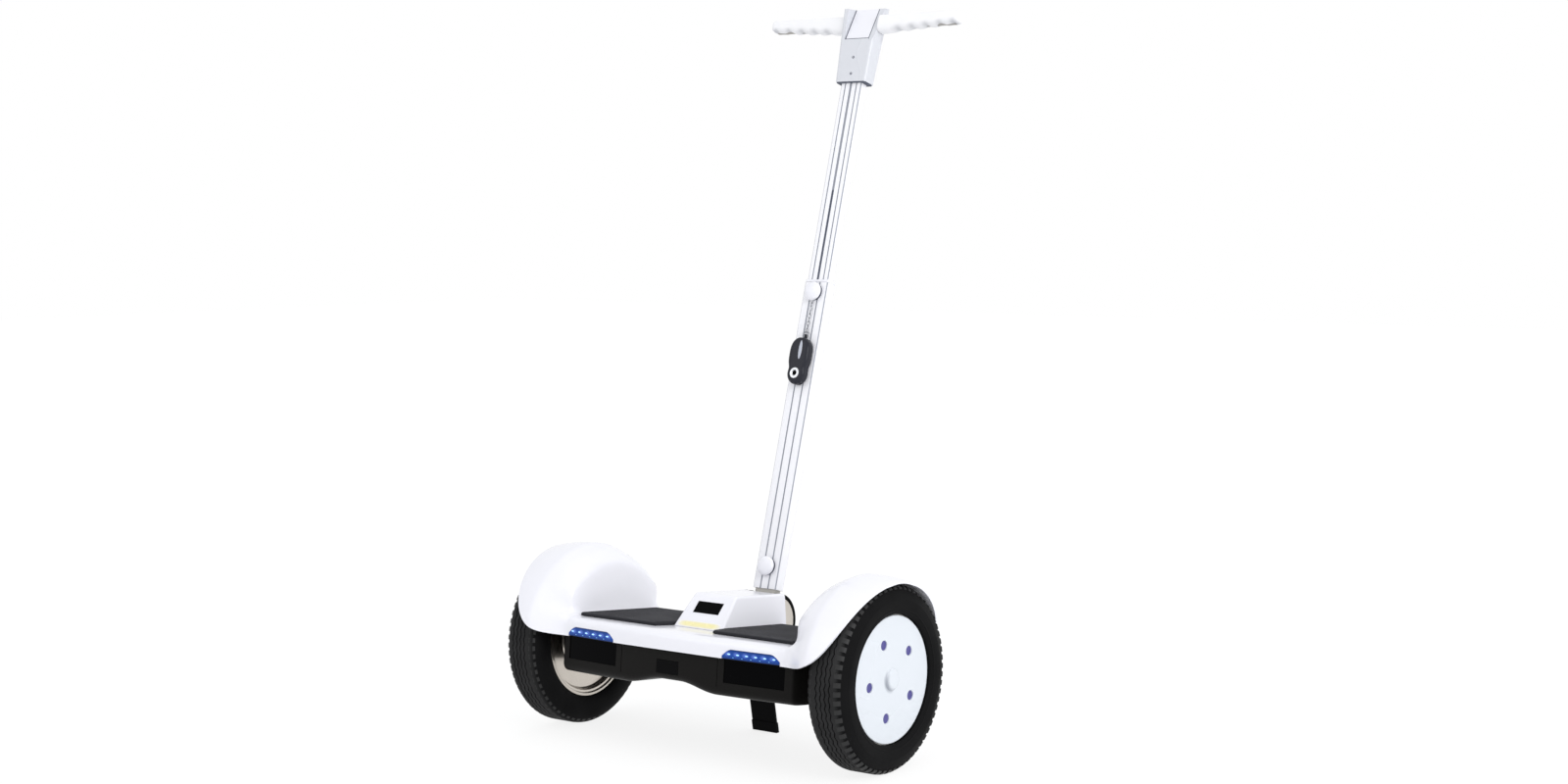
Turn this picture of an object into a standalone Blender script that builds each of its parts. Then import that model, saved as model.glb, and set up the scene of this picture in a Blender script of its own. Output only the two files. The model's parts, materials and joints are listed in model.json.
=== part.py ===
"""A self-balancing scooter, parked on its front stand.

Two wheels with hub motors carry a standing deck, and a folding pole steers it.
The origin is the middle of the stand's foot, on the floor. +X is the rider's
right, +Y is ahead and +Z is up. Units are metres.

The deck is modelled level, in a frame on the axle, and that frame is pitched
nose down until the stand reaches the floor. The pole is modelled along +Z, in a
frame on the fold axis. The wheels and the stand are modelled in upright frames.
"""

import math

import bmesh
import bpy

MM = 0.001

# Gaps between pieces that touch, and the walls of the mouldings
GAP = 0.3 * MM
WALL = 3 * MM

# Wheels
WHEEL_RADIUS = 127 * MM
TYRE_CENTRE_X = 267.4 * MM
TYRE_HALF_WIDTH = 31 * MM
TREAD_HALF_WIDTH = 17.5 * MM
BEAD_HALF_WIDTH = 24 * MM
BEAD_RADIUS = 87.5 * MM
TYRE_WALL = 5.5 * MM
WHEEL_STEPS = 32
RIM_INBOARD = -26 * MM
RIM_WALL = 9 * MM
RIM_WEB = 5 * MM
RIM_LIP = 5 * MM
RIM_DISH = 4 * MM
HUB_FACE = 20 * MM
MOTOR_COVER_THICK = 6 * MM
STATOR_RADIUS = 73 * MM
STATOR_HALF_WIDTH = 9.5 * MM
STATOR_GAP = 1.5 * MM
SHAFT_RADIUS = 9 * MM
SHAFT_LENGTH = 114 * MM
SHAFT_INSET = 1 * MM
SHAFT_PLAY = 1 * MM
BEARING_RADIUS = 18 * MM
SMALL_STEPS = 20
HUBCAP_RADIUS = 86 * MM
HUBCAP_THICK = 2.3 * MM
HUBCAP_EDGE = 1 * MM
HUBCAP_BOSS_RADIUS = 15 * MM
HUBCAP_BOSS_RISE = 2.6 * MM
RECESS_COUNT = 5
RECESS_RADIUS = 7 * MM
RECESS_PITCH_RADIUS = 52 * MM
RECESS_DEPTH = 1.2 * MM
RECESS_FIRST_ANGLE = 39.2

# Top cover: a deck that rises at each side into a fender over the wheel
DECK_TOP = 39.5 * MM
DECK_HALF_DEPTH = 124 * MM
DECK_BOW = 12.5 * MM
DECK_SQUARENESS = 12
SKIRT_EDGE_Z = 13.5 * MM
FENDER_OVER_TYRE = 10.5 * MM
FENDER_OUTER_DROP = 6 * MM
FENDER_FOOT_X = 188.5 * MM
FENDER_CREST_X = 245 * MM
FENDER_OUTER_X = 298 * MM
FENDER_TIP_ANGLE = 84
FENDER_RISE = ((0, 0), (0.06, 0.12), (0.115, 0.42), (0.2, 0.74), (0.47, 0.885), (0.735, 0.955), (1, 1))
SKIRT_FLARE_X = 200 * MM
COVER_STEPS = 18
CORNER_SPREAD = (0.68, 0.88, 0.96, 1.03, 1.13, 1.4, 2.1, 3.4)

# Lower shell
SHELL_HALF_DEPTH = 117 * MM
SHELL_TOP = 13.2 * MM
SHELL_CORNER = 12 * MM
TUB_END_X = 200 * MM
NECK_END_X = 232 * MM
NECK_HALF_DEPTH = 48 * MM
BELLY_CENTRE = 28 * MM
BELLY_SIDE = 39 * MM
BELLY_NECK = 34.4 * MM
ARCH_INNER_X = 15 * MM
ARCH_OUTER_X = 80 * MM
CAVITY_END_X = 193 * MM
END_WALL_X = 190.5 * MM
BOSS_X = 150 * MM
BOSS_RADIUS = 6 * MM
BOSS_INSET = 12 * MM

# Chassis and what stands on it
CHASSIS_TOP = -13 * MM
CHASSIS_THICK = 5 * MM
CHASSIS_HALF_WIDTH = 190 * MM
CHASSIS_HALF_DEPTH = 62 * MM
TONGUE_HALF_WIDTH = 34 * MM
TONGUE_FRONT = SHELL_HALF_DEPTH - 5 * MM
CLAMP_INNER_X = 168 * MM
CLAMP_HALF_DEPTH = 20 * MM
CLAMP_TOP = 20 * MM
BATTERY_X = (-160 * MM, -48 * MM)
BATTERY_HALF_DEPTH = 56 * MM
BATTERY_TOP = 30 * MM
BATTERY_EDGE = 3 * MM
BOARD_X = (48 * MM, 160 * MM)
BOARD_HALF_DEPTH = 50 * MM
BOARD_THICK = 1.6 * MM
POST_HEIGHT = 5 * MM
POST_RADIUS = 3 * MM
HEAT_SINK_HEIGHT = 20 * MM
HEAT_SINK_BASE = 4 * MM
HEAT_SINK_MARGIN = 15 * MM
HEAT_SINK_FRONT = 25 * MM
FIN_COUNT = 6

# Foot pads, and the switch sheet under the deck
PAD_THICK = 5.2 * MM
PAD_OUTER_X = 188 * MM
PAD_INNER_X = 44.5 * MM
PAD_REAR = -86 * MM
PAD_FRONT = 82 * MM
PAD_CHAMFER_X = 56 * MM
PAD_CHAMFER_Y = -45 * MM
SHEET_THICK = 1.5 * MM
SHEET_HALF_WIDTH = 184 * MM
SHEET_REAR = PAD_REAR + 14 * MM
SHEET_FRONT_GAP = 4 * MM

# Lights in the rear skirt
LENS_INNER_X = 96 * MM
LENS_OUTER_X = 186 * MM
LENS_TOP = 26 * MM
LENS_SHOULDER = 15 * MM
LENS_END_HEIGHT = 3.5 * MM
LENS_THICK = 5 * MM
LENS_PROUD = 0.6 * MM
LENS_CUT_REACH = 8
LIGHT_BOARD_MARGIN = 1 * MM

# Place of the fold hinge, which stands on the chassis tongue
HINGE_Y = SHELL_HALF_DEPTH - 23.5 * MM
HINGE_Z = 43.5 * MM

# Console hood, which covers the hinge from the rear
HOOD_FOOT_HALF = 43 * MM
HOOD_TOP_HALF = 37 * MM
HOOD_FOOT_REAR = -56 * MM
HOOD_TOP_REAR = -18 * MM
HOOD_FRONT = HINGE_Y - 0.5 * MM
HOOD_TOP = 86 * MM
HOOD_WALL = 2.5 * MM
HOOD_ROUND = 4 * MM
HOOD_NOTCH_REAR = HINGE_Y - 11.5 * MM
WINDOW_HALF_WIDTH = 23 * MM
WINDOW_LOW = 25 * MM
WINDOW_HIGH = 45.8 * MM
DISPLAY_MARGIN = 3 * MM

# Fold hinge
EAR_INNER_X = 24.5 * MM
EAR_THICK = 3.5 * MM
EAR_RADIUS = 36 * MM
EAR_LEG_REAR = HINGE_Y - 21.5 * MM
BRACKET_BASE = 4 * MM
GUARD_WIDTH = 5.4 * MM
BOLT_RADIUS = 5 * MM
BOLT_HEAD_RADIUS = 8 * MM
BOLT_HEAD_THICK = 4.5 * MM
BARREL_RADIUS = 10 * MM
DECK_NOTCH_HALF = 34 * MM
DECK_NOTCH_REAR = HINGE_Y - 45.5 * MM

# Pole, along its own axis from the fold axis
POLE_LEAN = 10.8
LEAN_PIN_HEIGHT = 22 * MM
LEAN_PIN_RADIUS = 4 * MM
LEAN_PIN_HEAD = 2 * MM
LUG_RADIUS = 11 * MM
LUG_HALF_THICK = 8.7 * MM
FORK_THICK = 3 * MM
FORK_HALF_WIDTH = 13 * MM
BUSH_WALL = 3 * MM
LOWER_WIDTH = 41 * MM
LOWER_DEPTH = 20 * MM
LOWER_WALL = 1.8 * MM
LOWER_FOOT = 46 * MM
LOWER_TOP = 500 * MM
UPPER_WALL = 1.5 * MM
UPPER_FOOT = 390 * MM
TUBE_CORNER = 2.5 * MM
GROOVE_WIDTH = 1.6 * MM
GROOVE_DEPTH = 0.7 * MM
SLOT_WIDTH = 4 * MM
SLOT_DEPTH = 0.8 * MM
POST_CLEARANCE = 0.4 * MM
ROOT_SHOULDER = 33 * MM
ROOT_TOP = 95 * MM
ROOT_OVERLAP = 3 * MM
COLLAR_LENGTH = 3.7 * MM

# Clamp knobs
KNOB_HEIGHTS = {"lower": 78 * MM, "upper": 485 * MM}
KNOB_RADIUS = 14 * MM
KNOB_THICK = 7.5 * MM
KNOB_STANDOFF = 3.6 * MM
KNOB_SHANK_RADIUS = 3 * MM
KNOB_EDGE = 1 * MM
KNOB_DOME = 2.5 * MM

# Key fob on its chain
FOB_TOP = 414 * MM
FOB_LENGTH = 70 * MM
FOB_WIDTH = 34 * MM
FOB_THICK = 15 * MM
FOB_REST = 0.5 * MM
FOB_SECTIONS = ((0, 2 * MM), (0.2, 0), (0.73, 0), (0.907, 2 * MM), (1, 5 * MM))
FOB_SQUARENESS = 0.75
FOB_TAB_HALF = (1.3 * MM, 2.2 * MM)
FOB_EYE_RISE = 4 * MM
FOB_POCKET = 4 * MM
FOB_BUTTON_HEIGHT = 16 * MM
FOB_BUTTON_RADIUS = 8 * MM
FOB_BUTTON_PROUD = 1.2 * MM
FOB_BUTTON_TRAVEL = 1.0 * MM
CHAIN_RING_RADIUS = 6 * MM
CHAIN_WIRE = 1.0 * MM
CHAIN_LOOP_RADIUS = 3.4 * MM
CHAIN_LOOP_WIRE = 0.8 * MM
CHAIN_BEAD_COUNT = 8
CHAIN_BEAD_RADIUS = 1.4 * MM
CHAIN_STANDOFF = 2.6 * MM

# Head and handle: heights are along the pole, and the head is placed from the handle
HANDLE_HEIGHT = 899 * MM
UPPER_TOP = HANDLE_HEIGHT - 23 * MM
HEAD_FOOT = HANDLE_HEIGHT - 92 * MM
HEAD_TOP_REAR = HANDLE_HEIGHT + 21 * MM
HEAD_TOP_FRONT = HANDLE_HEIGHT + 29 * MM
HEAD_FOOT_HALF = (27 * MM, 12.5 * MM)
HEAD_TOP_HALF = (31 * MM, 16 * MM)
HEAD_ROUND = 4 * MM
HEAD_SPLIT = 6 * MM
HEAD_WALL = 3 * MM
HEAD_POCKET_HALF = 23.5 * MM
BADGE_HALF_WIDTH = 21.5 * MM
BADGE_FOOT = (-13 * MM, HANDLE_HEIGHT - 27 * MM)
BADGE_HEAD = (3 * MM, HANDLE_HEIGHT + 25.7 * MM)
BADGE_THICK = 2 * MM
BADGE_LEDGE = 2.5 * MM
HEAD_SHELF = 4 * MM
HANDLE_AHEAD = 4 * MM
HANDLE_TUBE_RADIUS = 6 * MM
HANDLE_TUBE_WALL = 1.5 * MM
GRIP_TIP_X = 168 * MM
GRIP_ROOT_HEIGHT = 27 * MM
GRIP_TIP_HEIGHT = 18 * MM
GRIP_THICK = 24 * MM
GRIP_CENTRE_AHEAD = 2 * MM
GRIP_STEPS = 20
SCALLOP_FIRST_X = 64 * MM
SCALLOP_PITCH = 24 * MM
SCALLOP_DEPTH = 2 * MM
GRIP_END_WALL = 7 * MM
GRIP_NOSE = 6 * MM

# Parking stand
STAND_Y = SHELL_HALF_DEPTH - 24 * MM
STAND_Z = -35 * MM
STAND_LEAN = 10.7
STAND_HALF_WIDTH = 21 * MM
STAND_THICK = 5 * MM
STAND_EYE_RADIUS = 5.5 * MM
STAND_PIN_RADIUS = 2.5 * MM
STAND_PIN_PROUD = 1 * MM
STAND_EAR_THICK = 4 * MM
STAND_EAR_WALL = 2 * MM
STAND_LENGTH = 84.8 * MM
FOOT_HEIGHT = 16 * MM
FOOT_WALL = 2.8 * MM
FOOT_SIDE = 1.5 * MM
FOOT_SOLE = 3.5 * MM

# Charge socket in the rear, and power button in the front
SOCKET_Z = -8 * MM
SOCKET_RADIUS = 7.5 * MM
SOCKET_BORE = 5.5 * MM
SOCKET_LENGTH = 20 * MM
SOCKET_DEPTH = 14 * MM
SOCKET_FLANGE = 2.2 * MM
SOCKET_FLANGE_WIDTH = 1.6 * MM
FLAP_HALF_WIDTH = 19 * MM
FLAP_TOP = -0.8 * MM
FLAP_FOOT = -19.2 * MM
FLAP_THICK = 1.3 * MM
PORT_FLANGE = 2.2 * MM
PORT_FLANGE_EDGE = 3 * MM
PORT_FLANGE_FOOT = -15.6 * MM
BUTTON_X = 120 * MM
BUTTON_Z = -8 * MM
BUTTON_RADIUS = 8 * MM
BUTTON_PROUD = 1.5 * MM
BUTTON_EDGE = 1 * MM
BUTTON_SEAT = -4.3 * MM
BUTTON_FLANGE = 2 * MM


def stand_reach():
    """The foot's place from the axle, (ahead, down), with the deck level.

    The leg leans by STAND_LEAN from upright once the deck is pitched, so the
    pitch is found by stepping towards the value that puts the foot on the floor.
    """
    pitch = 0.0
    for _ in range(40):
        lean = math.radians(STAND_LEAN) + pitch
        ahead = STAND_Y + STAND_LENGTH * math.sin(lean)
        down = -STAND_Z + STAND_LENGTH * math.cos(lean)
        pitch = math.asin(WHEEL_RADIUS / math.hypot(ahead, down)) - math.atan2(down, ahead)
    return ahead, down, pitch


FOOT_AHEAD, FOOT_DOWN, PITCH = stand_reach()
AXLE_Y = -(FOOT_AHEAD * math.cos(PITCH) - FOOT_DOWN * math.sin(PITCH))
TAU = 2 * math.pi


# Shapes: each function returns (points, faces) of one closed surface

def loft(rings):
    """Joins rings of equally many points, and closes both ends."""
    count = len(rings[0])
    points = [point for ring in rings for point in ring]
    faces = [tuple(range(count)), tuple(range(len(points) - count, len(points)))]
    for start in range(0, len(points) - count, count):
        for step in range(count):
            after = (step + 1) % count
            faces.append((start + step, start + after, start + count + after, start + count + step))
    return points, faces


def placed(across, along, axis):
    """A point from its two coordinates across an axis and the one along it."""
    first, second = across
    return {"X": (along, first, second), "Y": (first, along, second), "Z": (first, second, along)}[axis]


def prism(outline, axis, low, high):
    """An outline, in the two coordinates across the axis, drawn out from low to high."""
    return loft([[placed(point, along, axis) for point in outline] for along in (low, high)])


def box(low, high):
    outline = [(low[0], low[1]), (high[0], low[1]), (high[0], high[1]), (low[0], high[1])]
    return prism(outline, "Z", low[2], high[2])


def circle(centre, radius, steps):
    """Points round a circle whose facets, not its corners, lie at the radius."""
    corner = radius / math.cos(math.pi / steps)
    angles = [TAU * (step + 0.5) / steps for step in range(steps)]
    return [(centre[0] + corner * math.cos(a), centre[1] + corner * math.sin(a)) for a in angles]


def rod(centre, radius, axis, low, high, steps=SMALL_STEPS):
    return prism(circle(centre, radius, steps), axis, low, high)


def turned(profile, axis, steps, centre=(0, 0)):
    """Turns a closed profile of (along, radius) points about an axis."""
    points = []
    rings = []
    for along, radius in profile:
        ring = [centre] if radius == 0 else circle(centre, radius, steps)
        rings.append(range(len(points), len(points) + len(ring)))
        points += [placed(point, along, axis) for point in ring]
    faces = []
    for ring, after in zip(rings, rings[1:] + rings[:1]):
        for step in range(steps):
            corners = [ring[step % len(ring)], ring[(step + 1) % len(ring)]]
            corners += [after[(step + 1) % len(after)], after[step % len(after)]]
            corners = list(dict.fromkeys(corners))
            if len(corners) > 2:
                faces.append(corners)
    return points, faces


def arc(centre, radius, first, last, steps):
    """Points along an arc, in degrees from the first axis to the second."""
    angles = [math.radians(first + (last - first) * step / steps) for step in range(steps + 1)]
    return [(centre[0] + radius * math.cos(a), centre[1] + radius * math.sin(a)) for a in angles]


def rounded(half_width, half_depth, radius, steps=2):
    """A rectangle about the origin, with rounded corners."""
    outline = []
    for quarter, (across, along) in enumerate(((1, 1), (-1, 1), (-1, -1), (1, -1))):
        corner = (across * (half_width - radius), along * (half_depth - radius))
        outline += arc(corner, radius, 90 * quarter, 90 * quarter + 90, steps)
    return outline


def ring_of_wire(centre, radius, wire, steps=20, sides=6):
    """A closed ring that faces along Y."""
    profile = [(along, radius + across) for across, along in circle((0, 0), wire, sides)]
    return turned([(centre[1] + along, r) for along, r in profile], "Y", steps, (centre[0], centre[2]))


# Objects

FINISHES = {
    "white": ((0.88, 0.88, 0.90), 0.22, 0.0),
    "black": ((0.02, 0.02, 0.022), 0.45, 0.0),
    "tyre": ((0.025, 0.025, 0.027), 0.8, 0.0),
    "pad": ((0.045, 0.045, 0.05), 0.7, 0.0),
    "grip": ((0.82, 0.82, 0.83), 0.5, 0.0),
    "rubber": ((0.03, 0.03, 0.03), 0.75, 0.0),
    "rim": ((0.72, 0.69, 0.64), 0.3, 1.0),
    "steel": ((0.55, 0.54, 0.52), 0.35, 1.0),
    "white_metal": ((0.85, 0.85, 0.86), 0.3, 0.0),
    "chrome": ((0.8, 0.8, 0.8), 0.12, 1.0),
    "lens": ((0.02, 0.07, 0.55), 0.08, 0.0),
    "window": ((0.01, 0.01, 0.012), 0.06, 0.0),
    "board": ((0.03, 0.2, 0.08), 0.5, 0.0),
    "battery": ((0.05, 0.12, 0.35), 0.5, 0.0),
    "copper": ((0.6, 0.3, 0.15), 0.4, 0.9),
}


def finish(name):
    """The material of that name, made when it is first asked for."""
    if name in bpy.data.materials:
        return bpy.data.materials[name]
    colour, roughness, metallic = FINISHES[name]
    made = bpy.data.materials.new(name)
    made.use_nodes = True
    shader = made.node_tree.nodes["Principled BSDF"]
    shader.inputs["Base Color"].default_value = (*colour, 1)
    shader.inputs["Roughness"].default_value = roughness
    shader.inputs["Metallic"].default_value = metallic
    made.diffuse_color = (*colour, 1)
    return made


def frame(name, parent, place, turn=0.0):
    """An empty that carries pieces, turned about X."""
    empty = bpy.data.objects.new(name, None)
    empty.location = place
    empty.rotation_euler = (turn, 0, 0)
    empty.parent = parent
    bpy.context.scene.collection.objects.link(empty)
    return empty


def thing(name, shape, carrier):
    """A mesh object with its faces pointing out, under its carrier."""
    mesh = bpy.data.meshes.new(name)
    mesh.from_pydata(shape[0], [], shape[1])
    work = bmesh.new()
    work.from_mesh(mesh)
    bmesh.ops.recalc_face_normals(work, faces=work.faces)
    work.to_mesh(mesh)
    work.free()
    made = bpy.data.objects.new(name, mesh)
    made.parent = carrier
    bpy.context.scene.collection.objects.link(made)
    return made


def piece(name, shape, look, carrier, sharp=35):
    """One sub-part, smooth apart from edges sharper than that many degrees."""
    made = thing(name, shape, carrier)
    made.data.materials.append(finish(look))
    made.data.shade_smooth()
    made.data.set_sharp_from_angle(angle=math.radians(sharp))
    return made


def combine(target, operation, shape):
    tool = thing(f"{target.name}_tool_{len(target.modifiers)}", shape, target.parent)
    tool.hide_render = True
    tool.display_type = "WIRE"
    change = target.modifiers.new(operation.title(), "BOOLEAN")
    change.operation = operation
    change.solver = "EXACT"
    change.object = tool


def cut(target, *shapes):
    for shape in shapes:
        combine(target, "DIFFERENCE", shape)


def join(target, *shapes):
    for shape in shapes:
        combine(target, "UNION", shape)


SIDES = ((-1, "left"), (1, "right"))


# Wheels, each in a frame at the middle of its tyre

def tyre_side(bead, bulge, tread, foot, top):
    """Half of the tyre's section, from its bead to its tread."""
    middle = foot + (top - foot) * 0.42
    points = [(bead, foot)]
    for angle in (45, 90):
        turn = math.radians(angle)
        points.append((bead + (bulge - bead) * math.sin(turn), foot + (middle - foot) * (1 - math.cos(turn))))
    for angle in (30, 60, 90):
        turn = math.radians(angle)
        points.append((tread + (bulge - tread) * math.cos(turn), middle + (top - middle) * math.sin(turn)))
    return points


def make_wheel(side, word, carrier):
    def mirrored(profile):
        return [(side * along, radius) for along, radius in profile]

    outer = tyre_side(BEAD_HALF_WIDTH, TYRE_HALF_WIDTH, TREAD_HALF_WIDTH, BEAD_RADIUS, WHEEL_RADIUS)
    inner = tyre_side(BEAD_HALF_WIDTH - TYRE_WALL, TYRE_HALF_WIDTH - TYRE_WALL,
                      TREAD_HALF_WIDTH - TYRE_WALL / 2, BEAD_RADIUS, WHEEL_RADIUS - TYRE_WALL - GAP)
    inner = inner[::2] + inner[-1:]
    profile = [(-u, r) for u, r in outer] + outer[::-1] + inner + [(-u, r) for u, r in inner[::-1]]
    piece(f"tyre_{word}", turned(mirrored(profile), "X", WHEEL_STEPS), "tyre", carrier)

    seat = BEAD_RADIUS - GAP
    cover_inner = HUB_FACE - MOTOR_COVER_THICK
    web_face = -STATOR_HALF_WIDTH - STATOR_GAP
    web_hole = BEARING_RADIUS + GAP
    drum = seat - RIM_WALL
    dish = drum - RIM_DISH
    rim = [(RIM_INBOARD, seat), (cover_inner - GAP, seat), (cover_inner - GAP, drum), (web_face, drum),
           (web_face, web_hole), (web_face - RIM_WEB, web_hole), (web_face - RIM_WEB, dish),
           (RIM_INBOARD, seat - RIM_LIP)]
    piece(f"rim_{word}", turned(mirrored(rim), "X", WHEEL_STEPS), "rim", carrier)
    cover = [(cover_inner, web_hole), (cover_inner, seat), (HUB_FACE, seat), (HUB_FACE, web_hole)]
    piece(f"motor_cover_{word}", turned(mirrored(cover), "X", WHEEL_STEPS), "steel", carrier)

    bearings = (("inner", web_face - RIM_WEB, web_face), ("outer", cover_inner, HUB_FACE))
    for place, low, high in bearings:
        bore = SHAFT_RADIUS + GAP
        race = [(low, bore), (low, BEARING_RADIUS), (high, BEARING_RADIUS), (high, bore)]
        piece(f"bearing_{word}_{place}", turned(mirrored(race), "X", SMALL_STEPS), "steel", carrier)

    face = HUB_FACE + GAP + HUBCAP_THICK
    cap = [(HUB_FACE + GAP, 0), (HUB_FACE + GAP, HUBCAP_RADIUS), (face - HUBCAP_EDGE, HUBCAP_RADIUS),
           (face, HUBCAP_RADIUS - 1.5 * HUBCAP_EDGE), (face, HUBCAP_BOSS_RADIUS),
           (face + HUBCAP_BOSS_RISE * 0.75, HUBCAP_BOSS_RADIUS * 0.75), (face + HUBCAP_BOSS_RISE, 0)]
    hubcap = piece(f"hubcap_{word}", turned(mirrored(cap), "X", WHEEL_STEPS), "white", carrier)
    ends = sorted((side * (face - RECESS_DEPTH), side * (face + RECESS_DEPTH)))
    for number in range(RECESS_COUNT):
        turn = math.radians(RECESS_FIRST_ANGLE) + TAU * number / RECESS_COUNT
        centre = (RECESS_PITCH_RADIUS * math.cos(turn), RECESS_PITCH_RADIUS * math.sin(turn))
        cut(hubcap, rod(centre, RECESS_RADIUS, "X", *ends, steps=12))


def make_motor_core(side, word, carrier):
    """The stator and its axle, which the chassis holds still."""
    tip = HUB_FACE - SHAFT_INSET
    core = [(tip - SHAFT_LENGTH, 0), (tip - SHAFT_LENGTH, SHAFT_RADIUS), (-STATOR_HALF_WIDTH, SHAFT_RADIUS),
            (-STATOR_HALF_WIDTH, STATOR_RADIUS), (STATOR_HALF_WIDTH, STATOR_RADIUS),
            (STATOR_HALF_WIDTH, SHAFT_RADIUS), (tip, SHAFT_RADIUS), (tip, 0)]
    shape = turned([(side * along, radius) for along, radius in core], "X", SMALL_STEPS)
    piece(f"motor_core_{word}", shape, "copper", carrier)


# Top cover

def ease(share):
    """0 to 1, flat at both ends."""
    share = min(max(share, 0), 1)
    return share * share * (3 - 2 * share)


def fender_rise(share):
    """How far the cover has risen to the fender's crest, by its share of the way out."""
    share = min(max(share, 0), 1)
    for (low, start), (high, end) in zip(FENDER_RISE, FENDER_RISE[1:]):
        if share <= high:
            return start + (end - start) * (share - low) / (high - low)
    return 1


def half_depth(x):
    """The bowed rear edge's distance from the axle."""
    return DECK_HALF_DEPTH - DECK_BOW * (x / PAD_OUTER_X) ** 2


def edge_angle(x):
    """Degrees up from level, seen from the axle, at which the cover's lower edge lies."""
    lowest = math.degrees(math.atan2(SKIRT_EDGE_Z, DECK_HALF_DEPTH))
    share = min(max((x - SKIRT_FLARE_X) / (FENDER_OUTER_X - SKIRT_FLARE_X), 0), 1)
    return lowest + (FENDER_TIP_ANGLE - lowest) * (1 - math.sqrt(1 - share ** 3.4))


def cover_reach(x, angle, inset):
    """The distance from the axle of the cover's face, or of a face set in from it."""
    turn = math.radians(angle)
    power = DECK_SQUARENESS
    deep = math.cos(turn) / (half_depth(x) - inset)
    high = math.sin(turn) / (DECK_TOP - inset)
    flat = (deep ** power + high ** power) ** (-1 / power)
    crest = WHEEL_RADIUS + FENDER_OVER_TYRE - inset
    out = max(x - FENDER_CREST_X, 0) / (FENDER_OUTER_X - FENDER_CREST_X)
    crest -= FENDER_OUTER_DROP * out * out
    share = (x - FENDER_FOOT_X) / (FENDER_CREST_X - FENDER_FOOT_X)
    steep = ease((angle - 15) / 25)
    rise = steep * fender_rise(share) + (1 - steep) * ease(share)
    return flat + (crest - flat) * rise


def cover_row(x, inset):
    """Points across the cover at one x, from its rear edge over the top to its front edge.

    An inner row also lies further out where the cover rises, so that the rise has a wall.
    """
    side = abs(x)
    lowest = edge_angle(side)
    corner = math.degrees(math.atan2(DECK_TOP, half_depth(side)))
    half = COVER_STEPS // 2
    deck = [lowest] + [share * corner for share in CORNER_SPREAD] + [90]
    share = (side - FENDER_FOOT_X) / (FENDER_CREST_X - FENDER_FOOT_X)
    over = ease(share * 1.5)
    coming = ease((side / FENDER_FOOT_X - 0.8) / 0.2)
    outward = inset * coming * (1 - ease((share - 0.2) / 0.8))
    row = []
    for step in range(COVER_STEPS + 1):
        near = min(step, COVER_STEPS - step)
        even = lowest + (90 - lowest) * near / half
        angle = deck[near] + (even - deck[near]) * over
        reach = cover_reach(side, angle, inset)
        ahead = -1 if step < half else 1
        turn = math.radians(angle)
        row.append((x + math.copysign(outward, x), ahead * reach * math.cos(turn), reach * math.sin(turn)))
    return row


def cover_stations():
    """Places across the cover, closer where it rises and at its outer ends."""
    deck = [FENDER_FOOT_X * share for share in (0, 0.18, 0.4, 0.6, 0.78, 0.9, 1)]
    span = FENDER_CREST_X - FENDER_FOOT_X
    wall = [FENDER_FOOT_X + span * share for share, _ in FENDER_RISE[1:]]
    wall.insert(3, FENDER_FOOT_X + span * 0.32)
    out = FENDER_OUTER_X - FENDER_CREST_X
    outer = [FENDER_CREST_X + out * share for share in (0.25, 0.48, 0.66, 0.8, 0.9, 0.96, 1)]
    half = deck + wall + outer
    return [-x for x in half[:0:-1]] + half


def lens_ring(x, grow):
    """The light's section at one x: its outer face follows the bowed skirt."""
    side = abs(x)
    inset = min(side - LENS_INNER_X, LENS_OUTER_X - side)
    share = min(max(inset / LENS_SHOULDER, 0), 1)
    foot = SKIRT_EDGE_Z - grow * LENS_CUT_REACH
    end = SKIRT_EDGE_Z + LENS_END_HEIGHT
    top = end + (LENS_TOP - end) * math.sin(share * math.pi / 2) + grow
    face = -half_depth(side) - LENS_PROUD - grow * LENS_CUT_REACH
    back = -half_depth(side) + LENS_THICK + grow
    return [(x, face, foot), (x, back, foot), (x, back, top), (x, face, top)]


def lens_shape(side, grow):
    span = LENS_OUTER_X - LENS_INNER_X
    inner = [LENS_INNER_X + LENS_SHOULDER * share for share in (0, 0.25, 0.6, 1)]
    middle = [LENS_INNER_X + span * share for share in (0.4, 0.6)]
    outer = [LENS_OUTER_X - LENS_SHOULDER * share for share in (1, 0.6, 0.25, 0)]
    stations = inner + middle + outer
    rings = [lens_ring(side * x, grow) for x in stations]
    if grow:
        rings = [[(x - side * grow, y, z) for x, y, z in rings[0]]] + rings
        rings += [[(x + side * grow, y, z) for x, y, z in rings[-1]]]
    return loft(rings)


def walled(outer, inner):
    """A closed shell between two grids of points, each a list of equally long rows."""
    width = len(outer[0])
    count = len(outer) * width
    points = [point for grid in (outer, inner) for row in grid for point in row]
    faces = []
    for start in range(0, count - width, width):
        for corner in range(start, start + width - 1):
            skin = (corner, corner + 1, corner + width + 1, corner + width)
            faces += [skin, tuple(count + index for index in reversed(skin))]
    sides = [range(width), range(width - 1, count, width), range(count - 1, count - width - 1, -1),
             range(count - width, -1, -width)]
    for side in sides:
        for first, second in zip(side, side[1:]):
            faces.append((second, first, count + first, count + second))
    return points, faces


def make_top_cover(carrier):
    stations = cover_stations()
    outer = [cover_row(x, 0) for x in stations]
    inner = [cover_row(x, WALL) for x in stations]
    cover = piece("top_cover", walled(outer, inner), "white", carrier, sharp=50)
    low = (-DECK_NOTCH_HALF, DECK_NOTCH_REAR, -DECK_TOP)
    cut(cover, box(low, (DECK_NOTCH_HALF, DECK_HALF_DEPTH * 1.2, DECK_TOP * 1.5)))
    for side, _ in SIDES:
        cut(cover, lens_shape(side, GAP))


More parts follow.
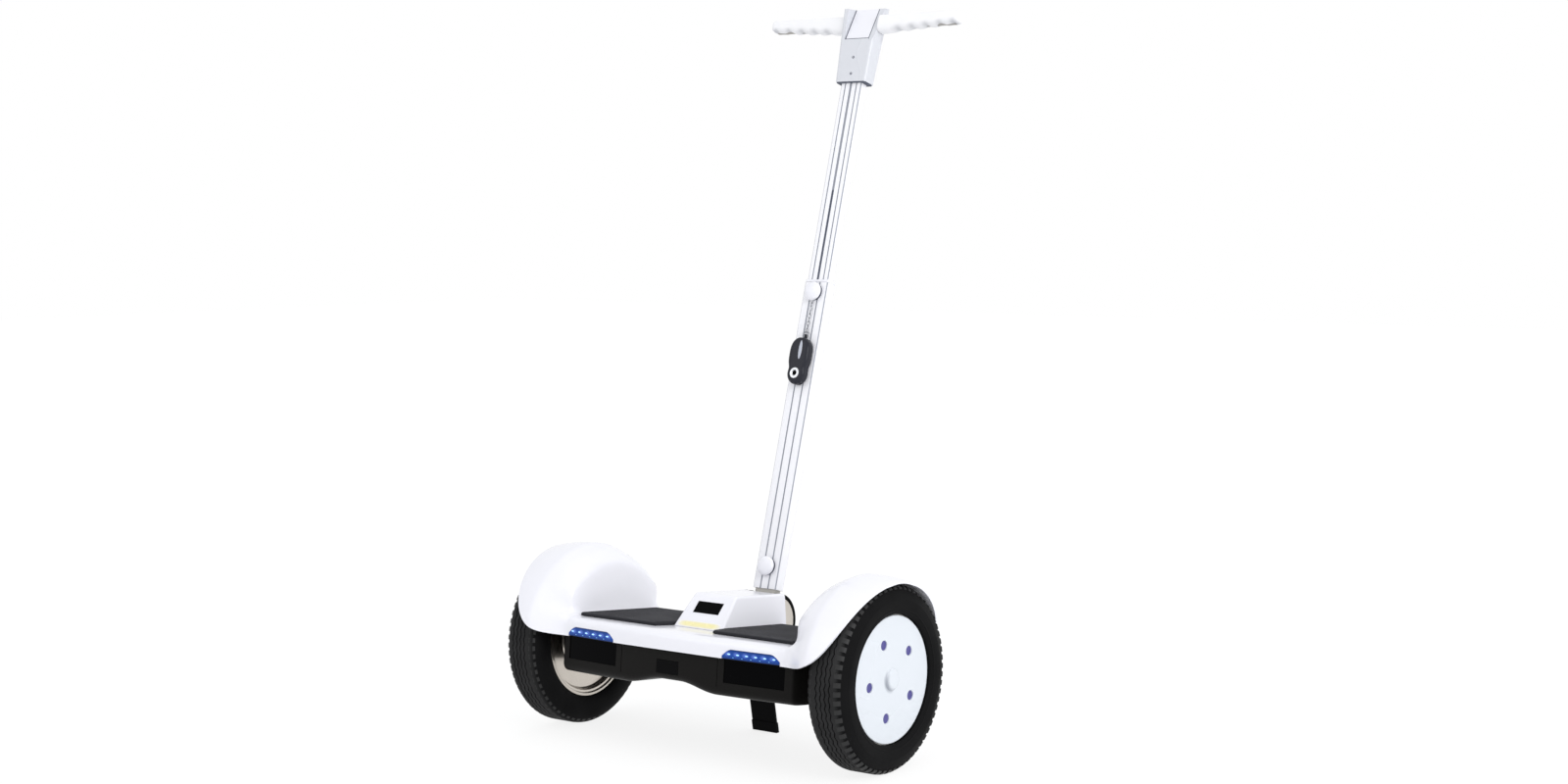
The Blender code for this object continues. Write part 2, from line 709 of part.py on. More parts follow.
def make_lights(side, word, carrier):
    piece(f"lens_{word}", lens_shape(side, 0), "lens", carrier)
    rings = []
    for x in (LENS_INNER_X + LENS_SHOULDER * 0.7, LENS_OUTER_X - LENS_SHOULDER * 0.7):
        face = -half_depth(x) + LENS_THICK + GAP
        back = face + BOARD_THICK
        low = SKIRT_EDGE_Z + LIGHT_BOARD_MARGIN
        high = LENS_TOP - LIGHT_BOARD_MARGIN
        corners = [(face, low), (back, low), (back, high), (face, high)]
        rings.append([(side * x, y, z) for y, z in corners])
    piece(f"light_board_{word}", loft(rings), "board", carrier)


# Lower shell

def belly_depth(x):
    """How far the belly lies below the axle: an arch at the middle, shallower necks."""
    side = abs(x)
    share = min(max((side - ARCH_INNER_X) / (ARCH_OUTER_X - ARCH_INNER_X), 0), 1)
    depth = BELLY_CENTRE + (BELLY_SIDE - BELLY_CENTRE) * (1 - math.cos(math.pi * share)) / 2
    out = min(max((side - TUB_END_X) / (NECK_END_X - TUB_END_X), 0), 1)
    return depth + (BELLY_NECK - BELLY_SIDE) * ease(out)


def tub_half_depth(x):
    side = abs(x)
    deep = SHELL_HALF_DEPTH - DECK_BOW * (min(side, TUB_END_X) / PAD_OUTER_X) ** 2
    out = min(max((side - TUB_END_X) / (NECK_END_X - TUB_END_X), 0), 1)
    return deep + (NECK_HALF_DEPTH - deep) * math.sin(out * math.pi / 2) ** 1.5


def tub_ring(x, inset, top):
    deep = tub_half_depth(x) - inset
    low = -belly_depth(x) + inset
    radius = SHELL_CORNER - inset
    front = arc((deep - radius, low + radius), radius, 0, -90, 3)
    rear = [(-y, z) for y, z in front[::-1]]
    return [(x, y, z) for y, z in [(deep, top)] + front + rear + [(-deep, top)]]


def make_lower_shell(carrier):
    arch = [ARCH_INNER_X + (ARCH_OUTER_X - ARCH_INNER_X) * share for share in (0, 0.2, 0.4, 0.6, 0.8, 1)]
    plain = [ARCH_OUTER_X + (TUB_END_X - ARCH_OUTER_X) * share for share in (1 / 3, 2 / 3, 1)]
    neck = [TUB_END_X + (NECK_END_X - TUB_END_X) * share for share in (0.12, 0.3, 0.55, 0.8, 1)]
    half = [0] + arch + plain + neck
    stations = [-x for x in half[:0:-1]] + half
    shell = piece("lower_shell", loft([tub_ring(x, 0, SHELL_TOP) for x in stations]), "black", carrier)
    inside = [x for x in stations if abs(x) < CAVITY_END_X]
    inside = [-CAVITY_END_X] + inside + [CAVITY_END_X]
    cut(shell, loft([tub_ring(x, WALL, SHELL_TOP + 2 * WALL) for x in inside]))
    for side, _ in SIDES:
        wide = half_depth(CAVITY_END_X) - 4 * WALL
        high = DECK_TOP - WALL - 3 * GAP
        outline = [(-wide, SHELL_TOP - WALL), (wide, SHELL_TOP - WALL), (wide, high - 3 * WALL),
                   (wide - 3 * WALL, high), (3 * WALL - wide, high), (-wide, high - 3 * WALL)]
        ends = sorted((side * END_WALL_X, side * (END_WALL_X + WALL)))
        join(shell, prism(outline, "X", *ends))
        for y in (BOSS_INSET - CHASSIS_HALF_DEPTH, CHASSIS_HALF_DEPTH - BOSS_INSET):
            boss = (side * BOSS_X, y)
            low = -BELLY_SIDE + WALL / 2
            join(shell, rod(boss, BOSS_RADIUS, "Z", low, CHASSIS_TOP - CHASSIS_THICK - GAP, steps=12))
        ends = sorted((side * (END_WALL_X - WALL), side * (NECK_END_X + WALL)))
        cut(shell, rod((0, 0), SHAFT_RADIUS + SHAFT_PLAY, "X", *ends))
        ear_low = STAND_HALF_WIDTH + 2 * GAP
        ear_high = STAND_HALF_WIDTH + 4 * GAP + STAND_EAR_THICK
        xs = sorted((side * ear_low, side * ear_high))
        reach = STAND_EYE_RADIUS + STAND_EAR_WALL + 2 * GAP
        under = CHASSIS_TOP - CHASSIS_THICK
        cut(shell, box((xs[0], STAND_Y - reach, -BELLY_SIDE), (xs[1], STAND_Y + reach, under)))
    cut(shell, box((-FLAP_HALF_WIDTH - GAP, -SHELL_HALF_DEPTH * 1.1, FLAP_FOOT - GAP),
                   (FLAP_HALF_WIDTH + GAP, -SHELL_HALF_DEPTH * 0.9, FLAP_TOP + GAP)))
    front = tub_half_depth(BUTTON_X)
    cut(shell, rod((BUTTON_X, BUTTON_Z), BUTTON_RADIUS + GAP, "Y", front - 3 * WALL, front + WALL))


def make_charge_port(carrier):
    """An insert that fills the opening behind the flap, and the socket held in it."""
    flange = -SHELL_HALF_DEPTH + WALL + GAP
    plate_inner = flange + PORT_FLANGE
    mouth = -SHELL_HALF_DEPTH + FLAP_THICK + GAP
    wide = FLAP_HALF_WIDTH + PORT_FLANGE_EDGE
    behind = box((-wide, flange, PORT_FLANGE_FOOT), (wide, plate_inner, FLAP_TOP + PORT_FLANGE_EDGE))
    plate = piece("port_plate", behind, "black", carrier)
    pad_end = flange + PORT_FLANGE / 2
    join(plate, box((-FLAP_HALF_WIDTH, mouth, FLAP_FOOT), (FLAP_HALF_WIDTH, pad_end, FLAP_TOP)))
    cut(plate, rod((0, SOCKET_Z), SOCKET_RADIUS + GAP, "Y", mouth - WALL, plate_inner + WALL))
    back = mouth + SOCKET_LENGTH
    bore_end = mouth + SOCKET_DEPTH
    rim = SOCKET_RADIUS + SOCKET_FLANGE_WIDTH
    seat = plate_inner + GAP
    profile = [(mouth, SOCKET_BORE), (mouth, SOCKET_RADIUS), (seat, SOCKET_RADIUS), (seat, rim),
               (seat + SOCKET_FLANGE, rim), (seat + SOCKET_FLANGE, SOCKET_RADIUS), (back, SOCKET_RADIUS),
               (back, 0), (bore_end, 0), (bore_end, SOCKET_BORE)]
    piece("charge_socket", turned(profile, "Y", SMALL_STEPS, (0, SOCKET_Z)), "black", carrier)


def make_charge_flap(carrier):
    """In a frame on the flap's hinge, at its outer top edge."""
    low = (-FLAP_HALF_WIDTH, 0, FLAP_FOOT - FLAP_TOP)
    piece("charge_flap", box(low, (FLAP_HALF_WIDTH, FLAP_THICK, 0)), "rubber", carrier)


def make_power_button(carrier):
    """In a frame at the centre of the hole, on the shell's front face."""
    flange = BUTTON_RADIUS + BUTTON_FLANGE
    inner = BUTTON_SEAT - BUTTON_FLANGE
    profile = [(BUTTON_PROUD, 0), (BUTTON_PROUD, BUTTON_RADIUS - BUTTON_EDGE),
               (BUTTON_PROUD - BUTTON_EDGE, BUTTON_RADIUS), (BUTTON_SEAT, BUTTON_RADIUS),
               (BUTTON_SEAT, flange), (inner, flange), (inner, 0)]
    piece("power_button", turned(profile, "Y", SMALL_STEPS), "black", carrier)


# Chassis and internals

def make_chassis(carrier):
    low = CHASSIS_TOP - CHASSIS_THICK
    outline = [(-CHASSIS_HALF_WIDTH, -CHASSIS_HALF_DEPTH), (CHASSIS_HALF_WIDTH, -CHASSIS_HALF_DEPTH),
               (CHASSIS_HALF_WIDTH, CHASSIS_HALF_DEPTH), (TONGUE_HALF_WIDTH, CHASSIS_HALF_DEPTH),
               (TONGUE_HALF_WIDTH, TONGUE_FRONT), (-TONGUE_HALF_WIDTH, TONGUE_FRONT),
               (-TONGUE_HALF_WIDTH, CHASSIS_HALF_DEPTH), (-CHASSIS_HALF_WIDTH, CHASSIS_HALF_DEPTH)]
    chassis = piece("chassis", prism(outline, "Z", low, CHASSIS_TOP), "steel", carrier)
    reach = STAND_EYE_RADIUS + STAND_EAR_WALL
    ear = arc((STAND_Y, STAND_Z), STAND_EYE_RADIUS + STAND_EAR_WALL / 4, 180, 360, 8)
    root = low + CHASSIS_THICK / 5
    ear = [(STAND_Y - reach, root)] + ear + [(STAND_Y + reach, root)]
    for side, _ in SIDES:
        inner = STAND_HALF_WIDTH + 3 * GAP
        join(chassis, prism(ear, "X", *sorted((side * inner, side * (inner + STAND_EAR_THICK)))))
    width = STAND_HALF_WIDTH + 2 * STAND_EAR_THICK
    cut(chassis, rod((STAND_Y, STAND_Z), STAND_PIN_RADIUS + GAP, "X", -width, width, steps=16))


def make_clamp(side, word, carrier):
    ends = sorted((side * CLAMP_INNER_X, side * CHASSIS_HALF_WIDTH))
    low = (ends[0], -CLAMP_HALF_DEPTH, CHASSIS_TOP + GAP)
    clamp = piece(f"axle_clamp_{word}", box(low, (ends[1], CLAMP_HALF_DEPTH, CLAMP_TOP)), "steel", carrier)
    cut(clamp, rod((0, 0), SHAFT_RADIUS + GAP, "X", ends[0] - WALL, ends[1] + WALL))


def make_internals(carrier):
    floor = CHASSIS_TOP + GAP
    cells = box((BATTERY_X[0], -BATTERY_HALF_DEPTH, floor), (BATTERY_X[1], BATTERY_HALF_DEPTH, BATTERY_TOP))
    battery = piece("battery_pack", cells, "battery", carrier)
    edge = battery.modifiers.new("Edge", "BEVEL")
    edge.width = BATTERY_EDGE
    edge.segments = 2

    under = floor + POST_HEIGHT
    upper = under + BOARD_THICK
    low = (BOARD_X[0], -BOARD_HALF_DEPTH, under)
    board = piece("control_board", box(low, (BOARD_X[1], BOARD_HALF_DEPTH, upper)), "board", carrier)
    for x in (BOARD_X[0] + 2 * POST_RADIUS, BOARD_X[1] - 2 * POST_RADIUS):
        for y in (-BOARD_HALF_DEPTH + 2 * POST_RADIUS, BOARD_HALF_DEPTH - 2 * POST_RADIUS):
            join(board, rod((x, y), POST_RADIUS, "Z", floor, under + BOARD_THICK / 2, steps=10))
    sink_x = (BOARD_X[0] + HEAT_SINK_MARGIN, BOARD_X[1] - HEAT_SINK_MARGIN)
    sink_y = (-BOARD_HALF_DEPTH + HEAT_SINK_MARGIN, BOARD_HALF_DEPTH - HEAT_SINK_FRONT)
    pitch = (sink_y[1] - sink_y[0]) / (2 * FIN_COUNT - 1)
    comb = [(sink_y[0], under + BOARD_THICK / 2), (sink_y[1], under + BOARD_THICK / 2)]
    for fin in range(FIN_COUNT):
        near = sink_y[1] - 2 * fin * pitch
        comb += [(near, upper + HEAT_SINK_HEIGHT), (near - pitch, upper + HEAT_SINK_HEIGHT)]
        if fin < FIN_COUNT - 1:
            comb += [(near - pitch, upper + HEAT_SINK_BASE), (near - 2 * pitch, upper + HEAT_SINK_BASE)]
    join(board, prism(comb, "X", *sink_x))

    top = DECK_TOP - WALL - GAP
    front = DECK_NOTCH_REAR - SHEET_FRONT_GAP
    outline = [(-SHEET_HALF_WIDTH, SHEET_REAR), (SHEET_HALF_WIDTH, SHEET_REAR), (SHEET_HALF_WIDTH, front),
               (-SHEET_HALF_WIDTH, front)]
    piece("foot_switch_sheet", prism(outline, "Z", top - SHEET_THICK, top), "board", carrier)


def make_pad(side, word, carrier):
    outline = [(PAD_CHAMFER_X, PAD_REAR), (PAD_OUTER_X, PAD_REAR), (PAD_OUTER_X, PAD_FRONT),
               (PAD_INNER_X, PAD_FRONT), (PAD_INNER_X, PAD_CHAMFER_Y)]
    outline = [(side * x, y) for x, y in outline]
    low = DECK_TOP + GAP
    piece(f"footpad_{word}", prism(outline, "Z", low, low + PAD_THICK), "pad", carrier)


# Console hood

HOOD_SLOPE = math.atan2(HOOD_TOP - DECK_TOP - GAP, HOOD_TOP_REAR - HOOD_FOOT_REAR)


def hood_ring(z, inset, front):
    """The hood's plan at a height, moved in by an amount, with its rear corners rounded."""
    share = (z - DECK_TOP - GAP) / (HOOD_TOP - DECK_TOP - GAP)
    half = HOOD_FOOT_HALF + (HOOD_TOP_HALF - HOOD_FOOT_HALF) * share - inset
    rear = HOOD_FOOT_REAR + (HOOD_TOP_REAR - HOOD_FOOT_REAR) * share + inset / math.sin(HOOD_SLOPE)
    radius = max(HOOD_ROUND - inset, 0.5 * MM)
    left = arc((radius - half, rear + radius), radius, 180, 270, 3)
    right = [(-x, y) for x, y in left[::-1]]
    return [(x, y, z) for x, y in [(-half, front)] + left + right + [(half, front)]]


def make_hood(carrier):
    foot = DECK_TOP + GAP
    rings = [hood_ring(foot, 0, HOOD_FRONT)]
    for angle in (0, 30, 60, 90):
        turn = math.radians(angle)
        height = HOOD_TOP - HOOD_ROUND * (1 - math.sin(turn))
        rings.append(hood_ring(height, HOOD_ROUND * (1 - math.cos(turn)), HOOD_FRONT))
    hood = piece("console_hood", loft(rings), "white", carrier)
    ahead = HOOD_FRONT + HOOD_WALL
    hollow = [hood_ring(z, HOOD_WALL, ahead) for z in (foot - HOOD_WALL, HOOD_TOP - HOOD_WALL)]
    cut(hood, loft(hollow))
    notch = EAR_INNER_X + EAR_THICK + 4 * GAP
    cut(hood, box((-notch, HOOD_NOTCH_REAR, HOOD_TOP - 3 * HOOD_WALL), (notch, ahead, HOOD_TOP + HOOD_WALL)))
    return hood


def make_display(hood, carrier):
    """In a frame at the foot of the hood's slope: Y runs up it and Z out of it."""
    half = WINDOW_HALF_WIDTH
    opening = box((-half, WINDOW_LOW, -2 * HOOD_WALL), (half, WINDOW_HIGH, HOOD_WALL))
    tool = thing("window_opening", opening, carrier)
    tool.hide_render = True
    tool.display_type = "WIRE"
    change = hood.modifiers.new("Window", "BOOLEAN")
    change.solver = "EXACT"
    change.object = tool
    low = (-half + GAP, WINDOW_LOW + GAP, -HOOD_WALL)
    piece("display_window", box(low, (half - GAP, WINDOW_HIGH - GAP, -GAP)), "window", carrier)
    low = (-half - DISPLAY_MARGIN, WINDOW_LOW - DISPLAY_MARGIN, -HOOD_WALL - GAP - BOARD_THICK)
    high = (half + DISPLAY_MARGIN, WINDOW_HIGH + DISPLAY_MARGIN, -HOOD_WALL - GAP)
    piece("display_board", box(low, high), "board", carrier)


# Fold hinge

def make_hinge(carrier):
    """In a frame on the fold axis, level with the deck."""
    floor = CHASSIS_TOP + GAP - HINGE_Z
    rear = EAR_LEG_REAR - HINGE_Y
    front = TONGUE_FRONT - HINGE_Y
    first = -math.degrees(math.acos(front / EAR_RADIUS))
    last = 360 - math.degrees(math.acos(rear / EAR_RADIUS))
    outline = [(rear, floor), (front, floor)] + arc((0, 0), EAR_RADIUS, first, last, 26)
    outer = EAR_INNER_X + EAR_THICK
    bracket = piece("hinge_bracket", prism(outline, "X", EAR_INNER_X, outer), "steel", carrier)
    join(bracket, prism(outline, "X", -outer, -EAR_INNER_X))
    low = (-EAR_INNER_X - EAR_THICK / 2, rear + GAP, floor + GAP)
    join(bracket, box(low, (EAR_INNER_X + EAR_THICK / 2, front - GAP, floor + BRACKET_BASE)))
    cut(bracket, rod((0, 0), BOLT_RADIUS + GAP, "X", -2 * outer, 2 * outer))

    for side, word in SIDES:
        inner = EAR_RADIUS + GAP
        guard = arc((0, 0), inner + GUARD_WIDTH, -30, 210, 22) + arc((0, 0), inner, 210, -30, 22)
        ends = sorted((side * EAR_INNER_X, side * outer))
        piece(f"hinge_guard_{word}", prism(guard, "X", *ends), "rubber", carrier)

    head = outer + GAP
    tip = head + BOLT_HEAD_THICK
    shaft = [(-tip, 0), (-tip, BOLT_HEAD_RADIUS), (-head, BOLT_HEAD_RADIUS), (-head, BOLT_RADIUS)]
    profile = shaft + [(-along, radius) for along, radius in shaft[::-1]]
    piece("hinge_bolt", turned(profile, "X", SMALL_STEPS), "steel", carrier)


def make_fold_hub(carrier):
    """In the pole's frame: a barrel on the bolt, and a fork that holds the lean pin."""
    half = EAR_INNER_X - GAP
    hub = piece("fold_hub", rod((0, 0), BARREL_RADIUS, "X", -half, half), "steel", carrier)
    inner = LUG_HALF_THICK + GAP
    outline = [(-FORK_HALF_WIDTH, 0), (FORK_HALF_WIDTH, 0)]
    outline += arc((0, LEAN_PIN_HEIGHT), FORK_HALF_WIDTH, 0, 180, 10)
    for side in (-1, 1):
        join(hub, prism(outline, "Y", *sorted((side * inner, side * (inner + FORK_THICK)))))
    cut(hub, rod((0, 0), BOLT_RADIUS + GAP, "X", -2 * half, 2 * half))
    reach = 2 * (inner + FORK_THICK)
    cut(hub, rod((0, LEAN_PIN_HEIGHT), LEAN_PIN_RADIUS + GAP, "Y", -reach, reach, steps=16))

    head = inner + FORK_THICK + GAP
    tip = head + LEAN_PIN_HEAD
    wide = LEAN_PIN_RADIUS + LEAN_PIN_HEAD
    shaft = [(-tip, 0), (-tip, wide), (-head, wide), (-head, LEAN_PIN_RADIUS)]
    profile = shaft + [(-along, radius) for along, radius in shaft[::-1]]
    piece("lean_pin", turned(profile, "Y", 16, (0, LEAN_PIN_HEIGHT)), "steel", carrier)


# Pole

UPPER_WIDTH = LOWER_WIDTH - 2 * LOWER_WALL - 2 * GAP
UPPER_DEPTH = LOWER_DEPTH - 2 * LOWER_WALL - 2 * GAP


def grooved(half_width, half_depth, grooves, width, depth):
    """A rounded rectangle with grooves in its rear and front faces."""
    outline = []
    for quarter, (across, along) in enumerate(((1, 1), (-1, 1), (-1, -1), (1, -1))):
        corner = (across * (half_width - TUBE_CORNER), along * (half_depth - TUBE_CORNER))
        outline += arc(corner, TUBE_CORNER, 90 * quarter, 90 * quarter + 90, 2)
        if quarter in (0, 2):
            for x in sorted(grooves, reverse=across > 0):
                near, far = x + across * width / 2, x - across * width / 2
                face = along * half_depth
                floor = along * (half_depth - depth)
                outline += [(near, face), (near, floor), (far, floor), (far, face)]
    return outline


def make_pole(carrier):
    """In a frame on the lean pin's axis, but measured from the fold axis."""
    post = (UPPER_WIDTH / 2 - POST_CLEARANCE, UPPER_DEPTH / 2 - POST_CLEARANCE)
    outline = rounded(*post, TUBE_CORNER)
    root = piece("pole_root", prism(outline, "Z", ROOT_SHOULDER, ROOT_TOP), "steel", carrier)
    lug = [(LUG_RADIUS, ROOT_SHOULDER + ROOT_OVERLAP), (-LUG_RADIUS, ROOT_SHOULDER + ROOT_OVERLAP)]
    lug += arc((0, LEAN_PIN_HEIGHT), LUG_RADIUS, 180, 360, 10)
    join(root, prism(lug, "Y", -LUG_HALF_THICK, LUG_HALF_THICK))
    bush = LEAN_PIN_RADIUS + GAP + BUSH_WALL
    cut(root, rod((0, LEAN_PIN_HEIGHT), bush + GAP, "Y", -LOWER_DEPTH, LOWER_DEPTH, steps=16))
    inner = LEAN_PIN_RADIUS + GAP
    ring = [(-LUG_HALF_THICK, inner), (-LUG_HALF_THICK, bush), (LUG_HALF_THICK, bush),
            (LUG_HALF_THICK, inner)]
    piece("centring_bush", turned(ring, "Y", 16, (0, LEAN_PIN_HEIGHT)), "rubber", carrier)

    half = (LOWER_WIDTH / 2, LOWER_DEPTH / 2)
    thirds = (LOWER_WIDTH / 6, -LOWER_WIDTH / 6)
    outline = grooved(*half, thirds, GROOVE_WIDTH, GROOVE_DEPTH)
    lower = piece("lower_tube", prism(outline, "Z", LOWER_FOOT, LOWER_TOP), "white_metal", carrier)
    hollow = (half[0] - LOWER_WALL, half[1] - LOWER_WALL)
    bore = (-hollow[0], -hollow[1], LOWER_FOOT - WALL)
    cut(lower, box(bore, (hollow[0], hollow[1], LOWER_TOP + WALL)))
    through = (-half[1] - WALL, -hollow[1] + WALL / 2)
    for height in KNOB_HEIGHTS.values():
        cut(lower, rod((0, height), KNOB_SHANK_RADIUS + GAP, "Y", *through, steps=12))

    foot = LOWER_TOP + GAP
    band = prism(rounded(*half, TUBE_CORNER), "Z", foot, foot + COLLAR_LENGTH)
    collar = piece("guide_bush", band, "white", carrier)
    low = (-UPPER_WIDTH / 2 - GAP, -UPPER_DEPTH / 2 - GAP, foot - WALL)
    cut(collar, box(low, (UPPER_WIDTH / 2 + GAP, UPPER_DEPTH / 2 + GAP, foot + COLLAR_LENGTH + WALL)))


def make_knob(word, carrier):
    """In a frame at the shank's middle, on the tube's rear face. The cap is to the rear."""
    reach = LOWER_WALL + POST_CLEARANCE / 2
    inner = -KNOB_STANDOFF
    outer = inner - KNOB_THICK
    profile = [(reach, 0), (reach, KNOB_SHANK_RADIUS), (inner, KNOB_SHANK_RADIUS),
               (inner, KNOB_RADIUS - KNOB_EDGE), (inner - KNOB_EDGE, KNOB_RADIUS),
               (outer + KNOB_DOME, KNOB_RADIUS), (outer + KNOB_DOME / 3, KNOB_RADIUS * 0.85),
               (outer, KNOB_RADIUS * 0.5), (outer, 0)]
    piece(f"clamp_knob_{word}", turned(profile, "Y", SMALL_STEPS), "white", carrier)


def make_upper_tube(carrier):
    outline = grooved(UPPER_WIDTH / 2, UPPER_DEPTH / 2, (0,), SLOT_WIDTH, SLOT_DEPTH)
    upper = piece("upper_tube", prism(outline, "Z", UPPER_FOOT, UPPER_TOP), "white_metal", carrier)
    hollow = (UPPER_WIDTH / 2 - UPPER_WALL, UPPER_DEPTH / 2 - UPPER_WALL)
    low = (-hollow[0], -hollow[1], UPPER_FOOT - WALL)
    cut(upper, box(low, (hollow[0], hollow[1], UPPER_TOP + WALL)))


# Key fob, in a frame on the high knob's shank

def bead_string(start, end):
    """A row of beads from one point to another."""
    rings = []
    steps = 4 * CHAIN_BEAD_COUNT
    for step in range(steps + 1):
        share = step / steps
        swell = math.sin(math.pi * share * CHAIN_BEAD_COUNT) ** 2
        radius = CHAIN_WIRE * 0.7 + (CHAIN_BEAD_RADIUS - CHAIN_WIRE * 0.7) * swell
        middle = [a + (b - a) * share for a, b in zip(start, end)]
        rings.append([(x, y, middle[2]) for x, y in circle(middle[:2], radius, 6)])
    return loft(rings)


def make_fob(carrier):
    """Hangs at rest with its back on the tube. Heights are below the shank."""
    knob = KNOB_HEIGHTS["upper"]
    tube_face = -LOWER_DEPTH / 2
    plane = tube_face - KNOB_STANDOFF / 2
    sag = CHAIN_RING_RADIUS - CHAIN_WIRE - KNOB_SHANK_RADIUS - GAP
    loop_plane = tube_face - FOB_REST - CHAIN_STANDOFF
    top = FOB_TOP - knob
    eye = top + FOB_EYE_RISE
    loop_centre = eye + CHAIN_LOOP_RADIUS
    start = (0, loop_plane, loop_centre + CHAIN_LOOP_RADIUS)
    end = (0, plane, -sag - CHAIN_RING_RADIUS)
    chain = piece("fob_chain", bead_string(start, end), "chrome", carrier)
    join(chain, ring_of_wire((0, plane, -sag), CHAIN_RING_RADIUS, CHAIN_WIRE, steps=16),
         ring_of_wire((0, loop_plane, loop_centre), CHAIN_LOOP_RADIUS, CHAIN_LOOP_WIRE, steps=12))

    rear = tube_face - FOB_REST - FOB_THICK
    middle = top - FOB_LENGTH / 2
    rings = []
    for depth, inset in FOB_SECTIONS:
        along = tube_face - FOB_REST - FOB_THICK * depth
        wide = FOB_WIDTH / 2 - inset
        tall = FOB_LENGTH / 2 - inset
        ring = []
        for step in range(20):
            turn = TAU * step / 20
            across = math.copysign(abs(math.cos(turn)) ** FOB_SQUARENESS, math.cos(turn))
            up = math.copysign(abs(math.sin(turn)) ** FOB_SQUARENESS, math.sin(turn))
            ring.append((wide * across, along, middle + tall * up))
        rings.append(ring)
    case = piece("fob_case", loft(rings), "black", carrier)
    half, deep = FOB_TAB_HALF
    join(case, box((-half, loop_plane - deep, top - deep), (half, loop_plane + deep, eye + deep)))
    cut(case, rod((loop_plane, eye), CHAIN_LOOP_WIRE + 2 * GAP, "X", -2 * half, 2 * half, steps=8))
    button = top - FOB_LENGTH + FOB_BUTTON_HEIGHT
    pocket = rear + FOB_POCKET
    cut(case, rod((0, button), FOB_BUTTON_RADIUS + GAP, "Y", rear - WALL, pocket, steps=16))
    return rear, pocket, button


def make_fob_button(carrier, pocket, face):
    """In a frame at the middle of the fob's rear face, over the pocket."""
    inner = pocket - FOB_BUTTON_TRAVEL - GAP - face
    profile = [(inner, 0), (inner, FOB_BUTTON_RADIUS), (-FOB_BUTTON_PROUD * 0.5, FOB_BUTTON_RADIUS),
               (-FOB_BUTTON_PROUD, FOB_BUTTON_RADIUS * 0.7), (-FOB_BUTTON_PROUD, 0)]
    piece("fob_button", turned(profile, "Y", 16), "chrome", carrier)


# Head and handle, in the pole's frame

def head_ring(share):
    """A rounded section of the head, with its top plane tilted to lie level."""
    wide = HEAD_FOOT_HALF[0] + (HEAD_TOP_HALF[0] - HEAD_FOOT_HALF[0]) * share
    deep = HEAD_FOOT_HALF[1] + (HEAD_TOP_HALF[1] - HEAD_FOOT_HALF[1]) * share
    ring = []
    for x, t in rounded(wide, deep, HEAD_ROUND):
        ahead = (t / HEAD_TOP_HALF[1] + 1) / 2
        top = HEAD_TOP_REAR + (HEAD_TOP_FRONT - HEAD_TOP_REAR) * ahead
        ring.append((x, t, HEAD_FOOT + (top - HEAD_FOOT) * share))
    return ring


def badge_outline(back, front, ends):
    """A band along the badge's slope, by its distances in from the outer face."""
    run = (BADGE_HEAD[0] - BADGE_FOOT[0], BADGE_HEAD[1] - BADGE_FOOT[1])
    length = math.hypot(*run)
    along = (run[0] / length, run[1] / length)
    inward = (along[1], -along[0])
    corners = []
    for end, depth in ((-ends, back), (length + ends, back), (length + ends, front), (-ends, front)):
        corners.append((BADGE_FOOT[0] + along[0] * end + inward[0] * depth,
                        BADGE_FOOT[1] + along[1] * end + inward[1] * depth))
    return corners


def make_head(carrier):
    cheek = BADGE_HALF_WIDTH + GAP
    ledge = cheek - BADGE_LEDGE
    shelf = BADGE_FOOT[1] - HEAD_SHELF
    hollow_depth = HEAD_FOOT_HALF[1] - HEAD_WALL
    lower_hollow = box((-HEAD_POCKET_HALF, -hollow_depth, HEAD_FOOT + HEAD_WALL),
                       (HEAD_POCKET_HALF, hollow_depth, shelf))
    upper_hollow = box((-ledge, -hollow_depth, shelf - HEAD_SHELF / 2),
                       (ledge, HEAD_TOP_HALF[1] - HEAD_WALL, HEAD_TOP_REAR + HEAD_SHELF / 2))
    low = (-UPPER_WIDTH / 2 - GAP, -UPPER_DEPTH / 2 - GAP, HEAD_FOOT - WALL)
    tube_hole = box(low, (UPPER_WIDTH / 2 + GAP, UPPER_DEPTH / 2 + GAP, HEAD_FOOT + 2 * HEAD_WALL))
    reach = 2 * HEAD_TOP_HALF[0]
    bar_hole = rod((HANDLE_AHEAD, HANDLE_HEIGHT), HANDLE_TUBE_RADIUS + GAP, "X", -reach, reach)
    whole = loft([head_ring(0), head_ring(1)])
    high = HEAD_TOP_FRONT + WALL

    for word, kept in (("rear", -1), ("front", 1)):
        shell = piece(f"head_{word}_shell", whole, "white", carrier)
        seam = HEAD_SPLIT + kept * GAP / 2
        spare = sorted((seam, seam + -kept * reach))
        cut(shell, box((-reach, spare[0], HEAD_FOOT - WALL), (reach, spare[1], high)))
        cut(shell, lower_hollow, upper_hollow, tube_hole, bar_hole)
        if kept < 0:
            opening = badge_outline(-2 * HEAD_TOP_HALF[1], BADGE_THICK + GAP, 2 * WALL)
            start = badge_outline(-2 * HEAD_TOP_HALF[1], BADGE_THICK + GAP, 0)
            opening = [start[0], opening[1], opening[2], start[3]]
            cut(shell, prism(opening, "X", -cheek, cheek))
    badge = badge_outline(0, BADGE_THICK, -GAP)
    piece("badge_panel", prism(badge, "X", -BADGE_HALF_WIDTH, BADGE_HALF_WIDTH), "white", carrier)


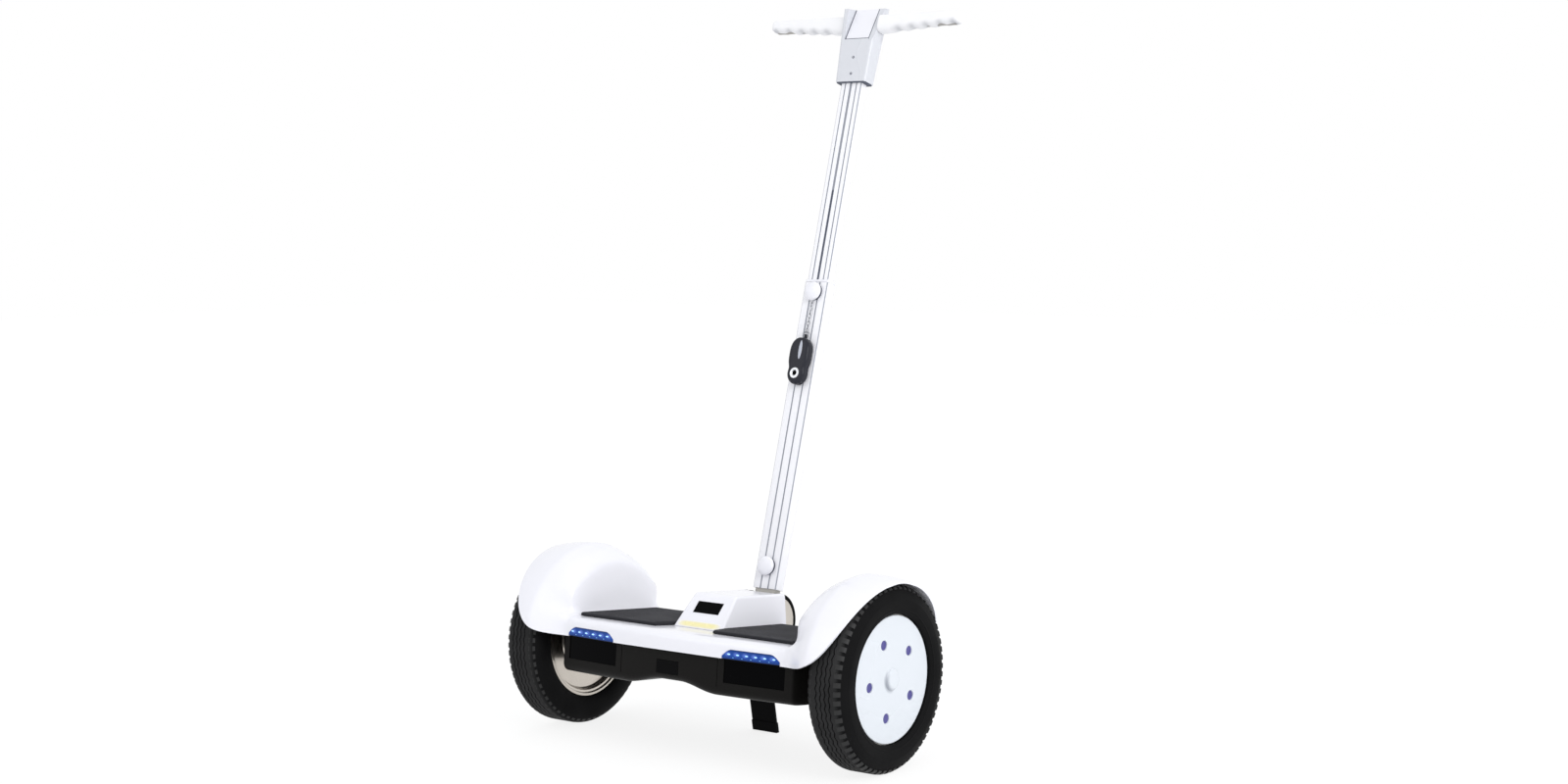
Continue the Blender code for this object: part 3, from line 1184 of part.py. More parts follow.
def grip_ring(x):
    """The grip's section: flat on top, scalloped below, smaller at its tip."""
    side = abs(x)
    root = HEAD_TOP_HALF[0]
    share = (side - root) / (GRIP_TIP_X - root)
    height = GRIP_ROOT_HEIGHT + (GRIP_TIP_HEIGHT - GRIP_ROOT_HEIGHT) * share
    turns = (side - SCALLOP_FIRST_X) / SCALLOP_PITCH
    if -0.5 < turns < 3.5:
        height -= SCALLOP_DEPTH * (1 + math.cos(TAU * turns)) / 2
    thick = GRIP_THICK * (1 - 0.12 * share)
    top = HANDLE_HEIGHT + GRIP_ROOT_HEIGHT / 2
    end = min(max((GRIP_TIP_X - side) / GRIP_NOSE, 0), 1)
    tuck = 1 - 0.25 * (1 - math.sqrt(end * (2 - end)))
    middle = top - height / 2
    ring = []
    for step in range(12):
        turn = TAU * (step + 0.5) / 12
        across = math.copysign(abs(math.cos(turn)) ** 0.6, math.cos(turn))
        up = math.copysign(abs(math.sin(turn)) ** 0.6, math.sin(turn))
        ring.append((x, GRIP_CENTRE_AHEAD + thick / 2 * tuck * across, middle + height / 2 * tuck * up))
    return ring


def make_handle(carrier):
    reach = GRIP_TIP_X - GRIP_END_WALL
    tube_end = reach - GAP
    inner = HANDLE_TUBE_RADIUS - HANDLE_TUBE_WALL
    profile = [(-tube_end, inner), (-tube_end, HANDLE_TUBE_RADIUS), (tube_end, HANDLE_TUBE_RADIUS),
               (tube_end, inner)]
    bar = turned(profile, "X", SMALL_STEPS, (HANDLE_AHEAD, HANDLE_HEIGHT))
    piece("handle_tube", bar, "steel", carrier)
    root = HEAD_TOP_HALF[0] - GAP
    for side, word in SIDES:
        body = GRIP_TIP_X - GRIP_NOSE - root
        stations = [root + body * step / (GRIP_STEPS - 2) for step in range(GRIP_STEPS - 1)]
        stations += [GRIP_TIP_X - GRIP_NOSE / 2, GRIP_TIP_X - GRIP_NOSE / 6, GRIP_TIP_X]
        grip = piece(f"grip_{word}", loft([grip_ring(side * x) for x in stations]), "grip", carrier)
        ends = sorted((side * (root - WALL), side * reach))
        cut(grip, rod((HANDLE_AHEAD, HANDLE_HEIGHT), HANDLE_TUBE_RADIUS + GAP, "X", *ends))


# Parking stand, in an upright frame on its pin

def make_stand(carrier):
    lean = math.radians(STAND_LEAN)
    along = (math.sin(lean), -math.cos(lean))
    across = (math.cos(lean), math.sin(lean))

    def spot(down, forward):
        return (along[0] * down + across[0] * forward, along[1] * down + across[1] * forward)

    half = STAND_THICK / 2
    end = STAND_LENGTH - FOOT_SOLE - half * math.tan(lean)
    outline = [spot(0, half), spot(end, half), spot(end, -half), spot(0, -half)]
    leg = piece("stand_leg", prism(outline, "X", -STAND_HALF_WIDTH, STAND_HALF_WIDTH), "black", carrier)
    join(leg, rod((0, 0), STAND_EYE_RADIUS, "X", -STAND_HALF_WIDTH, STAND_HALF_WIDTH, steps=16))
    width = STAND_HALF_WIDTH + WALL
    cut(leg, rod((0, 0), STAND_PIN_RADIUS + GAP, "X", -width, width, steps=16))

    floor = -STAND_LENGTH * math.cos(lean)
    thick = half + FOOT_WALL
    corners = []
    for forward in (thick, -thick):
        down = (-floor + across[1] * forward) / math.cos(lean)
        corners.append((spot(down, forward)[0], floor))
    top = STAND_LENGTH - FOOT_HEIGHT
    outline = [corners[0], spot(top, thick), spot(top, -thick), corners[1]]
    wide = STAND_HALF_WIDTH
    foot = piece("stand_foot", prism(outline, "X", -wide - FOOT_SIDE, wide + FOOT_SIDE), "rubber", carrier)
    slot = half + GAP
    pocket = [spot(top - WALL, slot), spot(end + GAP, slot), spot(end + GAP, -slot), spot(top - WALL, -slot)]
    cut(foot, prism(pocket, "X", -wide - GAP, wide + GAP))


def make_stand_pin(carrier):
    reach = STAND_HALF_WIDTH + 3 * GAP + STAND_EAR_THICK + STAND_PIN_PROUD
    pin = rod((STAND_Y, STAND_Z), STAND_PIN_RADIUS, "X", -reach, reach, steps=16)
    piece("stand_pin", pin, "steel", carrier)


def clear_scene():
    for old in list(bpy.data.objects):
        bpy.data.objects.remove(old, do_unlink=True)


def main():
    clear_scene()
    body = frame("body_frame", None, (0, AXLE_Y, WHEEL_RADIUS), -PITCH)
    make_top_cover(body)
    make_lower_shell(body)
    make_chassis(body)
    make_internals(body)
    make_charge_port(body)
    hood = make_hood(body)
    make_display(hood, frame("slope_frame", body, (0, HOOD_FOOT_REAR, DECK_TOP + GAP), HOOD_SLOPE))
    for side, word in SIDES:
        make_lights(side, word, body)
        make_pad(side, word, body)
        make_clamp(side, word, body)
        hub = (side * TYRE_CENTRE_X, AXLE_Y, WHEEL_RADIUS)
        make_motor_core(side, word, frame(f"axle_frame_{word}", body, (side * TYRE_CENTRE_X, 0, 0)))
        make_wheel(side, word, frame(f"wheel_frame_{word}", None, hub))
    make_charge_flap(frame("flap_frame", body, (0, -SHELL_HALF_DEPTH, FLAP_TOP)))
    make_power_button(frame("button_frame", body, (BUTTON_X, tub_half_depth(BUTTON_X), BUTTON_Z)))

    make_hinge(frame("hinge_frame", body, (0, HINGE_Y, HINGE_Z)))
    fold = frame("fold_frame", body, (0, HINGE_Y, HINGE_Z), -math.radians(POLE_LEAN))
    make_fold_hub(fold)
    make_pole(fold)
    make_upper_tube(fold)
    make_head(fold)
    make_handle(fold)
    for word, height in KNOB_HEIGHTS.items():
        make_knob(word, frame(f"knob_frame_{word}", fold, (0, -LOWER_DEPTH / 2, height)))
    fob = frame("fob_frame", fold, (0, 0, KNOB_HEIGHTS["upper"]))
    rear, pocket, height = make_fob(fob)
    make_fob_button(frame("fob_button_frame", fob, (0, rear, height)), pocket, rear)

    make_stand_pin(body)
    make_stand(frame("stand_frame", body, (0, STAND_Y, STAND_Z), PITCH))


if __name__ == "__main__":
    main()
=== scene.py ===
"""The looks of a self-balancing scooter, parked on its front stand.

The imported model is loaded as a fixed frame. Each piece is modelled in a frame of
its own (the deck's, the pole's, a wheel's), and its mesh is then moved to its
place in the world, so every finished object sits at the origin. A point's place
in that own frame is kept in the attribute "place", which the patterns read.
"""

import functools
import json
from math import asin, atan2, copysign, cos, degrees, hypot, pi, radians, sin, sqrt, tan

import bmesh
import bpy
from bpy.types import Operator
from mathutils import Matrix, Vector

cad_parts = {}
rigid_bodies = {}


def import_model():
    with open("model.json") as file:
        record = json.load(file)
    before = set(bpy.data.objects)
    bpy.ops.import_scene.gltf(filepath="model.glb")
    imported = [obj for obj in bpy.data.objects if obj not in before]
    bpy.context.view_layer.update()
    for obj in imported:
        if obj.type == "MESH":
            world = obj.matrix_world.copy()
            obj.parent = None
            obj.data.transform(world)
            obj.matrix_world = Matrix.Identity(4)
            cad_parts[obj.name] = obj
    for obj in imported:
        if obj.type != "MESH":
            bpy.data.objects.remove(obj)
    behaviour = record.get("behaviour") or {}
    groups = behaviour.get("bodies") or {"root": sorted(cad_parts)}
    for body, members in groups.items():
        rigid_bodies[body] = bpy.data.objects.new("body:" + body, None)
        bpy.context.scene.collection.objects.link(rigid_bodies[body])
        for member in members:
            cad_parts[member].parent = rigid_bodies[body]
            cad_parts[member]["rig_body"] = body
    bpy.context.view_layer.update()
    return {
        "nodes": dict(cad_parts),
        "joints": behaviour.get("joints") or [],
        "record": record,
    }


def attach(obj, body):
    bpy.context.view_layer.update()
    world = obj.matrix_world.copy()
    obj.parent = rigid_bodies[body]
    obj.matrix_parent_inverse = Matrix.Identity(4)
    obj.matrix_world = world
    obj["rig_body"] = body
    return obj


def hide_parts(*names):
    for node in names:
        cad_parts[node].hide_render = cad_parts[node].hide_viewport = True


bl_info = {
    "name": "Self-balancing scooter",
    "version": (1, 0, 0),
    "blender": (4, 5, 0),
    "location": "3D View > Sidebar > Scooter",
    "description": "Builds the finished surfaces of a self-balancing scooter",
    "category": "Object",
}

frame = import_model()

MM = 0.001
TAU = 2 * pi
QUARTERS = ((1, 1), (-1, 1), (-1, -1), (1, -1))
SIDES = ((-1, "left"), (1, "right"))
GAP = 0.3 * MM
WALL = 3 * MM


def at(x, y, z):
    return Matrix.Translation((x, y, z))


# Frames, read from the record
JOINTS = {joint["name"]: joint for joint in frame["joints"]}
MOUNTS = {mount["name"]: mount for mount in frame["record"]["mounts"]}
HUB = Vector(JOINTS["wheel_right_spin"]["pos_m"])
PITCH = asin(MOUNTS["footpad_right_top"]["axis"][1])
LEAN = asin(JOINTS["pole_extend"]["axis"][1])
DECK = at(0, HUB.y, HUB.z) @ Matrix.Rotation(-PITCH, 4, "X")
POLE = Matrix.Translation(JOINTS["pole_fold"]["pos_m"]) @ Matrix.Rotation(-LEAN, 4, "X")
STAND = Matrix.Translation(JOINTS["stand_fold"]["pos_m"])

# Wheels
WHEEL_RADIUS = HUB.z
TYRE_HALF_WIDTH = 31 * MM
TREAD_HALF_WIDTH = 17.5 * MM
BEAD_HALF_WIDTH = 24 * MM
BEAD_RADIUS = 87.5 * MM
TYRE_WALL = 5.5 * MM
TYRE_SLIM = 2 * MM
TYRE_WIDEST = 0.42
TYRE_LINES = (94 * MM, 107 * MM)
TYRE_LINE_HALF = 0.9 * MM
GROOVE_PLACES = (-10.5 * MM, -3.5 * MM, 3.5 * MM, 10.5 * MM)
LUG_HEIGHT = 0.9 * MM
RIM_INBOARD = 26 * MM
RIM_WEB_FACE = 16 * MM
RIM_WEB_INNER = 11 * MM
RIM_DRUM_RADIUS = 78.2 * MM
MOTOR_FACE = 13.7 * MM
BEARING_HOLE = 18.3 * MM
HUB_FACE = 20.3 * MM
HUBCAP_RADIUS = 86 * MM
HUBCAP_THICK = 2.3 * MM
HUBCAP_BOSS_RADIUS = 15 * MM
HUBCAP_BOSS_RISE = 2.6 * MM
RECESS_COUNT = 5
RECESS_RADIUS = 7 * MM
RECESS_PITCH_RADIUS = 52 * MM
RECESS_DEPTH = 1.2 * MM
RECESS_FIRST_ANGLE = radians(39.2)
VALVE_X = 21.5 * MM
VALVE_FOOT = 66 * MM
VALVE_ANGLE = radians(-52)
VALVE_PROFILE = ((0, 0), (0, 2.6 * MM), (10 * MM, 2.6 * MM), (11 * MM, 2 * MM), (13 * MM, 2 * MM),
                 (13.6 * MM, 1.2 * MM), (13.6 * MM, 0))

# Top cover
DECK_TOP = 39.5 * MM
DECK_HALF_DEPTH = 124 * MM
DECK_BOW = 12.5 * MM
DECK_SQUARENESS = 12
SKIRT_EDGE_Z = 13.5 * MM
FENDER_OVER_TYRE = 10.5 * MM
FENDER_OUTER_DROP = 6 * MM
FENDER_FOOT_X = 188.5 * MM
FENDER_CREST_X = 245 * MM
FENDER_OUTER_X = 298 * MM
FENDER_TIP_ANGLE = 84
FENDER_RISE = ((0, 0), (0.06, 0.12), (0.115, 0.42), (0.2, 0.74), (0.47, 0.885), (0.735, 0.955), (1, 1))
SKIRT_FLARE_X = 200 * MM
SKIRT_FLARE_POWER = 3.4
CORNER_SPREAD = (0.68, 0.88, 0.96, 1.03, 1.13, 1.4, 2.1, 3.4)
COVER_FINENESS = 4
COVER_TUCK = 0.03 * MM

# Lower shell
SHELL_HALF_DEPTH = 117 * MM
SHELL_TOP = 13.2 * MM
SHELL_CORNER = 12 * MM
TUB_END_X = 200 * MM
NECK_END_X = 232 * MM
NECK_HALF_DEPTH = 48 * MM
BELLY_CENTRE = 28 * MM
BELLY_SIDE = 39 * MM
BELLY_NECK = 34.4 * MM
ARCH_INNER_X = 15 * MM
ARCH_OUTER_X = 80 * MM
CAVITY_END_X = 193 * MM
END_WALL_X = 190.5 * MM
PANEL_X = (95 * MM, 190 * MM)
PANEL_Z = (-20 * MM, 11.5 * MM)
PANEL_DEPTH = 1.8 * MM
SEAM_X = 84 * MM
SEAM_WIDTH = 1 * MM
SEAM_DEPTH = 0.9 * MM
STAND_HALF_WIDTH = 21 * MM
STAND_THICK = 5 * MM
FOOT_HEIGHT = 15 * MM
FOOT_COVER = 0.7 * MM
STAND_EAR_X = (21.6 * MM, 26.2 * MM)
STAND_EAR_REACH = 8.1 * MM
STAND_Y = SHELL_HALF_DEPTH - 24 * MM
CHASSIS_FOOT = -18 * MM
SHAFT_HOLE = 10 * MM
FLAP_HALF_WIDTH = 19 * MM
FLAP_TOP = -0.8 * MM
FLAP_FOOT = -19.2 * MM
BUTTON_X = 120 * MM
BUTTON_Z = -8 * MM
BUTTON_RADIUS = 8 * MM
SCREW_FIRST_X = 95 * MM
SCREW_STEP = 45 * MM
SCREW_Y = 80 * MM
SCREW_PROFILE = ((0.6 * MM, 0), (0.6 * MM, 3.2 * MM), (-0.5 * MM, 3.2 * MM), (-0.8 * MM, 2.6 * MM),
                 (-0.8 * MM, 1.5 * MM), (0, 1.2 * MM), (0, 0))

# Foot pads
PAD_THICK = 5.2 * MM
PAD_OUTER_X = 188 * MM
PAD_INNER_X = 44.5 * MM
PAD_REAR = -86 * MM
PAD_FRONT = 82 * MM
PAD_CHAMFER_X = 51 * MM
PAD_CHAMFER_Y = -45 * MM
RIB_MARGIN = 1.5 * MM
RIB_SUNK = 0.2 * MM

# Lights
LENS_INNER_X = 96 * MM
LENS_OUTER_X = 186 * MM
LENS_TOP = 26 * MM
LENS_SHOULDER = 15 * MM
LENS_END_HEIGHT = 3.5 * MM
LENS_THICK = 5 * MM
LENS_PROUD = 0.6 * MM
LENS_CUT_REACH = 8
# The bright dots on the lights are emissive painted glints.
# Each row: share of the lens's height, half width, half height, shift in pitches
DOT_ROWS = ((0.52, 2.8 * MM, 1 * MM, 0), (0.2, 1.2 * MM, 0.4 * MM, 0.5))
DOT_RISE = 0.35 * MM

# Hood and hinge
HINGE_Y = SHELL_HALF_DEPTH - 23.5 * MM
HINGE_Z = 43.5 * MM
HOOD_FOOT_HALF = 43 * MM
HOOD_TOP_HALF = 37 * MM
HOOD_FOOT_REAR = -56 * MM
HOOD_TOP_REAR = -18 * MM
HOOD_FRONT = HINGE_Y - 0.5 * MM
HOOD_TOP = 86 * MM
HOOD_WALL = 2.5 * MM
HOOD_ROUND = 4 * MM
HOOD_NOTCH_REAR = HINGE_Y - 11.5 * MM
HOOD_SLOPE = atan2(HOOD_TOP - DECK_TOP - GAP, HOOD_TOP_REAR - HOOD_FOOT_REAR)
WINDOW_HALF_WIDTH = 23 * MM
WINDOW_LOW = 25 * MM
WINDOW_HIGH = 45.8 * MM
WINDOW_BORDER = 1.1 * MM
STRIP_HALF_WIDTH = 39 * MM
STRIP_LOW = 1.2 * MM
STRIP_HIGH = 11 * MM
EAR_INNER_X = 24.5 * MM
EAR_THICK = 3.5 * MM
EAR_RADIUS = 36 * MM
GUARD_WIDTH = 5.4 * MM
BOLT_RADIUS = 5 * MM
BOLT_HEAD_RADIUS = 8 * MM
BOLT_HEAD_THICK = 4.5 * MM
DECK_NOTCH_HALF = 34 * MM
DECK_NOTCH_REAR = HINGE_Y - 45.5 * MM
HINGE = DECK @ at(0, HINGE_Y, HINGE_Z)
HOOD_FOOT = at(0, HOOD_FOOT_REAR, DECK_TOP + GAP)
SLOPE = DECK @ HOOD_FOOT @ Matrix.Rotation(HOOD_SLOPE, 4, "X")

# Pole
LOWER_WIDTH = 41 * MM
LOWER_DEPTH = 20 * MM
LOWER_HALF = (LOWER_WIDTH / 2, LOWER_DEPTH / 2)
LOWER_WALL = 1.8 * MM
LOWER_FOOT = 46 * MM
LOWER_TOP = 500 * MM
UPPER_WIDTH = 36.8 * MM
UPPER_DEPTH = 15.8 * MM
UPPER_HALF = (UPPER_WIDTH / 2, UPPER_DEPTH / 2)
UPPER_WALL = 1.5 * MM
UPPER_FOOT = 390 * MM
TUBE_CORNER = 2.5 * MM
# Width of the painted shade line along each corner of the tubes
TUBE_EDGE_LINE = 1.7 * MM
GROOVE_WIDTH = 2.4 * MM
GROOVE_DEPTH = 0.7 * MM
UPPER_GROOVE_X = 10 * MM
UPPER_GROOVE_WIDTH = 2 * MM
SLOT_WIDTH = 4 * MM
SLOT_DEPTH = 0.8 * MM
SLOT_TOP = 641 * MM
COLLAR_LENGTH = 3.7 * MM
KNOB_HEIGHTS = {"lower": 78 * MM, "upper": 485 * MM}
KNOB_RADIUS = 14 * MM
KNOB_THICK = 7.5 * MM
KNOB_STANDOFF = 3.6 * MM
KNOB_SHANK_RADIUS = 3 * MM
KNOB_SHANK_REACH = 2 * MM
TUBE_FACE = -LOWER_DEPTH / 2

# Key fob, with heights below the high knob's shank
FOB_TOP = -71 * MM
FOB_LENGTH = 70 * MM
FOB_WIDTH = 34 * MM
FOB_THICK = 15 * MM
FOB_REST = 0.5 * MM
FOB_BUTTON_HEIGHT = 16 * MM
FOB_BUTTON_RADIUS = 8 * MM
FOB_BUTTON_PROUD = 1.2 * MM
FOB_POCKET = 4 * MM
FOB_EYE_RISE = 4 * MM
CHAIN_RING_RADIUS = 6 * MM
CHAIN_WIRE = 1.0 * MM
CHAIN_LOOP_RADIUS = 3.4 * MM
CHAIN_LOOP_WIRE = 0.8 * MM
CHAIN_STANDOFF = 2.6 * MM
LINK_LENGTH = 7 * MM
LINK_WIDTH = 4.6 * MM
LINK_WIRE = 0.6 * MM
LINK_TURN = radians(80)
FOB_TAB_HALF = 2.2 * MM
FOB_TAB_HALF_THICK = 1.3 * MM
FOB_REAR = TUBE_FACE - FOB_REST - FOB_THICK
FOB_LOOP_Y = TUBE_FACE - FOB_REST - CHAIN_STANDOFF
FOB_EYE = FOB_TOP + FOB_EYE_RISE
FOB_BUTTON_Z = FOB_TOP - FOB_LENGTH + FOB_BUTTON_HEIGHT
# Each section: share of the fob's thickness from its front, share of its outline
FOB_SECTIONS = ((0, 0.86), (0.04, 0.93), (0.12, 0.985), (0.25, 1), (0.6, 1), (0.76, 0.985),
                (0.87, 0.94), (0.94, 0.86), (0.98, 0.76), (1, 0.6))
FOB = POLE @ at(0, 0, KNOB_HEIGHTS["upper"])

# Head and handle, with heights along the pole
HANDLE_HEIGHT = 899 * MM
UPPER_TOP = HANDLE_HEIGHT - 23 * MM
HEAD_FOOT = HANDLE_HEIGHT - 92 * MM
HEAD_TOP_REAR = HANDLE_HEIGHT + 21 * MM
HEAD_TOP_FRONT = HANDLE_HEIGHT + 29 * MM
HEAD_FOOT_HALF = (27 * MM, 12.5 * MM)
HEAD_TOP_HALF = (31 * MM, 16 * MM)
HEAD_ROUND = 4 * MM
HEAD_SPLIT = 6 * MM
HEAD_WALL = 3 * MM
HEAD_POCKET_HALF = 23.5 * MM
HEAD_SHELF = 4 * MM
BADGE_HALF_WIDTH = 21.5 * MM
BADGE_CHEEK = BADGE_HALF_WIDTH + GAP
BADGE_FOOT = (-13 * MM, HANDLE_HEIGHT - 27 * MM)
BADGE_HEAD = (3 * MM, HANDLE_HEIGHT + 25.7 * MM)
BADGE_THICK = 2 * MM
BADGE_LEDGE = 2.5 * MM
# Width of the dark painted-shade lines beside and under the badge
BADGE_SEAM = 1.2 * MM
HEAD_SCREW_HEIGHTS = (844 * MM, 819 * MM)
HANDLE_AHEAD = 4 * MM
HANDLE_TUBE_RADIUS = 6 * MM
GRIP_TIP_X = 168 * MM
GRIP_ROOT_HEIGHT = 27 * MM
GRIP_TIP_HEIGHT = 18 * MM
GRIP_THICK = 24 * MM
GRIP_CENTRE_AHEAD = 2 * MM
GRIP_STEPS = 96
SCALLOP_FIRST_X = 64 * MM
SCALLOP_PITCH = 24 * MM
SCALLOP_DEPTH = 2.1 * MM
SCALLOP_COUNT = 4
GRIP_SQUARENESS = 0.6
GRIP_END_WALL = 7 * MM
GRIP_NOSE = 6 * MM

# Camera, as the photograph was taken
PHOTO_WIDTH = 1600
PHOTO_FOCAL = 2378
SENSOR_WIDTH = 36
CAMERA_PLACE = (2.006, -2.639, 0.746)
CAMERA_DOWN = 4.41
CAMERA_AZIMUTH = 36.79

# Light. Each lamp: name, place, aim, size, power
LAMPS = (("key", (-1.7, -3.4, 2.8), (0, 0, 0.4), 2.6, 13),
         ("side", (3.2, -0.9, 1.9), (0, 0, 0.4), 1.8, 50),
         ("top", (0.2, 0.5, 3.4), (0, 0, 0.3), 2.4, 3))
FLOOR_GLOW = 1.06
FLOOR_GLOW_SHARE = 0.8
SKY_STRENGTH = 0.92


def tone(red, green, blue):
    """A colour given as 0 to 255 in sRGB, in Blender's linear values."""
    shares = [value / 255 for value in (red, green, blue)]
    return tuple(v / 12.92 if v <= 0.04045 else ((v + 0.055) / 1.055) ** 2.4 for v in shares)


# Properties that a user would change

def colour_property(name, description, *rgb):
    return bpy.props.FloatVectorProperty(
        name=name, description=description, subtype="COLOR", size=3, min=0, max=1, default=tone(*rgb))


def length_property(name, description, default):
    return bpy.props.FloatProperty(
        name=name, description=description, unit="LENGTH", min=0, default=default, precision=5)


class ScooterColours(bpy.types.PropertyGroup):
    """The colours of the finishes."""

    white: colour_property("White", "Glossy white mouldings", 236, 236, 242)
    white_metal: colour_property("White metal", "Painted tubes of the pole", 242, 242, 246)
    # The tube shade colour paints shade in the tubes' grooves and along their corners.
    tube_shade: colour_property("Tube line", "Grooves and corners of the tubes", 146, 150, 160)
    grip: colour_property("Grip", "Handle grips", 243, 243, 245)
    black: colour_property("Black", "Lower shell and ports", 20, 19, 18)
    gloss_black: colour_property("Gloss black", "Window and recessed panels", 3, 3, 4)
    tyre: colour_property("Tyre", "Tyre rubber", 14, 14, 15)
    pad: colour_property("Pad", "Foot pads", 66, 66, 71)
    rubber: colour_property("Rubber", "Guards, flap and stand", 8, 8, 9)
    rim: colour_property("Rim", "Polished warm silver of the rims", 206, 199, 190)
    disc: colour_property("Disc", "Champagne discs of the hinge", 208, 202, 194)
    steel: colour_property("Steel", "Brackets, bolts and shafts", 168, 166, 162)
    lens: colour_property("Lens", "Blue lights", 2, 62, 146)
    # The glint colour paints bright highlights as dots on the lights.
    glow: colour_property("Glow", "Bright dots in the lights", 122, 190, 246)
    recess: colour_property("Recess", "Recesses in the hubcaps", 62, 56, 142)
    strip: colour_property("Strip", "Plain strip on the hood", 240, 231, 168)
    board: colour_property("Board", "Circuit boards", 24, 96, 58)
    battery: colour_property("Battery", "Sleeve of the battery pack", 34, 78, 150)
    copper: colour_property("Copper", "Motor windings", 190, 112, 60)


class ScooterSizes(bpy.types.PropertyGroup):
    """The sizes of the fine details."""

    rib_pitch: length_property("Rib pitch", "Distance between the ribs of a pad", 3.6 * MM)
    rib_width: length_property("Rib width", "Width of a rib at its foot", 2.4 * MM)
    rib_height: length_property("Rib height", "How far a rib stands up", 1.3 * MM)
    groove_depth: length_property("Groove depth", "Depth of the tread grooves", 2.6 * MM)
    groove_width: length_property("Groove width", "Width of the tread grooves", 1.8 * MM)
    groove_sway: length_property("Groove sway", "Sideways reach of the zigzag", 1.1 * MM)
    groove_turns: bpy.props.IntProperty(
        name="Groove turns", description="Zigzags round the tyre", min=8, default=60)
    lug_count: bpy.props.IntProperty(
        name="Lugs", description="Shoulder blocks round a tyre", min=8, default=66)
    link_count: bpy.props.IntProperty(
        name="Links", description="Links in the fob's chain", min=2, default=10)
    dot_pitch: length_property("Dot pitch", "Distance between the bright dots of a light", 14 * MM)


# Maths on node sockets

class Term:
    """A node's output. Arithmetic on it adds Math nodes to its tree."""

    def __init__(self, graph, socket):
        self.graph = graph
        self.socket = socket

    def maths(self, operation, *others):
        return self.graph.maths(operation, self, *others)

    def __add__(self, other):
        return self.maths("ADD", other)

    def __sub__(self, other):
        return self.maths("SUBTRACT", other)

    def __rsub__(self, other):
        return self.graph.maths("SUBTRACT", other, self)

    def __mul__(self, other):
        return self.maths("MULTIPLY", other)

    def __truediv__(self, other):
        return self.maths("DIVIDE", other)

    def __abs__(self):
        return self.maths("ABSOLUTE")

    def clamp(self):
        return self.graph.add("ShaderNodeClamp", {}, {"Value": self})

    def sine(self):
        return self.maths("SINE")

    def fraction(self):
        return self.maths("FRACT")


class Graph:
    """A node tree, and the one way in which nodes are added to it."""

    def __init__(self, tree):
        self.tree = tree

    def add(self, kind, settings=None, values=None, output=0):
        """A new node, with its settings first and then the values or links of its sockets."""
        node = self.tree.nodes.new(kind)
        for name, value in (settings or {}).items():
            if name == "stops":
                self.set_stops(node.color_ramp, value)
            else:
                setattr(node, name, value)
        for name, value in (values or {}).items():
            if isinstance(value, Term):
                self.tree.links.new(value.socket, node.inputs[name])
            else:
                node.inputs[name].default_value = value
        return Term(self, node.outputs[output])

    @staticmethod
    def set_stops(ramp, stops):
        while len(ramp.elements) < len(stops):
            ramp.elements.new(1)
        for element, (position, colour) in zip(ramp.elements, stops):
            element.position = position
            element.color = (*colour, 1)

    def maths(self, operation, *terms):
        return self.add("ShaderNodeMath", {"operation": operation}, dict(enumerate(terms)))


class Finish(Graph):
    """A material: a Principled shader and what feeds it."""

    def __init__(self, name):
        self.material = bpy.data.materials.new(f"{name}_finish")
        self.material.use_nodes = True
        super().__init__(self.material.node_tree)
        self.shader = self.tree.nodes["Principled BSDF"]

    def set(self, **values):
        """Sets the shader's sockets, named in lower case with underscores."""
        for name, value in values.items():
            socket = self.shader.inputs[name.replace("_", " ").title().replace("Ior", "IOR")]
            if isinstance(value, Term):
                self.tree.links.new(value.socket, socket)
            elif hasattr(value, "__len__"):
                socket.default_value = (*value, 1)
            else:
                socket.default_value = value
        return self.material

    def place(self):
        """A point's place in its piece's own frame."""
        return self.add("ShaderNodeAttribute", {"attribute_name": "place"}, output="Vector")

    def world(self):
        return self.add("ShaderNodeTexCoord", output="Object")

    def parts(self, point=None):
        """The three coordinates of a point, or of the place in the piece's own frame."""
        point = point or self.place()
        return [self.add("ShaderNodeSeparateXYZ", {}, {0: point}, axis) for axis in range(3)]

    def radius(self):
        """The distance from the X axis of the piece's own frame."""
        _, ahead, up = self.parts()
        return (ahead * ahead + up * up).maths("SQRT")

    def noise(self, scale, point=None, stretch=(1, 1, 1), detail=2.0):
        point = point or self.world()
        if stretch != (1, 1, 1):
            point = self.add("ShaderNodeMapping", {"vector_type": "POINT"},
                             {"Vector": point, "Scale": stretch})
        return self.add("ShaderNodeTexNoise", {}, {"Vector": point, "Scale": scale, "Detail": detail})

    def between(self, low, high, share):
        """A number that goes from low to high with a share."""
        return share * (high - low) + low

    def shade(self, share, first, second):
        """A colour that goes from the first to the second with a share."""
        ends = [end if isinstance(end, Term) else (*end, 1) for end in (first, second)]
        return self.add("ShaderNodeMix", {"data_type": "RGBA"}, {0: share, 6: ends[0], 7: ends[1]}, 2)

    def tint(self, share, name, dark, light=0.0):
        """A colour of the panel, from a darker to a lighter shade of it."""
        colour = getattr(colours(), name)
        return self.shade(share, darker(colour, dark), lighter(colour, light))

    def bump(self, height, distance):
        values = {"Height": height, "Distance": distance, "Strength": 1.0}
        return self.add("ShaderNodeBump", {}, values, "Normal")


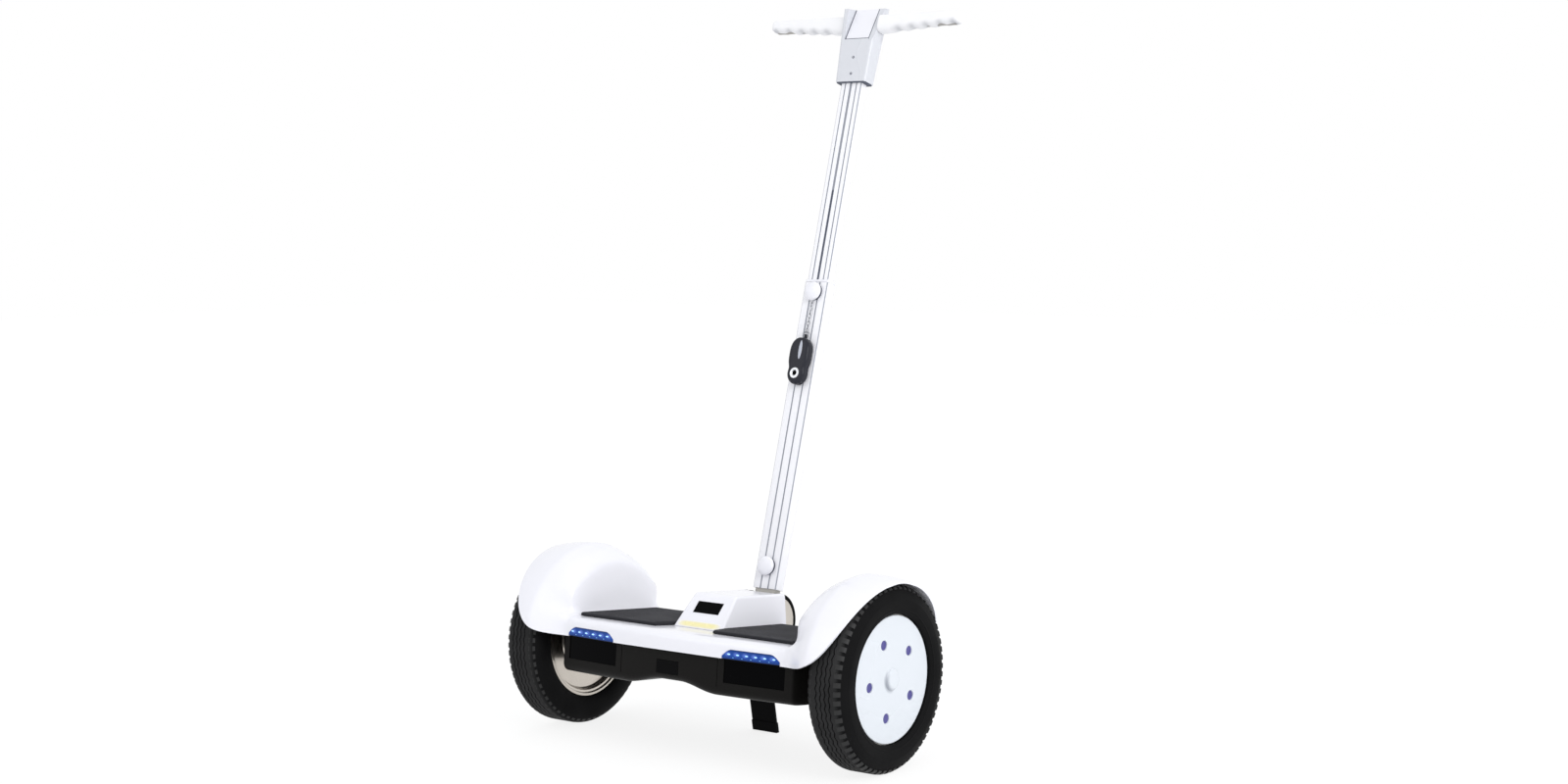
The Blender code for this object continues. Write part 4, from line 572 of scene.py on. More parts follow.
class Pattern(Graph):
    """A geometry tree that repeats the mesh it is given, with named inputs."""

    KINDS = {"Count": "Int", "Material": "Material", "Start": "Vector", "Step": "Vector", "Turn": "Vector"}

    def __init__(self, name, *inputs):
        super().__init__(bpy.data.node_groups.new(name, "GeometryNodeTree"))
        face = self.tree.interface
        face.new_socket(name="Geometry", in_out="INPUT", socket_type="NodeSocketGeometry")
        for label in (*inputs, "Material"):
            kind = self.KINDS.get(label, "Float")
            face.new_socket(name=label, in_out="INPUT", socket_type=f"NodeSocket{kind}")
        face.new_socket(name="Geometry", in_out="OUTPUT", socket_type="NodeSocketGeometry")
        self.group = self.tree.nodes.new("NodeGroupInput")

    def given(self, label):
        return Term(self, self.group.outputs[label])

    def vector(self, x, y, z):
        return self.add("ShaderNodeCombineXYZ", {}, {0: x, 1: y, 2: z})

    def line(self, values):
        """Points in a row, as many as the count."""
        return self.add("GeometryNodeMeshLine", {"mode": "OFFSET", "count_mode": "TOTAL"},
                        {"Count": self.given("Count"), **values})

    def finish(self, points, **values):
        """Puts the given mesh on the points, as real geometry with its material."""
        spread = {"Points": points, "Instance": self.given("Geometry"), **values}
        copies = self.add("GeometryNodeInstanceOnPoints", {}, spread)
        real = self.add("GeometryNodeRealizeInstances", {}, {0: copies})
        made = self.add("GeometryNodeSetMaterial", {}, {"Geometry": real, "Material": self.given("Material")})
        end = self.tree.nodes.new("NodeGroupOutput")
        self.tree.links.new(made.socket, end.inputs[0])
        return self.tree


@functools.cache
def row_pattern():
    """Copies in a row, each turned further than the one before, set ahead by the bow times x squared."""
    tree = Pattern("copies_in_a_row", "Count", "Start", "Step", "Turn", "Bow")
    points = tree.line({"Start Location": tree.given("Start"), "Offset": tree.given("Step")})
    turn = tree.add("ShaderNodeVectorMath", {"operation": "SCALE"},
                    {0: tree.given("Turn"), "Scale": tree.add("GeometryNodeInputIndex")})
    along = tree.add("ShaderNodeSeparateXYZ", {}, {0: tree.add("GeometryNodeInputPosition")})
    bowed = tree.vector(0.0, along * along * tree.given("Bow"), 0.0)
    moved_points = tree.add("GeometryNodeSetPosition", {}, {"Geometry": points, "Offset": bowed})
    return tree.finish(moved_points, Rotation=turn)


@functools.cache
def ring_pattern():
    """Copies evenly round the X axis."""
    tree = Pattern("copies_in_a_ring", "Count", "Radius", "First angle")
    turn = tree.add("GeometryNodeInputIndex") * TAU / tree.given("Count")
    angle = turn + tree.given("First angle")
    radius = tree.given("Radius")
    spot = tree.vector(0.0, angle.maths("COSINE") * radius, angle.sine() * radius)
    points = tree.add("GeometryNodeSetPosition", {}, {"Geometry": tree.line({}), "Position": spot})
    return tree.finish(points, Rotation=tree.vector(angle, 0.0, 0.0))


@functools.cache
def rib_pattern():
    """Ribs one metre long, each drawn to its length between a pad's edges."""
    labels = ("Count", "Rear", "Pitch", "Height", "Inner", "Outer", "Chamfer", "Chamfer end", "Side")
    tree = Pattern("ribs_of_a_pad", *labels)
    rear, pitch, height, inner, outer, chamfer, end, side = [tree.given(label) for label in labels[1:]]
    points = tree.line({"Start Location": tree.vector(0.0, rear, height),
                        "Offset": tree.vector(0.0, pitch, 0.0)})
    ahead = rear + tree.add("GeometryNodeInputIndex") * pitch
    start = tree.add("ShaderNodeMapRange", {"clamp": True},
                     {"Value": ahead, "From Min": rear, "From Max": end,
                      "To Min": chamfer, "To Max": inner})
    shift = tree.vector((outer + start) * 0.5 * side, 0.0, 0.0)
    moved_points = tree.add("GeometryNodeSetPosition", {}, {"Geometry": points, "Offset": shift})
    return tree.finish(moved_points, Scale=tree.vector(outer - start, 1.0, 1.0))


# Materials

def colours():
    return bpy.context.scene.scooter_colours


def sizes():
    return bpy.context.scene.scooter_sizes


def lighter(colour, share):
    return tuple(value + (1 - value) * share for value in colour)


def darker(colour, share):
    return tuple(value * share for value in colour)


def plastics():
    """Each plastic's colour, least and most roughness, fineness and depth of grain, coat and shine."""
    own = colours()
    return {
        "white": (own.white, 0.16, 0.3, 420, 0.012, 0.3, 0.5),
        # A darker copy of the white for the head: painted shade.
        "head_white": (tone(210, 212, 218), 0.2, 0.34, 420, 0.012, 0.2, 0.5),
        "black": (own.black, 0.34, 0.5, 1900, 0.008, 0.0, 0.08),
        "gloss_black": (own.gloss_black, 0.06, 0.14, 300, 0.004, 0.0, 0.03),
        "rubber": (own.rubber, 0.55, 0.75, 1400, 0.01, 0.0, 0.05),
        # A lighter copy of the tyre rubber for the blocks: a painted highlight.
        "lug": (lighter(own.tyre, 0.018), 0.38, 0.5, 700, 0.01, 0.0, 0.2),
        "fob_case": (tone(42, 43, 50), 0.12, 0.22, 500, 0.004, 0.08, 0.12),
        # A bright grey for the fob's ridge: a painted highlight streak.
        "streak": (tone(176, 180, 192), 0.2, 0.34, 900, 0.01, 0.4, 0.5),
        # The seam colour is for the head's screws, and for dark liners that paint shade: in the slot, beside
        # and under the badge, under the head and behind the knobs.
        "seam": (tone(70, 76, 92), 0.5, 0.7, 800, 0.02, 0.0, 0.5),
    }


def plastic(name):
    """Moulded plastic: a faint cloudiness in its colour and gloss, and a fine grain."""
    colour, low, high, grain, depth, coat, shine = plastics()[name]
    mat = Finish(name)
    cloud = mat.noise(9)
    fine = mat.noise(grain, detail=1)
    return mat.set(
        base_color=mat.shade(cloud, darker(colour, 0.955), colour),
        roughness=mat.between(low, high, cloud),
        coat_weight=coat,
        coat_roughness=0.08,
        specular_ior_level=shine,
        normal=mat.bump(fine, depth * MM),
    )


def grip_finish():
    """Soft grip, with painted shade at the bottom of the finger scallops."""
    mat = Finish("grip")
    cloud = mat.noise(30)
    along, _, up = mat.parts()
    # The valley mask and the low mask paint grey shade into the bottoms of the scallops.
    turns = (abs(along) - SCALLOP_FIRST_X) * (TAU / SCALLOP_PITCH)
    valley_shade = (turns.maths("COSINE") * 0.5 + 0.5).maths("POWER", 2.0)
    inside = ((abs(along) - SCALLOP_FIRST_X + SCALLOP_PITCH / 2) / MM).clamp()
    share = (abs(along) - HEAD_TOP_HALF[0]) / (GRIP_TIP_X - HEAD_TOP_HALF[0])
    foot = share * (GRIP_ROOT_HEIGHT - GRIP_TIP_HEIGHT) + HANDLE_HEIGHT - GRIP_ROOT_HEIGHT / 2
    low = (1 - (up - foot) / (7 * MM)).clamp()
    skin = mat.tint(cloud, "grip", 0.94)
    cells = mat.add("ShaderNodeTexVoronoi", {"feature": "F1"}, {"Vector": mat.world(), "Scale": 900})
    return mat.set(
        base_color=mat.shade(low * inside * (valley_shade * 0.7 + 0.15), skin, tone(172, 174, 180)),
        roughness=mat.between(0.38, 0.52, cloud),
        normal=mat.bump(cells, 0.03 * MM),
    )


def tube_finish(name, half_width, half_thick):
    """Painted aluminium with faint drawing lines, with painted shade in its grooves and a painted shade line
    along each corner.
    """
    mat = Finish(name)
    lines = mat.noise(700, mat.place(), (1, 1, 0.012))
    cloud = mat.noise(6)
    across, ahead, _ = mat.parts()
    side = abs(across)
    deep = abs(ahead)
    soft = 0.3 * MM
    # corner and sunk mask the painted shade: a line along each rounded corner, and the floors of the grooves.
    corner = ((side - half_width + TUBE_EDGE_LINE) / soft).clamp()
    corner = corner * ((deep - half_thick + TUBE_EDGE_LINE) / soft).clamp()
    sunk = ((half_thick - 0.1 * MM - deep) / soft).clamp()
    sunk = sunk * ((half_width - TUBE_CORNER - side) / soft).clamp()
    paint = mat.tint(cloud, "white_metal", 0.95)
    return mat.set(
        base_color=mat.shade(corner.maths("MAXIMUM", sunk), paint, colours().tube_shade),
        roughness=mat.between(0.28, 0.42, lines),
        normal=mat.bump(lines, 0.01 * MM),
    )


def lower_paint_finish():
    return tube_finish("lower_paint", *LOWER_HALF)


def upper_paint_finish():
    return tube_finish("upper_paint", *UPPER_HALF)


def tyre_finish():
    """Rubber that is dustier where the tread meets the road, and darker at the floor of its grooves as
    painted shade.
    """
    mat = Finish("tyre")
    fine = mat.noise(900, detail=3)
    cloud = mat.noise(26, detail=4)
    out = mat.radius()
    worn = ((out - WHEEL_RADIUS + 4 * MM) / (4 * MM)).clamp() * cloud
    side = abs(mat.parts()[0])
    # Painted shade: the groove floors take a darker tyre colour.
    groove = ((WHEEL_RADIUS - 0.7 * MM - out) / (0.6 * MM)).clamp()
    groove = groove * ((TREAD_HALF_WIDTH - 3 * MM - side) / (0.5 * MM)).clamp()
    rubber = mat.shade(worn, colours().tyre, lighter(colours().tyre, 0.035))
    return mat.set(
        base_color=mat.shade(groove, rubber, darker(colours().tyre, 0.25)),
        specular_ior_level=0.07,
        roughness=mat.between(0.5, 0.82, cloud),
        normal=mat.bump(fine, 0.015 * MM),
    )


def pad_finish():
    mat = Finish("pad")
    fine = mat.noise(1100, detail=3)
    cloud = mat.noise(14, detail=4)
    up = mat.parts()[2]
    # Painted shade: lower down, between and below the rib tops, the pad is darker; the rib tops vary in
    # clouds.
    top = ((up - DECK_TOP - PAD_THICK + 1.5 * MM) / (1.5 * MM)).clamp() * cloud
    return mat.set(
        base_color=mat.tint(top, "pad", 0.45, 0.04),
        specular_ior_level=0.12,
        roughness=mat.between(0.55, 0.8, cloud),
        normal=mat.bump(fine, 0.1 * MM),
    )


def turned_metal(name, low, high, pitch):
    """Metal with the fine rings that a lathe leaves round the X axis."""
    mat = Finish(name)
    out = mat.radius()
    rings = (out * (TAU / pitch)).sine() * 0.5 + 0.5
    cloud = mat.noise(40, detail=3)
    mixed = rings * 0.5 + cloud * 0.5
    return mat.set(
        base_color=mat.tint(cloud, name, 0.9),
        metallic=1.0,
        roughness=mat.between(low, high, mixed),
        normal=mat.bump(rings, 0.006 * MM),
    )


def rim_finish():
    return turned_metal("rim", 0.18, 0.34, 0.5 * MM)


def disc_finish():
    return turned_metal("disc", 0.3, 0.46, 0.35 * MM)


def steel_finish():
    mat = Finish("steel")
    lines = mat.noise(500, mat.world(), (0.06, 1, 1))
    cloud = mat.noise(22, detail=3)
    return mat.set(
        base_color=mat.tint(cloud, "steel", 0.86),
        metallic=1.0,
        roughness=mat.between(0.26, 0.5, lines),
        normal=mat.bump(lines, 0.012 * MM),
    )


def bolt_finish():
    """A dark bolt with a touch of brown rust."""
    mat = Finish("bolt")
    cloud = mat.noise(300, detail=4)
    return mat.set(
        base_color=mat.shade(cloud, tone(58, 44, 38), tone(104, 82, 70)),
        metallic=mat.between(0.9, 0.4, cloud),
        roughness=mat.between(0.35, 0.6, cloud),
        normal=mat.bump(cloud, 0.04 * MM),
    )


def clouded(name, dark, light, low, high, scale, detail, metallic):
    """Metal with one cloud in its colour and its gloss."""
    mat = Finish(name)
    cloud = mat.noise(scale, detail=detail)
    return mat.set(
        base_color=mat.shade(cloud, dark, light),
        metallic=metallic,
        roughness=mat.between(low, high, cloud),
    )


def chrome_finish():
    return clouded("chrome", tone(196, 198, 202), tone(226, 228, 232), 0.1, 0.22, 60, 3.0, 1.0)


def lens_finish():
    """Blue plastic with painted light: a glow round each dot, and a base colour brighter in a band along its
    middle and darker towards its top and bottom edges.
    """
    mat = Finish("lens")
    along, _, up = mat.parts()
    level = (up - SKIRT_EDGE_Z) / (LENS_TOP - SKIRT_EDGE_Z)
    cell = (abs(along) / sizes().dot_pitch).fraction() - 0.5
    spread = (cell * cell * 5 + (level - 0.55) * (level - 0.55) * 9).clamp()
    halo = (1 - spread).maths("POWER", 2.0)
    # The band paints light and shade into the base colour; the halo is a painted glow round the dots.
    band = (1 - ((level - 0.5) * (level - 0.5) * 4)).clamp()
    return mat.set(
        base_color=mat.tint(band, "lens", 0.3),
        roughness=mat.between(0.08, 0.16, mat.noise(20)),
        specular_ior_level=0.3,
        emission_color=mat.tint(halo, "lens", 0.2, 0.1),
        emission_strength=1.0,
    )


def glow_finish():
    """A painted glint: an emissive dot, whiter towards its middle height."""
    mat = Finish("glow")
    up = mat.parts()[2]
    level = (up - SKIRT_EDGE_Z) / (LENS_TOP - SKIRT_EDGE_Z)
    middle = (1 - (level - 0.55) * (level - 0.55) * 30).clamp()
    return mat.set(
        base_color=colours().glow,
        roughness=0.3,
        emission_color=mat.tint(middle, "glow", 0.35, 0.4),
        emission_strength=0.75,
    )


def chain_finish():
    """Dull plated wire, darker where it has worn."""
    return clouded("chain", tone(70, 72, 78), tone(196, 198, 204), 0.2, 0.4, 420, 4.0, 0.9)


def hubcap_finish():
    """Bluish white, with a painted shadow: a soft grey crescent at the foot of the boss, on its lower rear
    side.
    """
    mat = Finish("hubcap")
    _, ahead, up = mat.parts()
    out = mat.radius()
    # near and low mask the painted shadow round the foot of the boss.
    near = (1 - abs(out - HUBCAP_BOSS_RADIUS + 1.5 * MM) / (6 * MM)).clamp()
    low = ((ahead * -0.9 - up * 0.45) / HUBCAP_BOSS_RADIUS - 0.1).clamp()
    cloud = mat.noise(9)
    paint = mat.shade(cloud, tone(212, 217, 223), tone(214, 219, 225))
    return mat.set(
        base_color=mat.shade(near * low, paint, tone(128, 133, 146)),
        roughness=mat.between(0.2, 0.34, cloud),
        coat_weight=0.2,
    )


def recess_finish():
    """Blue-violet, darker in the clouds."""
    colour = colours().recess
    return clouded("recess", darker(colour, 0.75), lighter(colour, 0.06), 0.22, 0.36, 90, 2.0, 0.35)


def strip_finish():
    """A plain soft-edged band of pale colour on the white slope."""
    mat = Finish("strip")
    along, ahead, _ = mat.parts()
    ends = ((abs(along) - STRIP_HALF_WIDTH * 0.55) / (STRIP_HALF_WIDTH * 0.45)).clamp()
    middle = (STRIP_LOW + STRIP_HIGH) / 2
    rims = (abs(ahead - middle) / (STRIP_HIGH - middle)).maths("POWER", 3.0)
    cloud = mat.noise(60)
    soft = (ends * ends + rims * 0.7 + cloud * 0.12).clamp()
    return mat.set(
        base_color=mat.shade(soft, colours().strip, colours().white),
        roughness=mat.between(0.2, 0.34, cloud),
    )


def board_finish():
    """A circuit board: green lacquer over paler tracks, with bright solder."""
    mat = Finish("board")
    cells = mat.add("ShaderNodeTexVoronoi", {"feature": "DISTANCE_TO_EDGE"},
                    {"Vector": mat.world(), "Scale": 160})
    track = (cells * 16).clamp()
    dots = mat.add("ShaderNodeTexVoronoi", {"feature": "F1"}, {"Vector": mat.world(), "Scale": 420})
    solder = ((0.16 - dots) * 30).clamp()
    return mat.set(
        base_color=mat.shade(track, lighter(colours().board, 0.12), colours().board),
        metallic=solder,
        roughness=mat.between(0.32, 0.5, track),
        normal=mat.bump(solder - track, 0.04 * MM),
    )


def battery_finish():
    """Shrink sleeve, wrinkled over the cells under it."""
    mat = Finish("battery")
    wrinkle = mat.noise(70, detail=3)
    cell = mat.parts(mat.world())[0] * (TAU / (18.5 * MM))
    ribs = cell.sine() * 0.5 + 0.5
    return mat.set(
        base_color=mat.tint(wrinkle, "battery", 0.7),
        roughness=mat.between(0.25, 0.45, wrinkle),
        normal=mat.bump(ribs * 4 + wrinkle, 0.25 * MM),
    )


def copper_finish():
    """Enamelled wire wound close."""
    mat = Finish("copper")
    along = mat.parts(mat.world())[0]
    wires = (along * (TAU / (1.1 * MM))).sine() * 0.5 + 0.5
    cloud = mat.noise(80, detail=3)
    return mat.set(
        base_color=mat.tint(cloud, "copper", 0.6),
        metallic=0.85,
        roughness=mat.between(0.25, 0.45, cloud),
        normal=mat.bump(wires, 0.2 * MM),
    )


LOOKS = {make.__name__.removesuffix("_finish"): make for make in (
    grip_finish, lower_paint_finish, upper_paint_finish, tyre_finish, pad_finish, rim_finish, disc_finish,
    steel_finish, bolt_finish, chrome_finish, chain_finish, lens_finish, glow_finish, hubcap_finish,
    recess_finish, strip_finish, board_finish, battery_finish, copper_finish)}


def look(name):
    """The material of a finish, made when it is first asked for."""
    made = bpy.data.materials.get(f"{name}_finish")
    return made or (LOOKS[name]() if name in LOOKS else plastic(name))


# Numbers

def limited(value):
    """The value, kept between 0 and 1."""
    return min(max(value, 0), 1)


def mix(low, high, share):
    """The value that lies a share of the way from low to high."""
    return low + (high - low) * share


def ordered(side, first, second):
    """Two distances to one side of the middle, as numbers in rising order."""
    return sorted((side * first, side * second))


def both_sides(half):
    """Distances from the middle outward, as places from one end to the other."""
    return [-x for x in half[:0:-1]] + half


# Shapes: closed surfaces as (points, faces), and the outlines they are made from

def loft(rings):
    """Joins rings of equally many points, and closes both ends."""
    count = len(rings[0])
    points = [point for ring in rings for point in ring]
    faces = [tuple(range(count)), tuple(range(len(points) - count, len(points)))]
    for start in range(0, len(points) - count, count):
        for step in range(count):
            after = (step + 1) % count
            faces.append((start + step, start + after, start + count + after, start + count + step))
    return points, faces


def placed(across, along, axis):
    """A point from its two coordinates across an axis and the one along it."""
    first, second = across
    return {"X": (along, first, second), "Y": (first, along, second), "Z": (first, second, along)}[axis]


def prism(outline, axis, low, high):
    return loft([[placed(point, along, axis) for point in outline] for along in (low, high)])


def box(low, high):
    outline = [(low[0], low[1]), (high[0], low[1]), (high[0], high[1]), (low[0], high[1])]
    return prism(outline, "Z", low[2], high[2])


def circle(centre, radius, steps):
    angles = [TAU * (step + 0.5) / steps for step in range(steps)]
    return [(centre[0] + radius * cos(a), centre[1] + radius * sin(a)) for a in angles]


def rod(centre, radius, axis, low, high, steps=48):
    return prism(circle(centre, radius, steps), axis, low, high)


def turned(profile, axis, steps, centre=(0, 0)):
    """Turns a closed profile of (along, radius) points about an axis."""
    points = []
    rings = []
    for along, radius in profile:
        ring = [centre] if radius == 0 else circle(centre, radius, steps)
        rings.append(range(len(points), len(points) + len(ring)))
        points += [placed(point, along, axis) for point in ring]
    faces = []
    for ring, after in zip(rings, rings[1:] + rings[:1]):
        for step in range(steps):
            corners = [ring[step % len(ring)], ring[(step + 1) % len(ring)]]
            corners += [after[(step + 1) % len(after)], after[step % len(after)]]
            corners = list(dict.fromkeys(corners))
            if len(corners) > 2:
                faces.append(corners)
    return points, faces


def ball(half, steps, rows):
    """An ellipsoid about the origin."""
    profile = [(-half[0], 0)]
    for row in range(1, rows):
        turn = pi * row / rows
        profile.append((-half[0] * cos(turn), sin(turn)))
    points, faces = turned(profile + [(half[0], 0)], "X", steps)
    return [(x, y * half[1], z * half[2]) for x, y, z in points], faces


def arc(centre, radius, first, last, steps):
    """Points along an arc, in degrees from the first axis to the second."""
    angles = [radians(first + (last - first) * step / steps) for step in range(steps + 1)]
    return [(centre[0] + radius * cos(a), centre[1] + radius * sin(a)) for a in angles]


def rounded(half_width, half_thick, radius, steps=6):
    """A rectangle about the origin, with rounded corners."""
    outline = []
    for quarter, (across, along) in enumerate(QUARTERS):
        corner = (across * (half_width - radius), along * (half_thick - radius))
        outline += arc(corner, radius, 90 * quarter, 90 * quarter + 90, steps)
    return outline


def walled(outer, inner):
    """A closed shell between two grids of points, each a list of equally long rows."""
    width = len(outer[0])
    count = len(outer) * width
    points = [point for grid in (outer, inner) for row in grid for point in row]
    faces = []
    for start in range(0, count - width, width):
        for corner in range(start, start + width - 1):
            skin = (corner, corner + 1, corner + width + 1, corner + width)
            faces += [skin, tuple(count + index for index in reversed(skin))]
    borders = [range(width), range(width - 1, count, width), range(count - 1, count - width - 1, -1),
               range(count - width, -1, -width)]
    for border in borders:
        for first, second in zip(border, border[1:]):
            faces.append((second, first, count + first, count + second))
    return points, faces


def together(*shapes):
    """Several closed surfaces as one mesh."""
    points = []
    faces = []
    for shape_points, shape_faces in shapes:
        faces += [tuple(len(points) + index for index in face) for face in shape_faces]
        points += shape_points
    return points, faces


def looped(rings):
    """Joins rings of equally many points into a closed band, the last ring to the first."""
    count = len(rings[0])
    points = [point for ring in rings for point in ring]
    faces = []
    for number in range(len(rings)):
        start = number * count
        after = (number + 1) % len(rings) * count
        for corner in range(count):
            beside = (corner + 1) % count
            faces.append((start + corner, start + beside, after + beside, after + corner))
    return points, faces


def moved(shape, matrix):
    points, faces = shape
    return [tuple(matrix @ Vector(point)) for point in points], faces


def refined(values, parts):
    """The same steps, each split into equal parts."""
    fine = []
    for low, high in zip(values, values[1:]):
        fine += [low + (high - low) * step / parts for step in range(parts)]
    return fine + [values[-1]]


def mirrored(profile, side):
    return [(side * along, radius) for along, radius in profile]


# Pieces

def mesh_of(name, shape):
    mesh = bpy.data.meshes.new(name)
    mesh.from_pydata(shape[0], [], shape[1])
    work = bmesh.new()
    work.from_mesh(mesh)
    bmesh.ops.recalc_face_normals(work, faces=work.faces)
    work.to_mesh(mesh)
    work.free()
    return mesh


def linked(name, data):
    made = bpy.data.objects.new(name, data)
    bpy.context.scene.collection.objects.link(made)
    return made


def settle(made):
    """Gives the object the mesh that its modifiers leave, and removes them."""
    depsgraph = bpy.context.evaluated_depsgraph_get()
    mesh = bpy.data.meshes.new_from_object(
        made.evaluated_get(depsgraph), preserve_all_data_layers=True, depsgraph=depsgraph)
    old = made.data
    made.modifiers.clear()
    made.data = mesh
    bpy.data.meshes.remove(old)


def smooth(made, angle):
    """Smooth shading, with the edges sharper than the angle kept sharp."""
    made.data.shade_smooth()
    made.data.set_sharp_from_angle(angle=radians(angle))


def rounded_edges(made, width, angle):
    """Rounds edges sharper than the angle, and keeps flat faces flat in shading."""
    change = made.modifiers.new("Edge", "BEVEL")
    change.width = width
    change.segments = 3
    change.limit_method = "ANGLE"
    change.angle_limit = radians(angle)
    change.use_clamp_overlap = True
    settle(made)
    smooth(made, 50)
    level = made.modifiers.new("Level", "WEIGHTED_NORMAL")
    level.keep_sharp = True
    settle(made)


def cut(made, shapes, operation="DIFFERENCE"):
    """Cuts the closed shapes out of the object, or joins them to it."""
    tools = []
    for number, shape in enumerate(shapes):
        tool = linked(f"{made.name}_tool_{number}", mesh_of("tool", shape))
        change = made.modifiers.new("Cut", "BOOLEAN")
        change.operation = operation
        change.solver = "EXACT"
        change.object = tool
        tools.append(tool)
    if tools:
        settle(made)
    for tool in tools:
        bpy.data.objects.remove(tool)


def painted(mesh, finish):
    mesh.materials.clear()
    mesh.materials.append(look(finish))


def finished(made, place, finish, body, node=None):
    """Keeps each point's own place, moves the mesh to the world, and hands the piece to its body."""
    mesh = made.data
    values = [number for point in mesh.vertices for number in point.co]
    mesh.attributes.new("place", "FLOAT_VECTOR", "POINT").data.foreach_set("vector", values)
    mesh.transform(place)
    painted(mesh, finish)
    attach(made, body)
    if node:
        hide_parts(node)


def piece(name, shape, place, finish, body, node=None, cuts=(), adds=(), edge=0.0, sharp=35):
    """A piece of its own shape, which may stand for a node of the frame."""
    made = linked(name, mesh_of(name, shape))
    cut(made, adds, "UNION")
    cut(made, cuts)
    if edge:
        rounded_edges(made, edge, sharp)
    else:
        smooth(made, sharp)
    finished(made, place, finish, body, node)


def repeated(name, unit, pattern, values, place, finish, body, sharp=35):
    """One mesh of many copies, made by a geometry tree."""
    made = linked(name, mesh_of(name, unit))
    tree = pattern()
    change = made.modifiers.new("Repeat", "NODES")
    change.node_group = tree
    sockets = {item.name: item.identifier for item in tree.interface.items_tree if item.in_out == "INPUT"}
    for label, value in {**values, "Material": look(finish)}.items():
        change[sockets[label]] = value
    settle(made)
    smooth(made, sharp)
    finished(made, place, finish, body)


def dressed(node, place, finish, edge, sharp=30):
    """The node's own shape with rounded edges, in its place."""
    source = frame["nodes"][node]
    mesh = bpy.data.meshes.new(node)
    work = bmesh.new()
    work.from_mesh(source.data)
    bmesh.ops.remove_doubles(work, verts=work.verts, dist=0.01 * MM)
    bmesh.ops.dissolve_limit(work, angle_limit=radians(0.5), verts=work.verts, edges=work.edges)
    bmesh.ops.transform(work, matrix=place.inverted(), verts=work.verts)
    work.to_mesh(mesh)
    work.free()
    made = linked(f"{node}_rounded", mesh)
    rounded_edges(made, edge, sharp)
    finished(made, place, finish, source["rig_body"], node)


# Top cover

def ease(share):
    """A share that starts and ends slowly."""
    share = limited(share)
    return share * share * (3 - 2 * share)


def rise_slopes():
    """Slopes at the points of the fender's rise that keep it smooth and never falling."""
    steps = [(b[1] - a[1]) / (b[0] - a[0]) for a, b in zip(FENDER_RISE, FENDER_RISE[1:])]
    return [0] + [2 * a * b / (a + b) for a, b in zip(steps, steps[1:])] + [0]


def fender_rise(share):
    """How much of its height the fender has reached at a share of its way out."""
    share = limited(share)
    slopes = rise_slopes()
    for index, ((low, start), (high, end)) in enumerate(zip(FENDER_RISE, FENDER_RISE[1:])):
        if share <= high:
            span = high - low
            t = (share - low) / span
            curve = start * (1 + 2 * t) * (1 - t) ** 2 + end * t * t * (3 - 2 * t)
            return curve + span * t * (1 - t) * (slopes[index] * (1 - t) - slopes[index + 1] * t)
    return 1


def half_depth(x):
    return DECK_HALF_DEPTH - DECK_BOW * (x / PAD_OUTER_X) ** 2


def edge_angle(x):
    """Degrees up from level, seen from the axle, at which the cover's lower edge lies."""
    lowest = degrees(atan2(SKIRT_EDGE_Z, DECK_HALF_DEPTH))
    share = limited((x - SKIRT_FLARE_X) / (FENDER_OUTER_X - SKIRT_FLARE_X))
    return mix(lowest, FENDER_TIP_ANGLE, 1 - sqrt(1 - share ** SKIRT_FLARE_POWER))


def cover_reach(x, angle, inset):
    """The distance from the axle of the cover's face, or of a face set in from it."""
    turn = radians(angle)
    power = DECK_SQUARENESS
    deep = cos(turn) / (half_depth(x) - inset)
    high = sin(turn) / (DECK_TOP - inset)
    flat = (deep ** power + high ** power) ** (-1 / power)
    crest = WHEEL_RADIUS + FENDER_OVER_TYRE - COVER_TUCK - inset
    out = max(x - FENDER_CREST_X, 0) / (FENDER_OUTER_X - FENDER_CREST_X)
    crest -= FENDER_OUTER_DROP * out * out
    share = (x - FENDER_FOOT_X) / (FENDER_CREST_X - FENDER_FOOT_X)
    steep = ease((angle - 15) / 25)
    rise = steep * fender_rise(share) + (1 - steep) * ease(share)
    return mix(flat, crest, rise)


def cover_row(x, inset):
    """Points across the cover at one x, from its rear edge over the top to its front edge."""
    side = abs(x)
    lowest = edge_angle(side)
    corner = degrees(atan2(DECK_TOP, half_depth(side)))
    deck = refined([lowest] + [share * corner for share in CORNER_SPREAD] + [90], COVER_FINENESS)
    half = len(deck) - 1
    share = (side - FENDER_FOOT_X) / (FENDER_CREST_X - FENDER_FOOT_X)
    over = ease(share * 1.5)
    coming = ease((side / FENDER_FOOT_X - 0.8) / 0.2)
    outward = inset * coming * (1 - ease((share - 0.2) / 0.8))
    row = []
    for step in range(2 * half + 1):
        near = min(step, 2 * half - step)
        even = lowest + (90 - lowest) * near / half
        angle = mix(deck[near], even, over)
        reach = cover_reach(side, angle, inset)
        ahead = -1 if step < half else 1
        turn = radians(angle)
        row.append((x + copysign(outward, x), ahead * reach * cos(turn), reach * sin(turn)))
    return row


def cover_stations():
    """Places along the cover, closer together where its outline turns."""
    deck = [FENDER_FOOT_X * share for share in (0, 0.18, 0.4, 0.6, 0.78, 0.9, 1)]
    wall = [mix(FENDER_FOOT_X, FENDER_CREST_X, share) for share, _ in FENDER_RISE[1:]]
    wall.insert(3, mix(FENDER_FOOT_X, FENDER_CREST_X, 0.32))
    outer = [mix(FENDER_CREST_X, FENDER_OUTER_X, share) for share in (0.25, 0.48, 0.66, 0.8, 0.9, 0.96, 1)]
    return both_sides(refined(deck + wall + outer, COVER_FINENESS))


